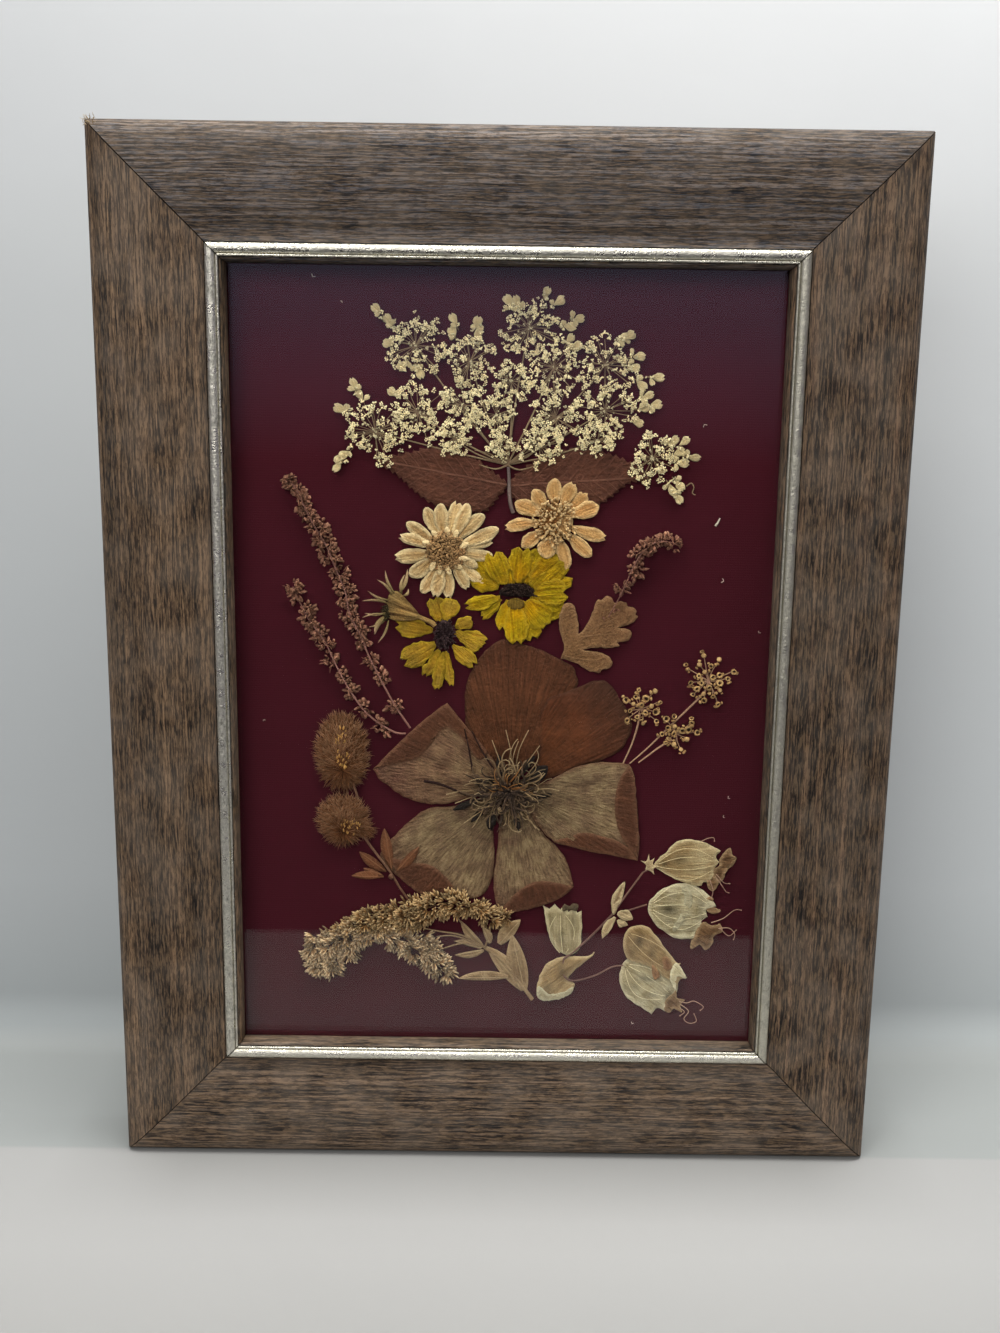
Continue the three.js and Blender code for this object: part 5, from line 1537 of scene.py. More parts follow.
# The dock spikes: valves crowd in whorls along each line.
dock = {
    "spikes": {
        "tall": {
            "thick": (.3, .46),
            "line": [
                (-46, 41), (-44, 38.5), (-41.5, 33), (-38, 27), (-36, 22), (-34, 17), (-33, 12),
                (-30.5, 7), (-29, 3), (-25.5, -4), (-23, -8.5), (-20, -13),
            ],
            "lift": .9, "packedAbove": 8.5,
            "whorls": [(-30.5, 6.3), (-28.5, 2), (-26.5, -1.9), (-23.3, -8.1)],
        },
        "short": {
            "thick": (.3, .46),
            "line": [
                (-45.3, 18), (-44, 15), (-42, 11), (-38.5, 6), (-36, .5), (-33, -5), (-30, -9.3),
                (-26.5, -12.3), (-23, -14.2), (-21, -14.3),
            ],
            "lift": .8,
            "whorls": [
                (-45.2, 18), (-44.8, 16.5), (-42.4, 12.6), (-42, 11), (-41, 9), (-39.4, 7), (-38, 5),
                (-37.3, 2), (-34.5, -1.5), (-33, -5), (-29.8, -8.8), (-26.8, -12.5),
            ],
        },
        "right": {
            "thick": (.26, .22),
            "line": [(22.7, 12.5), (25.5, 18), (28, 24), (30, 27), (33, 29), (37, 28.5)], "lift": 1.9,
            "whorls": [
                (25.5, 19.4), (28.5, 22.6), (28.2, 25.8), (30.6, 27.6), (31.8, 28.6), (34, 29),
                (36.6, 28.2),
            ],
        },
    },
    "looks": {
        "dockValve": {
            "colours": [(124, 76, 58), (176, 122, 96), (208, 158, 124)], "shadow": (104, 64, 54),
            "fibre": (4, 1), "streak": .5, "blotch": (136, 92, 82), "blotchAmount": .5,
            "toneRange": (.6, 1.25), "blotchSize": 1.4,
        },
        "dockStem": {
            "colours": [(132, 92, 80), (150, 108, 96), (156, 112, 98)], "blotch": (112, 74, 64),
            "rough": .75,
        },
    },
}


def buildDock():
    dried = tissues(dock["looks"])
    heart = [(0, 0), (.3, -.45), (.75, -.62), (1.1, -.3), (1.15, .2), (.8, .62), (.3, .45)]
    forms = [lobedForm("valveThree", heart, 3, .5, .13, seed=1),
             lobedForm("valveTwo", heart, 2, .9, .16, spread=2.6, seed=2),
             lobedForm("valveFold", [(p[0] * .8, p[1] * .7) for p in heart], 4, 1.1, .16, seed=3)]
    for name, d in dock["spikes"].items():
        chance = random.Random(len(name) * 7)
        line = curvedLine(d["line"], d["lift"] + .5, 1.0, .1)
        spots = []

        def clump(x, y, count, spread):
            for _ in range(count):
                a = chance.uniform(0, tau)
                r = spread * sqrt(chance.random())
                spots.append((x + r * cos(a), y + r * sin(a), d["lift"] + chance.uniform(-.35, .25),
                              (cos(a) * .8, sin(a) * .8, chance.uniform(.3, 1)), chance.uniform(.6, 1.0),
                              chance.random(), chance.choice((0, 1, 2))))

        if "packedAbove" in d:
            packed = [p for p in line if p[1] > d["packedAbove"]]
            for i, (x, y, _) in enumerate(packed):
                clump(x + chance.gauss(0, .3), y, 6, .9 + .65 * min(1, i / 9) + .2 * sin(i * 1.3))
        for x, y in d["whorls"]:
            clump(x, y, 10, 1.3)
            clump(x + chance.gauss(0, .5), y + chance.gauss(0, .5), 2, 1.2)
        for x, y, _ in line[::3]:
            if y > 0:
                clump(x + chance.gauss(0, .5), y + chance.gauss(0, .5), 1, .5)
        top = threadPiece("stem", [(line, *d["thick"], .8)], dried["dockStem"], 7)
        valves = scatterPiece("valves", spots, forms, dried["dockValve"], 3)
        standIn(joined("dock_spike_%s_dry" % name, [valves, top]), "spike_brown", "dock_spike_" + name)
    drop(forms)


# The lobed leaf.
lobedLeaf = {
    "outline": [
        (12.7, 2.9, 1), (13.4, 5.5), (12.4, 9), (12.2, 12), (13, 14.6), (14.3, 15.3), (15.4, 14.6),
        (16.3, 11), (16.4, 8.3, 1), (18.3, 10.6), (19.6, 14), (20.3, 16.1), (21.2, 16.0), (22.2, 16.8),
        (23.4, 16.6), (24, 15.4), (25.3, 15.8), (26.6, 15.4), (26.9, 14.6), (28.2, 14.4), (28.9, 13.5),
        (28.6, 12.9), (29.2, 12.4), (28, 11), (26.4, 10.4), (24.8, 9.9, 1), (26.6, 9.8), (27.8, 9.2),
        (27.9, 8), (27, 7), (25.6, 6.9), (24.9, 6.6), (25.3, 5.9), (23, 5.5), (20, 5.5), (17.2, 5, 1),
        (20.3, 4.6), (22.6, 3.9), (24, 2.6), (23.6, 1.2), (22, .6), (21.5, .3), (21, -.1), (18.5, .5),
        (15.5, 2.2),
    ],
    "ribs": [
        [(12.8, 3), (14.6, 6.2), (14.7, 10), (14.3, 14)],
        [(14.4, 5.4), (18, 8), (21.4, 12), (22.4, 15.6)], [(17.6, 7.8), (21, 8.4), (25.6, 8.6)],
        [(19.6, 9.8), (24, 11.8), (27.8, 12.8)], [(13.6, 3.6), (17, 2.9), (22.8, 2.2)],
        [(20.6, 11), (21.2, 13.4), (20.8, 15.2)], [(21.6, 12.6), (24.2, 14.2), (25.6, 14.9)],
    ],
    "looks": {
        "leafTan": {
            "colours": [(134, 98, 62), (154, 114, 76), (146, 106, 72)], "shadow": (126, 96, 70),
            "fibre": (2.4, .9), "streak": .55, "blotch": (100, 72, 48), "blotchAmount": .6,
            "blotchSize": 3.5, "rim": (150, 114, 80), "relief": .9,
        },
        "leafRib": {"colours": [(146, 110, 78), (140, 104, 72)], "blotch": (120, 88, 58)},
    },
}


def buildLobedLeaf():
    dried = tissues(lobedLeaf["looks"])
    form = {"lift": 1.0, "dome": .22, "wrinkle": .24, "grain": (.4, .4), "curl": .25}
    leaf = pressedSheet("leaf", ragged(smoothLine(lobedLeaf["outline"], .3, True), .24, 1.1, 2),
                        dried["leafTan"], (12.8, 3), (26, 12), form, .65, .12, .6, seed=5)
    ribs = threadPiece("ribs", [(curvedLine(p, 1.2, 1), .26, .1, .7) for p in lobedLeaf["ribs"]],
                       dried["leafRib"], 5)
    standIn(joined("lobed_leaf_dry", [leaf, ribs]), "leaf_tan", "lobed_leaf")


# The large clematis: outlines of its six sepals, with the folds that lie over them.
clematis = {
    "heart": (2, -27),
    "sepals": [
        {
            "look": "sepalBrown", "lift": .35, "tone": .5,
            "loop": [
                (1, -24), (-2, -20), (-7.2, -14), (-8, -9), (-7.8, -3.5), (-6.2, .6), (-3.4, 4.6),
                (-.4, 6.7), (2.8, 6.2), (7, 5.2), (12, 3), (15.2, 1.2), (16.2, -.6), (16.4, -3.6),
                (12, -10), (8, -20),
            ],
            "folds": [],
        },
        {
            "look": "sepalOrange", "lift": .75, "tone": .55,
            "loop": [
                (5, -26), (8.3, -20), (8.2, -14), (8.8, -9), (10.6, -6), (14, -4.6), (17, -3.4),
                (20, -2.1), (22.6, -2), (24.4, -3.6), (26, -6), (28.2, -9.6), (28.6, -13.5),
                (26.2, -17.6), (22, -20), (17, -21.6), (12, -23.8),
            ],
            "folds": [],
        },
        {
            "look": "sepalTaupe", "lift": .95, "tone": .75,
            "loop": [
                (4, -27), (9, -25.6), (13, -23.4), (17, -21.5), (22, -20.4), (28.4, -20.7, 1),
                (29.6, -23.4), (30.4, -30), (31.2, -38), (31, -43, 1), (25.4, -41.7), (19, -40.6),
                (14, -39.6), (11.6, -38.4), (8.8, -35.4),
            ],
            "folds": [
                (
                    "sepalFold",
                    [
                        (28.4, -20.8, 1), (26.4, -24), (25.5, -28), (25.7, -33), (27, -37), (28.6, -39.6),
                        (31, -42.8, 1), (30.9, -37), (30.1, -29), (29.4, -23.6),
                    ],
                ),
                (
                    "sepalFold",
                    [
                        (12, -38.8, 1), (15.4, -37.6), (19, -36.6), (22.5, -37.3), (26, -38.4),
                        (29, -40.2), (31, -43, 1), (25.4, -41.8), (19, -40.7),
                    ],
                ),
            ],
        },
        {
            "look": "sepalTaupe", "lift": .6, "tone": .7,
            "loop": [
                (.8, -29), (-.4, -40), (-1.2, -48), (-.8, -53), (.2, -55.4), (3, -55.9), (10, -54),
                (14.8, -51.6), (16.8, -49.6, 1), (16, -46), (14.8, -43), (12.8, -40.2), (10.6, -38.2),
                (9, -36), (5.6, -30),
            ],
            "folds": [
                (
                    "sepalFold",
                    [
                        (.6, -55.2, 1), (2.4, -52.8), (5, -50.2), (8, -48.5), (11.6, -48.4),
                        (16.8, -49.5, 1), (14.6, -51.8), (10, -54), (3, -55.8),
                    ],
                ),
            ],
        },
        {
            "look": "sepalTaupe", "lift": .35, "tone": .6,
            "loop": [
                (-1.5, -28), (-6, -30.4), (-10, -31), (-16, -31.8), (-20.4, -35), (-23.8, -38.6),
                (-26.6, -42.6), (-26, -45), (-23.5, -47.2), (-18, -51.6), (-15, -52.4), (-9.4, -52.8),
                (-4, -52.2), (-1.6, -48), (-1.1, -42), (-1.4, -36), (.4, -31),
            ],
            "folds": [
                (
                    "sepalFold",
                    [
                        (-24.6, -43.2, 1), (-20.4, -44.3), (-16, -44.8), (-12.6, -47), (-10.4, -50.4),
                        (-13.6, -52.6, 1), (-18, -51.5), (-22.4, -47.8),
                    ],
                ),
            ],
        },
        {
            "look": "sepalGrey", "lift": .75, "tone": .65,
            "loop": [
                (-1, -21.4), (-3.6, -17.8), (-8, -12.4), (-11.9, -7.3, 1), (-16.5, -11), (-22, -16.2),
                (-28.2, -22.6, 1), (-27, -24.6), (-25.2, -26.3), (-21.4, -28.9), (-17, -30.4),
                (-12, -30.5), (-8, -29.2), (-1, -27),
            ],
            "folds": [
                (
                    "sepalFold",
                    [
                        (-28, -22.4, 1), (-23.4, -21.3), (-18.4, -19.8), (-16, -17.4), (-13.6, -14),
                        (-11.8, -12.6, 1), (-8.6, -15.2), (-5.2, -20), (-3.2, -19), (-3.4, -17.6),
                        (-8, -12.2), (-11.9, -7.4, 1), (-16.5, -10.8), (-22, -16),
                    ],
                ),
            ],
        },
    ],
    "shards": [
        ((5, -25.4), (10.4, -21.2), 3.6), ((3.6, -23.8), (7.4, -18.8), 1.7),
        ((-1, -31.2), (-2.4, -36.2), 2.0), ((-3.6, -28.6), (-10.4, -31.4), 1.7),
        ((-2, -30), (-6.6, -34.4), 1.5), ((.2, -23.8), (-.6, -18.6), 1.5),
        ((2.6, -31), (4.6, -36.4), 1.4), ((6.4, -28.4), (11.4, -27.6), 1.3),
    ],
    "pale": 62, "dark": 96, "leftward": 16, "amber": 14, "beads": 200,
    "reaching": [
        (1, -13), (6, -13), (8.5, -16.5), (-10, -30), (-12, -28), (-2, -15.4), (3.8, -15.6), (9.8, -22.8),
        (-8, -34.6), (8, -35.6),
    ],
    "slits": [
        [(-17, -25.1), (-14, -25.6), (-11, -26.7), (-7.6, -28.2)],
        [(-8.1, -13), (-7.2, -17), (-6.2, -22.6)], [(-6.4, -13.6), (-4.2, -18), (-1.6, -22)],
        [(-1.8, -36.5), (-1.4, -34), (-.6, -31.5)], [(1.6, -34), (2.6, -36), (3.4, -38.6)],
    ],
    "looks": {
        "sepalBrown": {
            "colours": [(84, 48, 28), (108, 65, 38), (112, 68, 42), (102, 62, 40)],
            "shadow": (90, 62, 46), "fibre": (2.8, .12), "streak": .6, "blotch": (76, 46, 30),
            "blotchAmount": .6, "blotchSize": 5, "rim": (74, 46, 32), "relief": .9,
        },
        "sepalOrange": {
            "colours": [(72, 40, 24), (116, 66, 32), (110, 62, 35), (80, 52, 38)], "shadow": (96, 64, 44),
            "fibre": (2.8, .12), "streak": .55, "blotch": (76, 46, 32), "blotchAmount": .65,
            "blotchSize": 6, "rim": (68, 42, 30), "relief": .9,
        },
        "sepalTaupe": {
            "colours": [(108, 86, 58), (158, 136, 100), (168, 144, 106), (132, 102, 78)],
            "shadow": (112, 84, 66), "fibre": (2.9, .34), "streak": .8, "blotch": (104, 74, 60),
            "blotchAmount": .75, "blotchSize": 3.4, "rim": (104, 70, 50), "relief": 1.0,
        },
        "sepalGrey": {
            "colours": [(112, 86, 60), (164, 136, 100), (150, 118, 88), (124, 90, 72)],
            "shadow": (112, 84, 64), "fibre": (2.9, .34), "streak": .8, "blotch": (108, 72, 58),
            "blotchAmount": .75, "blotchSize": 3.4, "rim": (104, 68, 48), "relief": 1.0,
        },
        "sepalFold": {
            "colours": [(100, 60, 36), (106, 66, 42), (94, 58, 40)], "shadow": (100, 70, 56),
            "fibre": (2.2, .16), "streak": .5, "blotch": (78, 50, 36), "blotchAmount": .65,
            "blotchSize": 4, "rim": (118, 82, 60), "relief": .9,
        },
        "sepalSlit": {"colours": [(46, 28, 24), (54, 34, 28)]},
        "stamenPale": {
            "colours": [(84, 64, 44), (146, 120, 86), (184, 158, 120)], "toneRange": (.4, 1.15),
            "blotchSize": 2,
        },
        "stamenDark": {
            "colours": [(48, 37, 30), (72, 56, 43), (118, 94, 70)], "toneRange": (.35, 1.5),
            "blotchSize": 2,
        },
        "stamenAmber": {
            "colours": [(96, 62, 34), (150, 100, 52), (190, 146, 92)], "toneRange": (.6, 1.2),
            "blotchSize": 2,
        },
        "stamenShard": {
            "colours": [(36, 30, 27), (42, 35, 30), (34, 28, 26)], "shadow": (28, 22, 19),
            "blotch": (54, 44, 36),
        },
    },
}


def buildSepals(dried):
    heart = clematis["heart"]
    for n, s in enumerate(clematis["sepals"]):
        loop = ragged(smoothLine(s["loop"], .6, True), .22, 1.6, n)
        tip = max(loop, key=lambda p: (p[0] - heart[0]) ** 2 + (p[1] - heart[1]) ** 2)
        taupe = s["look"] in ("sepalTaupe", "sepalGrey")
        form = {"lift": s["lift"], "dome": .2, "creases": 4 if taupe else 2,
                "crease": .09 if taupe else .05, "reach": 1.6, "wrinkle": .34,
                "grain": (.5, .14) if taupe else (.3, .2), "curl": .24}
        parts = [pressedSheet("sepal", loop, dried[s["look"]], heart, tip, form, .75, .13, s["tone"],
                              fan=3, seed=n + 1)]
        for k, (look, fold) in enumerate(s["folds"]):
            line = ragged(smoothLine(fold, .6, True), .15, 1.5, n + k)
            over = {"lift": s["lift"] + .42 + .05 * k, "dome": .14, "wrinkle": .14, "grain": (.25, .1),
                    "curl": .15}
            parts.append(pressedSheet("fold", line, dried[look], heart, tip, over, .7, .12, .45 + .2 * k,
                                      fan=3, seed=n + 5 + k))
        # dark lines in the creases and slits: partly dark tissue, partly painted shadow in the gaps
        if n in (4, 5):
            for k, slit in enumerate(clematis["slits"][:3] if n == 5 else clematis["slits"][3:4]):
                line = [(x, y, s["lift"] + .58) for x, y in smoothLine(slit, .8)]
                parts.append(threadPiece("slit", [(line, .25 + .4 * (k == 0), .5, .5)], dried["sepalSlit"], 6))
        slotName = "sepal_taupe" if taupe else "sepal_brown"
        standIn(joined("clematis_sepal_%d_dry" % (n + 1), parts), slotName, "clematis_sepal_%d" % (n + 1))


def buildStamens(dried):
    chance = random.Random(31)
    cx, cy = clematis["heart"]
    lines = {"pale": [], "dark": [], "amber": []}

    def filament(angle, start, reach, curl, lift, width, kind):
        x, y = cx + start * cos(angle), cy + start * sin(angle)
        heading, points = angle + chance.gauss(0, .55), []
        steps = 9
        for i in range(steps + 1):
            points.append((x, y, lift + .35 * sin(pi * i / steps) + .12 * sin(i * 1.7)))
            heading += curl * (i / steps) ** 1.5 + chance.gauss(0, .07)
            x += reach / steps * cos(heading)
            y += reach / steps * sin(heading)
        lines[kind].append((points, width, width * .55, chance.random()))

    for _ in range(clematis["pale"]):
        filament(chance.uniform(0, tau), chance.uniform(1.8, 5.2), chance.uniform(3.4, 8.2),
                 chance.gauss(0, 1.0), chance.uniform(1.6, 2.2), chance.uniform(.26, .42), "pale")
    for _ in range(clematis["dark"]):
        filament(chance.uniform(0, tau), chance.uniform(.4, 4.2), chance.uniform(2.6, 6.4),
                 chance.gauss(0, .45), chance.uniform(1.2, 2.0), chance.uniform(.34, .74), "dark")
    for _ in range(clematis["leftward"]):
        filament(pi + chance.gauss(.25, .4), chance.uniform(2, 6), chance.uniform(4, 7),
                 chance.gauss(0, .3), chance.uniform(1.3, 1.9), chance.uniform(.4, .8), "dark")
    for _ in range(clematis["amber"]):
        filament(pi / 2 + chance.gauss(0, .9), chance.uniform(.3, 2.4), chance.uniform(2.4, 5.0),
                 chance.gauss(0, .3), chance.uniform(1.7, 2.1), chance.uniform(.26, .4), "amber")
    for ex, ey in clematis["reaching"]:  # the longest filaments lie over the sepals
        sx, sy = cx + (ex - cx) * .3, cy + (ey - cy) * .3
        mid = ((sx + ex) / 2 + chance.uniform(-1, 1), (sy + ey) / 2 + chance.uniform(-1, 1))
        lines["pale"].append((curvedLine([(sx, sy), mid, (ex, ey)], 1.85, .9), .3, .2, .9))
    shards = []
    for n, (base, end, width) in enumerate(clematis["shards"]):
        loop = ragged(petalLoop(base, end, width, 1.2, .7, steps=7), .35, .8, n)
        shards.append(pressedSheet("shard", loop, dried["stamenShard"], base, end,
                                   {"lift": 1.75, "dome": .2, "wrinkle": .3, "curl": .3}, .5, .1, .5,
                                   seed=n + 2))
    core = pressedSheet("core", ragged(roundLoop(cx + .6, cy - .8, 3.9, 3.7, .3, 21), 1.0, 1.0, 2),
                        dried["stamenDark"], (cx, cy), (cx + 4, cy),
                        {"lift": 1.15, "dome": .35, "wrinkle": .3, "grain": (1, 1)}, .5, .2, .4)
    bead = [turnedBit("anther", [(0, 0), (.16, .15), (.18, .5), (0, .75)], 5, .1, .2, 2)]
    spots = [(x, y, 1.5 + .4 * (1 - r), (cos(a), sin(a), chance.uniform(.2, 1.2)), chance.uniform(.6, 1.2),
              chance.random(), 0)
             for x, y, a, r in ringSpots(clematis["beads"], (cx + .6, cy - .6), 3.4, 3.3, chance)]
    parts = [core, scatterPiece("beads", spots, bead, dried["stamenDark"])] + shards
    parts += [threadPiece(kind, lines[kind], dried["stamen" + kind.capitalize()], 5) for kind in lines]
    standIn(joined("clematis_stamens_dry", parts), "stamen_brown", "clematis_stamens")
    drop(bead)


def buildClematis():
    dried = tissues(clematis["looks"])
    buildSepals(dried)
    buildStamens(dried)


# The seed umbels: each fruit is a pale ring round a dark hollow.
seedUmbels = {
    "umbels": {
        "top": {
            "hub": (45, -1.5),
            "stem": [(44.2, -4.0), (43.3, -5.3), (40, -8.8), (36, -13), (32, -17.2), (28.5, -20.5)],
            "lift": 1.3,
            "fruits": [
                (43.8, 4.2), (47.2, 3.2), (43, 2), (40.3, 1.2), (45.5, 1.8), (44.2, .5), (47.3, 0),
                (42.8, -.4), (45.8, -.5), (49.2, -1), (41, -2), (43.7, -2), (47.5, -2), (42.5, -3.2),
                (45.2, -2.9), (47.5, -3.6), (44, -4.3), (41.8, -4.7), (44.3, -5.9), (47.3, -6.6),
                (50.5, .8), (46.2, -4.9),
            ],
        },
        "left": {
            "hub": (30.5, -8), "stem": [(30.3, -9), (30, -11.5), (28.8, -16), (27, -20.5)], "lift": 1.45,
            "fruits": [
                (27, -6), (29.2, -5.2), (29.8, -3.6), (31.7, -5.6), (33.5, -4), (30.6, -6.9),
                (34.5, -6.3), (32.7, -7.2), (28.9, -6.9), (28, -8.4), (31.6, -8.6), (33.7, -8.6),
                (29.8, -9.8), (27.5, -10.5), (31, -11), (34, -10.6),
            ],
        },
        "low": {
            "hub": (38.5, -13.5), "stem": [(37.6, -14.8), (34.6, -16.8), (30.4, -20.2)], "lift": 1.6,
            "fruits": [
                (36.5, -12), (38.1, -11.6), (36, -10), (37.7, -9.6), (37.8, -13.4), (35.3, -13.5),
                (39.8, -12.5), (41.2, -12.4), (41.8, -10.8), (43, -13), (40.8, -14.4), (36.2, -15.3),
                (38.2, -15.8), (39.6, -17),
            ],
        },
    },
    "looks": {
        "seedStraw": {
            "colours": [(122, 86, 54), (190, 148, 94), (228, 192, 134)], "shadow": (110, 74, 50),
            "fibre": (3, 2), "streak": .4, "blotch": (150, 108, 66), "toneRange": (.7, 1.2),
            "blotchSize": 1.6,
        },
        "seedHollow": {"colours": [(36, 24, 20), (60, 40, 32)], "blotchSize": 1},
        "seedRay": {"colours": [(172, 132, 106), (186, 148, 116)], "toneRange": (.75, 1.15)},
    },
}


def buildSeedUmbels():
    dried = tissues(seedUmbels["looks"])
    rim = [turnedBit("cupRound", [(.34, .05), (.66, 0), (.84, .25), (.74, .5), (.5, .56), (.36, .34)],
                     10, .15, .24, 1, True),
           turnedBit("cupOpen", [(.42, .05), (.72, 0), (.88, .35), (.72, .56), (.56, .5), (.46, .3)],
                     9, .2, .3, 2, True),
           turnedBit("seedPlump", [(0, 0), (.5, .08), (.66, .35), (.5, .6), (.2, .72), (0, .6)],
                     8, .1, .14, 3)]
    pit = [turnedBit("pit", [(0, 0), (.46, .05), (.44, .2), (0, .24)], 8, 0, .05, 1)]
    for n, (name, d) in enumerate(seedUmbels["umbels"].items()):
        chance = random.Random(n + 50)
        lift = d["lift"]
        lines = [(curvedLine(d["stem"], lift - .2, .9, .1), .52, .3, .8)]
        rims, pits = [], []
        for x, y in d["fruits"]:
            elbow = ((x + d["hub"][0]) / 2 + chance.uniform(-.4, .4), (y + d["hub"][1]) / 2)
            lines.append((curvedLine([d["hub"], elbow, (x, y)], lift - .25, .8, .1), .26, .2,
                          chance.uniform(.3, 1)))
            aim = (chance.gauss(0, .35), chance.gauss(0, .35), 1)
            pick, size = chance.choice((0, 1, 1, 2)), chance.uniform(.66, 1.0)
            rims.append((x, y, lift + .05, aim, size, chance.random(), pick))
            if pick < 2:
                pits.append((x, y, lift + .08, aim, size * .85, chance.random(), 0))
            for _ in range(chance.choice((1, 2, 2))):
                a = chance.uniform(0, tau)
                rims.append((x + .75 * cos(a), y + .75 * sin(a), lift - .05, (cos(a), sin(a), .6),
                             chance.uniform(.4, .72), chance.random(), chance.choice((1, 2, 2))))
        for x, y, a, _ in ringSpots(9, d["hub"], 3, 3, chance):
            rims.append((x, y, lift - .1, (cos(a), sin(a), .8), chance.uniform(.35, .6), chance.random(),
                         2))
        parts = [threadPiece("rays", lines, dried["seedRay"], 5),
                 scatterPiece("rims", rims, rim, dried["seedStraw"], n + 1),
                 scatterPiece("pits", pits, pit, dried["seedHollow"], n + 1)]
        standIn(joined("seed_umbel_%s_dry" % name, parts), "seed_tan", "seed_umbel_" + name)
    drop(rim + pit)


# The hare's-foot clover. core: middle and half sizes of the golden florets in the fur.
clover = {
    "upper": {
        "at": (-35, -18.6), "reach": (5.6, 8.9), "hairs": 2700, "golden": 44,
        "core": (-34.9, -19, 1.9, 6.4),
    },
    "lower": {
        "at": (-34.9, -34.4), "reach": (5.3, 5.5), "hairs": 1800, "golden": 26,
        "core": (-33.2, -35.8, 2.6, 2.4),
    },
    "stems": [
        [(-32.8, -25.5), (-32, -28), (-31.4, -30.2)],
        [(-32.4, -35), (-31, -37.3), (-28.5, -41), (-24.5, -46.5), (-22.5, -50), (-20.3, -53.3)],
    ],
    "leaflets": [
        ((-24, -46.4), (-25.8, -36.4), 2.6), ((-23.5, -46.8), (-18, -40.5), 2.1),
        ((-25, -46.8), (-31.4, -41.9), 2.4), ((-25.5, -47.8), (-33.2, -47.6), 1.9),
        ((-26, -47.4), (-30.5, -45.8), 1.5),
    ],
    "looks": {
        "cloverFur": {
            "colours": [(112, 66, 36), (150, 98, 60), (196, 156, 120)], "toneRange": (.55, 1.15),
            "blotchSize": 2.5, "blotch": (116, 72, 44),
        },
        "cloverCore": {
            "colours": [(96, 58, 32), (118, 74, 44)], "blotch": (84, 54, 34), "toneRange": (.6, 1.3),
        },
        "cloverGold": {"colours": [(196, 138, 66), (228, 180, 106)], "toneRange": (.7, 1.2)},
        "cloverLeaf": {
            "colours": [(100, 62, 38), (122, 74, 46), (120, 76, 50)], "shadow": (104, 68, 50),
            "fibre": (2.2, .2), "streak": .4, "blotch": (104, 70, 46), "vein": (124, 84, 58),
            "veinMap": (1.3, .9, .1), "rim": (92, 58, 38),
        },
        "cloverStem": {"colours": [(140, 104, 82), (120, 84, 64)], "blotch": (96, 66, 50)},
    },
}


def buildClover():
    dried = tissues(clover["looks"])
    hairForm = [turnedBit("furStraight", [(.045, 0), (.036, .55), (0, 1.0)], 3, .12, 0, 1),
                turnedBit("furBent", [(.045, 0), (.036, .55), (0, 1.0)], 3, .4, 0, 2)]
    floret = [turnedBit("cloverFloret", [(0, 0), (.22, .15), (.26, .6), (.12, 1.1), (0, 1.3)],
                        5, .2, .1, 3)]
    for name in ("upper", "lower"):
        d = clover[name]
        chance = random.Random(d["hairs"])
        cx, cy = d["at"]
        rx, ry = d["reach"]
        ring = roundLoop(cx, cy, rx * .8, ry * .84, .3, 21)
        form = {"lift": .9, "dome": .6, "reach": 1.8, "wrinkle": .3, "grain": (1, 1)}
        body = pressedSheet("body", ragged(ring, .5, 1.5, 3), dried["cloverCore"], (cx, cy - ry),
                            (cx, cy + ry), form, .6, .5, .35)
        hairs, golden = [], []
        for x, y, _, r in ringSpots(d["hairs"], (cx, cy), rx * .86, ry * .86, chance, .62):
            low = cy - ry * .5  # the hairs fan out from the foot of the head
            way = Vector((x - cx, (y - low) * .75)) if y > low else Vector((x - cx, (y - low) * .9))
            way = way.normalized() if way.length > .01 else Vector((0, 1))
            aim = (way.x + chance.gauss(0, .2), way.y + chance.gauss(0, .2), .14 + .25 * (1 - r))
            length = chance.uniform(1.5, 2.7)
            hairs.append((x, y, 1.05 + .75 * (1 - r * r) + chance.uniform(-.2, .1), aim, length,
                          chance.betavariate(1.6, 1.6), chance.choice((0, 1))))
        coreX, coreY, cw, ch = d["core"]
        for x, y, _, _ in ringSpots(d["golden"], (coreX, coreY), cw * .8, ch * .9, chance):
            aim = (chance.gauss(0, .3), .9, .3)
            golden.append((x, y, 1.95, aim, chance.uniform(.6, .95), chance.random(), 0))
        parts = [body, scatterPiece("fur", hairs, hairForm, dried["cloverFur"], 4),
                 scatterPiece("gold", golden, floret, dried["cloverGold"], 5)]
        if name == "lower":
            tuft = [(x, y, 1.3, (1, chance.gauss(-.1, .35), .2), chance.uniform(1.6, 2.6), chance.random(), 1)
                    for x, y, _, _ in ringSpots(110, (-30.6, -36.6), 1.6, 1.5, chance)]
            parts.append(scatterPiece("tuft", tuft, hairForm, dried["cloverFur"], 6))
        standIn(joined("clover_head_%s_dry" % name, parts), "clover_fur", "clover_head_" + name)
    parts = [threadPiece("stem", [(curvedLine(p, .9, 1, .15), .6, .5, .7) for p in clover["stems"]],
                         dried["cloverStem"], 7)]
    for n, (base, end, width) in enumerate(clover["leaflets"]):
        tone = 1.0 if n == 3 else .5
        form = {"lift": .8 + .12 * (n % 2), "dome": .22, "reach": .5, "wrinkle": .15, "curl": .25}
        parts.append(pressedSheet("leaflet", petalLoop(base, end, width, 1.15, .8, bow=.3 * (-1) ** n),
                                  dried["cloverLeaf"], base, end, form, .45, .12, tone, seed=n + 2))
    node = [turnedBit("node", [(0, 0), (.7, .3), (.8, .8), (.4, 1.3), (0, 1.4)], 8, 0, .15, 3)]
    parts.append(scatterPiece("joint", [(-24.2, -47.6, .6, (0, 0, 1), .85, .4, 0)], node,
                              dried["cloverStem"]))
    standIn(joined("clover_stem_dry", parts), "leaf_pale", "clover_stem")
    drop(hairForm + floret + node)


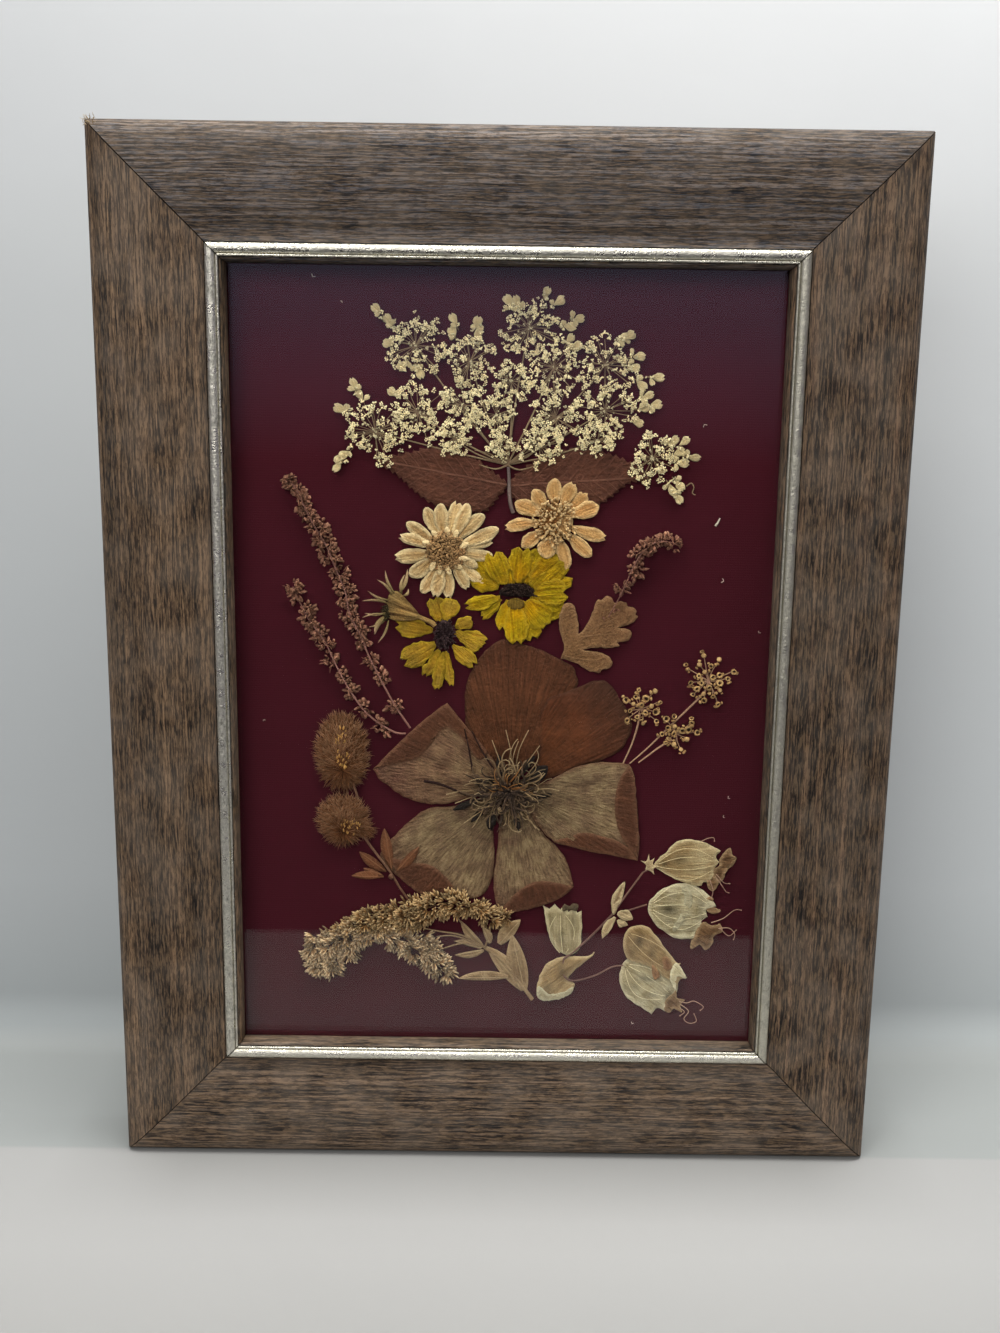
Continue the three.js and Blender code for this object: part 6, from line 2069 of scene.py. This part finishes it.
# The goldenrod: plumes of brush-like florets along drooping arcs, over a leafy stem.
goldenrod = {
    "brushesPerMm": 2.1,
    "arch": [
        (
            [
                (-6.6, -54.6), (-9, -54), (-12.5, -53.9), (-17, -55.4), (-22, -56.8), (-28, -58.2),
                (-33, -60.6), (-37.5, -63.6), (-41, -66.6), (-40, -70.4),
            ],
            3.0,
        ),
        ([(-17, -57.4), (-22, -59), (-27, -60.4), (-31, -62.6)], 2.0), ([(-33, -63), (-34, -67.4)], 1.7),
        ([(-37.8, -66), (-37.6, -70.6)], 2.2), ([(-41.6, -62.6), (-42.6, -67)], 1.7),
    ],
    "lower": [
        ([(-27, -60.4), (-25, -61.8), (-21.6, -63.2), (-18, -65.4), (-14.6, -68), (-11.4, -71)], 2.6),
        ([(-17, -62.2), (-14.4, -65)], 1.4),
    ],
    "right": [([(-6.4, -54.2), (-4, -55.4), (-1.4, -57.2), (1.6, -56.6)], 1.9)],
    "stem": [(-3, -64.5), (1, -67.6), (4.4, -72), (8, -77)],
    "twigs": [
        [(-3, -64.5), (-6.4, -61), (-9.4, -57.2)], [(-3, -64.5), (-7, -62.6), (-10.6, -61.6), (-14, -62)],
        [(-3, -64.5), (-8, -61.6), (-13.4, -60.6), (-17, -60)], [(-3, -64.5), (-2, -61), (-1.6, -58.4)],
        [(-3.6, -64.2), (-8, -63.4), (-13, -65)],
    ],
    "leaves": [
        ((-2.8, -65), (-9.8, -66.5), 1.7, .5), ((3.2, -71.6), (-9, -72), 2.3, .6),
        ((6.4, -75.6), (3.2, -61.2), 4.6, .45), ((6.4, -75.4), (-2.6, -64.2), 4.0, .85),
        ((0, -64), (5, -57.6), 3.4, .7), ((-1.8, -63.6), (-3.6, -59.4), 1.8, .4),
        ((-3.2, -64.4), (-8.6, -58.2), 2.0, .6), ((-3.4, -64.8), (-10, -63), 1.5, .5),
    ],
    "looks": {
        "goldenrodGold": {
            "colours": [(50, 32, 20), (156, 114, 68), (250, 218, 162)], "toneRange": (.34, 1.3),
            "blotch": (150, 108, 66), "blotchSize": 3,
        },
        "goldenrodPale": {
            "colours": [(62, 42, 28), (180, 142, 98), (255, 230, 186)], "toneRange": (.36, 1.34),
            "blotch": (170, 130, 90), "blotchSize": 3,
        },
        "goldenrodLeaf": {
            "colours": [(150, 122, 84), (168, 142, 104), (160, 134, 98)], "shadow": (136, 106, 78),
            "fibre": (2.4, .2), "streak": .6, "blotch": (126, 96, 66), "blotchAmount": .7,
            "vein": (178, 152, 114), "veinMap": (9, .3, .08), "rim": (178, 150, 112), "relief": .7,
        },
        "goldenrodTwig": {"colours": [(150, 124, 90), (164, 138, 104)], "blotch": (124, 96, 68)},
    },
}


def buildGoldenrod():
    dried = tissues(goldenrod["looks"])
    brushes = []
    for key in range(3):
        chance = random.Random(key + 80)
        spikes = []
        for k in range(4):
            lean = Matrix.Rotation(chance.uniform(.1, .6), 4, Vector((cos(k * 1.57), sin(k * 1.57), 0)))
            tall = chance.uniform(.6, 1.25)
            spikes.append(([(.03, 0), (.1, tall * .45), (.095, tall * .8), (0, tall)], 4,
                           chance.uniform(-.1, .25), lean))
        brushes.append(turnedForm("brush%d" % key, spikes, .15, key))
    for name in ("arch", "lower", "right"):
        chance = random.Random(len(name) + 2)
        groups = {"gold": [], "pale": []}
        lines = []
        for axis, width in goldenrod[name]:
            line = smoothLine(axis, .55)
            lines.append((curvedLine(axis, .9, 1.0), .3, .2, .3))
            for i, (x, y) in enumerate(line):
                way = (Vector(line[min(i + 1, len(line) - 1)]) - Vector(line[max(i - 1, 0)])).normalized()
                side = Vector((-way.y, way.x))
                ends = min(1.0, .55 + .12 * min(i, len(line) - 1 - i))
                for _ in range(round(width * goldenrod["brushesPerMm"])):
                    out = chance.uniform(-1, 1)
                    at = Vector((x, y)) + side * out * width * ends * .72 + way * chance.uniform(-.6, .6)
                    aim = side * (out * 1.2 + chance.gauss(0, .25)) + way * chance.uniform(-.2, .9)
                    kind = "gold" if at.y + chance.gauss(0, 1.6) > -61 and name != "lower" else "pale"
                    groups[kind].append((at.x, at.y, .75 + .75 * (1 - abs(out)) + chance.uniform(-.15, .2),
                                         (aim.x, aim.y, chance.uniform(.05, .45)),
                                         chance.uniform(1.5, 2.4), chance.betavariate(.9, 1.0),
                                         chance.choice((0, 1, 2))))
        parts = [threadPiece("axis", lines, dried["goldenrodPale"], 5)]
        parts += [scatterPiece(kind, spots, brushes,
                               dried["goldenrodGold"] if kind == "gold" else dried["goldenrodPale"], 7)
                  for kind, spots in groups.items() if spots]
        standIn(joined("goldenrod_plume_%s_dry" % name, parts), "goldenrod_tan", "goldenrod_plume_" + name)
    lines = [(curvedLine(goldenrod["stem"], .75, 1), .8, .95, .8)]
    lines += [(curvedLine(p, .8, 1, .2), .5, .26, .5) for p in goldenrod["twigs"]]
    parts = [threadPiece("stem", lines, dried["goldenrodTwig"], 7)]
    for n, (base, end, width, tone) in enumerate(goldenrod["leaves"]):
        form = {"lift": .55 + .22 * (n % 3), "dome": .2, "reach": .6, "creases": 2, "crease": .08,
                "wrinkle": .2, "curl": .25}
        parts.append(pressedSheet("leaf", petalLoop(base, end, width, .95, .78, bow=.5 * (-1) ** n),
                                  dried["goldenrodLeaf"], base, end, form, .55, .12, tone, seed=n + 3))
    standIn(joined("goldenrod_stem_dry", parts), "leaf_pale", "goldenrod_stem")
    drop(brushes)


# The bladder campion's papery balloons. flaps: (look, outline) of what shows at their mouths.
paperLook = {
    "fibre": (2.2, 0.2), "streak": 0.5, "blotchAmount": 0.9, "blotchSize": 2.6, "toneRange": (0.22, 1.2),
    "rough": 0.62, "relief": 0.7, "crisp": 0.16,
}
campion = {
    "balloons": [
        {
            "look": "campionStraw", "ribs": (-.62, -.2, .3, .66), "lift": .6, "root": (35, -44.2),
            "tip": (50, -43.5),
            "loop": [
                (34.8, -44.4), (36, -42.6), (37.6, -41), (39, -39.2), (42, -38), (46, -38.8),
                (49.6, -40.6, 1), (48.6, -41.8), (49.3, -43.2, 1), (48.4, -44.6), (48.2, -46),
                (47.6, -48.2, 1), (46, -48), (45, -49), (40, -47.6), (36.6, -45.8),
            ],
            "hollows": [
                (36.9, -44, 1.1, .9, .6), (40.4, -42.6, 1.8, 1.4, .45), (44, -44.8, 2.8, .7, .35),
                (43.6, -41.2, 2.4, .6, .25),
            ],
            "flaps": [
                (
                    "campionPetal",
                    [
                        (48.2, -45), (49.4, -44), (49.4, -42.6), (50.4, -41), (51.7, -39.9),
                        (52.2, -41.4), (53.2, -42.3), (52.4, -44), (51, -45.4), (50.6, -47),
                        (49.6, -48.2), (48.4, -47.2),
                    ],
                ),
                (
                    "campionPetal",
                    [(47, -46.4), (48.6, -46.8), (49.4, -48.6), (48.2, -50.2), (46.9, -48.8)],
                ),
            ],
            "threads": [
                [(48.6, -46.6), (50, -48.4), (51.2, -50.2), (51.8, -50.4)],
                [(48.8, -46), (50.6, -48), (51.9, -48.2)], [(47.4, -47.4), (48.2, -49.8), (48, -51.6)],
                [(45, -38.4), (46.4, -37.6), (47.8, -37.4), (48, -38.2)],
            ],
        },
        {
            "look": "campionWhite", "ribs": (-.7, -.36, .1, .5, .8), "lift": .6, "root": (34, -54),
            "tip": (49, -54.4),
            "loop": [
                (33.8, -54), (35.4, -51.2), (38, -49.4), (41, -48.6), (44, -48.9), (47.5, -51.3),
                (49.2, -53.8, 1), (47.6, -54.2), (46.8, -54.8), (47.4, -56.4, 1), (46, -57),
                (46.2, -59, 1), (45, -59.6), (44.2, -61.6), (40, -61.4), (37, -59.6), (34.6, -57),
            ],
            "hollows": [
                (38.4, -54.6, 2.2, 1.3, .75), (45.6, -53.6, 1.0, 2.4, .4), (38.6, -57.6, 1.8, .7, .35),
                (39.4, -51.4, 1.8, .6, .35), (43.4, -59.4, 1.6, .8, .3),
            ],
            "flaps": [
                (
                    "campionBand",
                    [
                        (41.3, -48.8), (43, -49.7), (43.6, -52.4), (42.9, -55.2), (41.4, -58),
                        (39.8, -59.9), (39.6, -58.6), (40.9, -56.2), (41.7, -53.6), (41.9, -51.4),
                        (41.2, -49.8),
                    ],
                ),
                (
                    "campionPetal",
                    [
                        (44.4, -61.4), (45.2, -59), (46.6, -57.6), (48.4, -58.4), (50.2, -58),
                        (50.8, -59.8), (49, -61), (48.8, -62.8), (47.2, -64.4), (45.8, -63.2),
                        (43.9, -64.2), (43.8, -62.4),
                    ],
                ),
                (
                    "campionPetal",
                    [
                        (46.9, -51.8), (48.4, -51.8), (48.2, -53.6), (50.2, -54.8), (48.6, -55.6),
                        (46.9, -54.6),
                    ],
                ),
            ],
            "threads": [
                [(48.2, -57.6), (50.8, -56.5), (53.3, -54.5), (54.8, -54.5)],
                [(50.3, -59), (52.3, -60.7), (53.9, -59.3)],
                [(49.8, -59), (52.2, -58.8), (53.6, -60.2), (53.4, -61.6)],
            ],
        },
        {
            "look": "campionPeach", "ribs": (-.3, .45), "lift": 1.3, "root": (28.9, -60),
            "tip": (42.6, -70.5),
            "loop": [
                (28.6, -61), (30, -58.8), (33, -58.5), (35.2, -60.2), (38.5, -64.5), (40.6, -67.2),
                (41.6, -67.4, 1), (41.4, -68.8), (43.3, -71, 1), (41.6, -71.2), (40.9, -73.6, 1),
                (39.4, -71.6), (37.6, -70.6), (35.6, -69), (33, -67.8), (29.5, -66.6), (28.4, -63.4),
            ],
            "hollows": [(32, -62, 1.0, 2.2, .6), (35, -64.8, 1.0, 1.8, .35), (30.4, -64.6, .9, 1.4, .3)],
            "flaps": [
                (
                    "campionWindow",
                    [(37.4, -65.6), (39, -66.2), (39.6, -68.2), (38.4, -69), (37.5, -67.8)],
                ),
                (
                    "campionWindow",
                    [(35.1, -67.7), (36.1, -68.5), (36.9, -70.1), (35.9, -71.3), (35.2, -70)],
                ),
                (
                    "campionBand",
                    [
                        (39.9, -67.6), (41.1, -67.4), (43, -70.8), (40.9, -70.4), (40.6, -73.6),
                        (39.2, -70.6),
                    ],
                ),
            ],
            "threads": [],
        },
        {
            "look": "campionWhite", "ribs": (-.7, -.35, .1, .4), "lift": .6, "root": (29, -68),
            "tip": (40.6, -76),
            "loop": [
                (29.5, -66.9), (28, -70), (28, -73), (29.5, -76), (32, -78), (35.5, -80.4, 1),
                (36.8, -78.8), (38.6, -79.6, 1), (38.8, -77.4), (40.4, -76.4), (41.2, -72.2), (38, -69),
                (34, -67.2),
            ],
            "hollows": [
                (34.4, -71.4, 2.6, .8, .5), (39.2, -76, .9, 1.8, .5), (31.2, -73.5, 1.6, 1.0, .35),
                (35.4, -75.4, 2.2, .7, .35),
            ],
            "flaps": [
                (
                    "campionPetal",
                    [
                        (38.6, -76.6), (40.2, -75), (40.9, -74.2), (41.2, -76), (43, -76.6), (42, -77.8),
                        (42.4, -79.6), (40.6, -78.8), (39.6, -79.8), (38.4, -79.2),
                    ],
                ),
            ],
            "threads": [
                [(41.6, -76.8), (43.4, -77.2), (45.1, -76.7), (47.3, -78.1), (46.6, -79)],
                [(42, -77.6), (43.9, -79.2), (42.9, -81.1), (44.2, -82.2), (45.8, -81.7), (45.2, -79.9)],
                [(42, -78.6), (43, -79.4), (42, -80.4)],
            ],
        },
        {
            "look": "campionGreen", "ribs": (-.6, .05, .6), "lift": .6, "root": (14.8, -66),
            "tip": (14, -54.8),
            "loop": [
                (10, -54.2, 1), (10.6, -57), (11, -59.4), (12.3, -63), (14.5, -65.6), (16.5, -66),
                (18.5, -64.4), (19, -60), (18.9, -57), (18.8, -55.4, 1), (17.8, -56, 1), (17.2, -54.7, 1),
                (15.8, -55.8, 1), (15, -53.8, 1), (14, -55.4, 1), (12.7, -53.9, 1), (11.5, -55.2, 1),
            ],
            "hollows": [
                (14.4, -61.5, .8, 2.8, .4), (16.8, -58.5, .7, 2.6, .35), (12.2, -58.4, .6, 2, .3),
            ],
            "flaps": [
                (
                    "campionDark",
                    [
                        (14.4, -55.2), (14.8, -53.6), (16, -54.2), (16.8, -53.5), (18, -53.8),
                        (17.5, -55.2), (16.2, -55),
                    ],
                ),
            ],
            "threads": [],
        },
        {
            "look": "campionPeach", "ribs": (), "lift": .6, "root": (21.6, -66), "tip": (10, -75),
            "loop": [
                (21.9, -65.2), (20.9, -66.2), (17.6, -66.4), (14.9, -66.5), (11.7, -67.8), (9.9, -70.5),
                (9.1, -73.3), (9.1, -76.2), (11.2, -76.9), (14.4, -76.2), (17.1, -74.6), (17.6, -73),
                (16.2, -72), (17.4, -70), (19.3, -68.2), (21.7, -66),
            ],
            "hollows": [(14.6, -70, 1.0, 2.6, .4), (11.4, -74, 1.0, 1.2, .4), (16.2, -71.6, .8, .8, .5)],
            "flaps": [
                (
                    "campionBand",
                    [
                        (9.4, -73.4), (12, -75.4), (15.6, -74.6), (17.3, -73.4), (16.8, -75.2),
                        (14, -76.6), (10.8, -77.1), (9.1, -76),
                    ],
                ),
            ],
            "threads": [],
        },
    ],
    "stem": {
        "lines": [
            ([(15, -67), (20, -62.5), (25.5, -56.3), (28, -52.5), (32.3, -46)], .6, .42),
            ([(28, -55.5), (33.5, -53.6)], .42, .36),
            ([(15, -67), (14.8, -70.4), (17, -72.3), (22, -71), (26, -68.8), (28.6, -68.4)], .5, .34),
            ([(32.3, -46), (34.6, -44.6)], .36, .35),
        ],
        "leaves": [
            ((25.9, -55.8), (28.3, -48.3), 2.3, .55), ((26.6, -56.4), (23.6, -61.8), 2.0, .7),
            ((26.6, -55.6), (30.4, -57), 2.6, .6), ((26.9, -57.2), (29.4, -58.6), 1.7, .85),
            ((26, -56.2), (27.2, -52.4), 1.3, .3),
        ],
        "star": [
            (33.5, -41.4, 1), (33.8, -43), (34.8, -42.4, 1), (34.5, -43.9), (36, -44.5, 1), (34.7, -45),
            (34.9, -46.4, 1), (33.8, -45.4), (32.8, -45.4, 1), (33, -44.2), (31.7, -43.1, 1),
            (32.9, -43.2),
        ],
    },
    "looks": {
        "campionThread": {"colours": [(196, 160, 134), (184, 146, 124)], "toneRange": (.8, 1.2)},
        "campionStem": {
            "colours": [(128, 94, 82), (120, 88, 78), (146, 110, 92)], "blotch": (104, 76, 68),
        },
        "campionLeaf": {
            "colours": [(160, 134, 96), (202, 178, 136), (196, 168, 126)], "shadow": (136, 106, 80),
            "fibre": (2.2, .2), "streak": .7, "blotch": (146, 114, 80), "rim": (216, 194, 150),
            "relief": .9,
        },
        "campionStraw": {
            **paperLook, "colours": [(172, 144, 98), (200, 178, 132), (212, 192, 148)],
            "shadow": (150, 120, 84), "blotch": (160, 130, 86), "rim": (226, 206, 160),
        },
        "campionWhite": {
            **paperLook, "colours": [(190, 172, 132), (218, 206, 170), (228, 216, 182)],
            "shadow": (156, 138, 104), "blotch": (170, 152, 110), "rim": (238, 224, 184),
        },
        "campionGreen": {
            **paperLook, "colours": [(184, 162, 120), (206, 188, 148), (194, 176, 138)],
            "shadow": (142, 128, 96), "blotch": (160, 144, 106), "rim": (230, 214, 170),
        },
        "campionPeach": {
            **paperLook, "colours": [(164, 136, 96), (190, 162, 116), (194, 168, 122)],
            "shadow": (146, 112, 76), "blotch": (148, 118, 76), "rim": (214, 188, 142),
        },
        "campionPetal": {
            "colours": [(190, 160, 118), (158, 124, 86), (136, 102, 70)], "shadow": (110, 80, 56),
            "fibre": (3, .2), "streak": .8, "blotch": (116, 84, 58), "rim": (186, 154, 114), "relief": .9,
        },
        "campionBand": {
            **paperLook, "colours": [(206, 192, 150), (224, 212, 172)], "shadow": (170, 150, 112),
            "blotch": (190, 172, 130), "rim": (240, 228, 190),
        },
        "campionWindow": {
            "colours": [(132, 88, 54), (120, 80, 52)], "blotch": (96, 62, 42), "rim": (168, 128, 88),
        },
        "campionDark": {
            "colours": [(96, 82, 62), (70, 58, 46)], "blotch": (52, 42, 36), "rim": (110, 94, 70),
        },
    },
}


def ribLines(d, lift):  # raised veins that bow out from the stalk end to the mouth
    root, tip = Vector(d["root"]), Vector(d["tip"])
    axis = tip - root
    normal = Vector((-axis.y, axis.x)).normalized()
    half = max(abs((Vector(p[:2]) - root).dot(normal)) for p in d["loop"])
    steps = 14
    made = []
    for bow in d["ribs"]:
        shares = [.8 * i / steps for i in range(steps + 1)]
        run = [root + axis * (.06 + s) + normal * bow * half * sin(pi * (.08 + s)) for s in shares]
        made.append(([(p.x, p.y, lift + .04 * sin(i)) for i, p in enumerate(run)], .15, .1, .95))
    return made


def buildCampion():
    dried = tissues(campion["looks"])

    for n, d in enumerate(campion["balloons"]):
        form = {"lift": d["lift"], "dome": .62, "reach": 1.5, "creases": 3, "crease": .08, "wrinkle": .36,
                "grain": (.3, .1), "curl": .2, "hollows": d["hollows"]}
        loop = ragged(smoothLine(d["loop"], .5, True), .18, 1.3, n)
        parts = [pressedSheet("balloon", loop, dried[d["look"]], d["root"], d["tip"], form, .6, .14, .72,
                              seed=n + 4)]
        for k, (look, outline) in enumerate(d["flaps"]):
            ring = ragged(smoothLine(outline, .4, True), .16, .6, k + n)
            middle = sum((Vector(p) for p in outline), Vector((0, 0))) / len(outline)
            over = {"campionPetal": .22, "campionDark": .5}.get(look, .64)
            parts.append(pressedSheet("flap", ring, dried[look], d["root"], tuple(middle * 1.02),
                                      {"lift": d["lift"] + over, "dome": .12, "reach": .4, "creases": 2,
                                       "crease": .06, "wrinkle": .3, "grain": (.8, .5), "curl": .25}, .42,
                                      .09, .45 + .15 * (k % 3), seed=k + 2))
        if d["ribs"]:
            ribs = ribLines(d, d["lift"] + form["dome"] - .05)
            parts.append(threadPiece("ribs", ribs, dried[d["look"]], 5))
        if d["threads"]:
            lines = [(curvedLine(p, d["lift"] + .5, .5, .1), .22, .15, .7) for p in d["threads"]]
            parts.append(threadPiece("filaments", lines, dried["campionThread"], 5))
            bead = [turnedBit("anther", [(0, -.2), (.16, .05), (.17, .3), (0, .45)], 5, 0, .1, 4)]
            tips = [(p[-1][0], p[-1][1], d["lift"] + .4, (0, 0, 1), .9, .4, 0) for p in d["threads"]]
            parts.append(scatterPiece("anthers", tips, bead, dried["campionThread"]))
            drop(bead)
        slotName = "campion_tan" if d["look"] == "campionPeach" else "campion_white"
        standIn(joined("campion_calyx_%d_dry" % (n + 1), parts), slotName, "campion_calyx_%d" % (n + 1))
    lines = [(curvedLine(p, .75, 1, .1), a, b, .6) for p, a, b in campion["stem"]["lines"]]
    parts = [threadPiece("stem", lines, dried["campionStem"], 7)]
    for n, (base, end, width, tone) in enumerate(campion["stem"]["leaves"]):
        outline = ragged(petalLoop(base, end, width, 1.0, .8, bow=.4 * (-1) ** n), .2, .8, n)
        parts.append(pressedSheet("leaf", outline, dried["campionLeaf"], base, end,
                                  {"lift": .8 + .15 * (n % 3), "dome": .2, "reach": .4, "creases": 1,
                                   "crease": .1, "curl": .4, "wrinkle": .25}, .45, .12, tone, seed=n + 3))
    star = smoothLine(campion["stem"]["star"], .4, True)
    parts.append(pressedSheet("star", star, dried["campionLeaf"], (33.6, -44), (35.5, -45.5),
                              {"lift": 1.0, "dome": .3, "reach": .5, "curl": .35, "wrinkle": .3,
                               "grain": (.8, .8)}, .4, .1, .9))
    standIn(joined("campion_stem_dry", parts), "leaf_pale", "campion_stem")


# Specks of lint on the cloth, a sliver of petal, and the frayed fibres at one mitre.
bits = {
    "strands": 15,
    "lint": [
        (-40.5, 83.2), (-34.3, 77.5), (42.5, 53.5), (55.6, 9.5), (50.8, -28), (50, -32.5), (31, -82.6),
        (-22, 3), (47, 20), (-52, -12),
    ],
    "looks": {
        "lint": {"colours": [(206, 190, 168), (226, 214, 196)], "toneRange": (.8, 1.1)},
        "frayedFibre": {"colours": [(176, 150, 112), (222, 200, 160)], "toneRange": (.7, 1.2)},
    },
}


def buildBits():
    dried = tissues(bits["looks"])
    chance = random.Random(6)
    lines = []
    for x, y in bits["lint"]:
        turn, run = chance.uniform(0, tau), chance.uniform(.3, .7)
        lines.append(([(x, y, .12), (x + run * cos(turn), y + run * sin(turn), .2),
                       (x + run * 1.5 * cos(turn + .7), y + run * 1.5 * sin(turn + .7), .12)], .2, .12,
                      chance.random()))
    lines.append(([(45.2, 32.2, .2), (45.7, 33, .3), (46.1, 33.9, .2)], .55, .3, 1))
    specks = threadPiece("loose_bits", lines, dried["lint"], 5)
    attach(specks, "root")
    strands = []
    for _ in range(bits["strands"]):
        point = Vector((frameLow.x + chance.uniform(.1, 2.4) * mm, frameLow.y + 1.2 * mm,
                        frameHigh.z - chance.uniform(.1, 1.6) * mm))
        heading = Vector((chance.uniform(-.7, .8), -.3, chance.uniform(.1, 1))).normalized()
        points = []
        for _ in range(5):
            points.append(tuple(point))
            point = point + heading * chance.uniform(.2, .42) * mm
            heading = (heading + Vector((chance.gauss(0, .5), chance.gauss(0, .2),
                                         chance.gauss(0, .5)))).normalized()
        strands.append((points, .18, .08, chance.random()))
    fray = threadPiece("frayed_mitre", strands, dried["frayedFibre"], 4, lambda x, y, z: Vector((x, y, z)))
    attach(fray, "root")


buildLace()
buildRussetLeaves()
buildPaleDaisies()
buildYellowDaisies()
print("flowers: lace, toothed leaves and daisies")
buildSeedBud()
buildDock()
buildLobedLeaf()
buildClematis()
print("flowers: bud, dock, lobed leaf and clematis")
buildSeedUmbels()
buildClover()
buildGoldenrod()
buildCampion()
buildBits()
print("flowers: seed umbels, clover, goldenrod and campion")
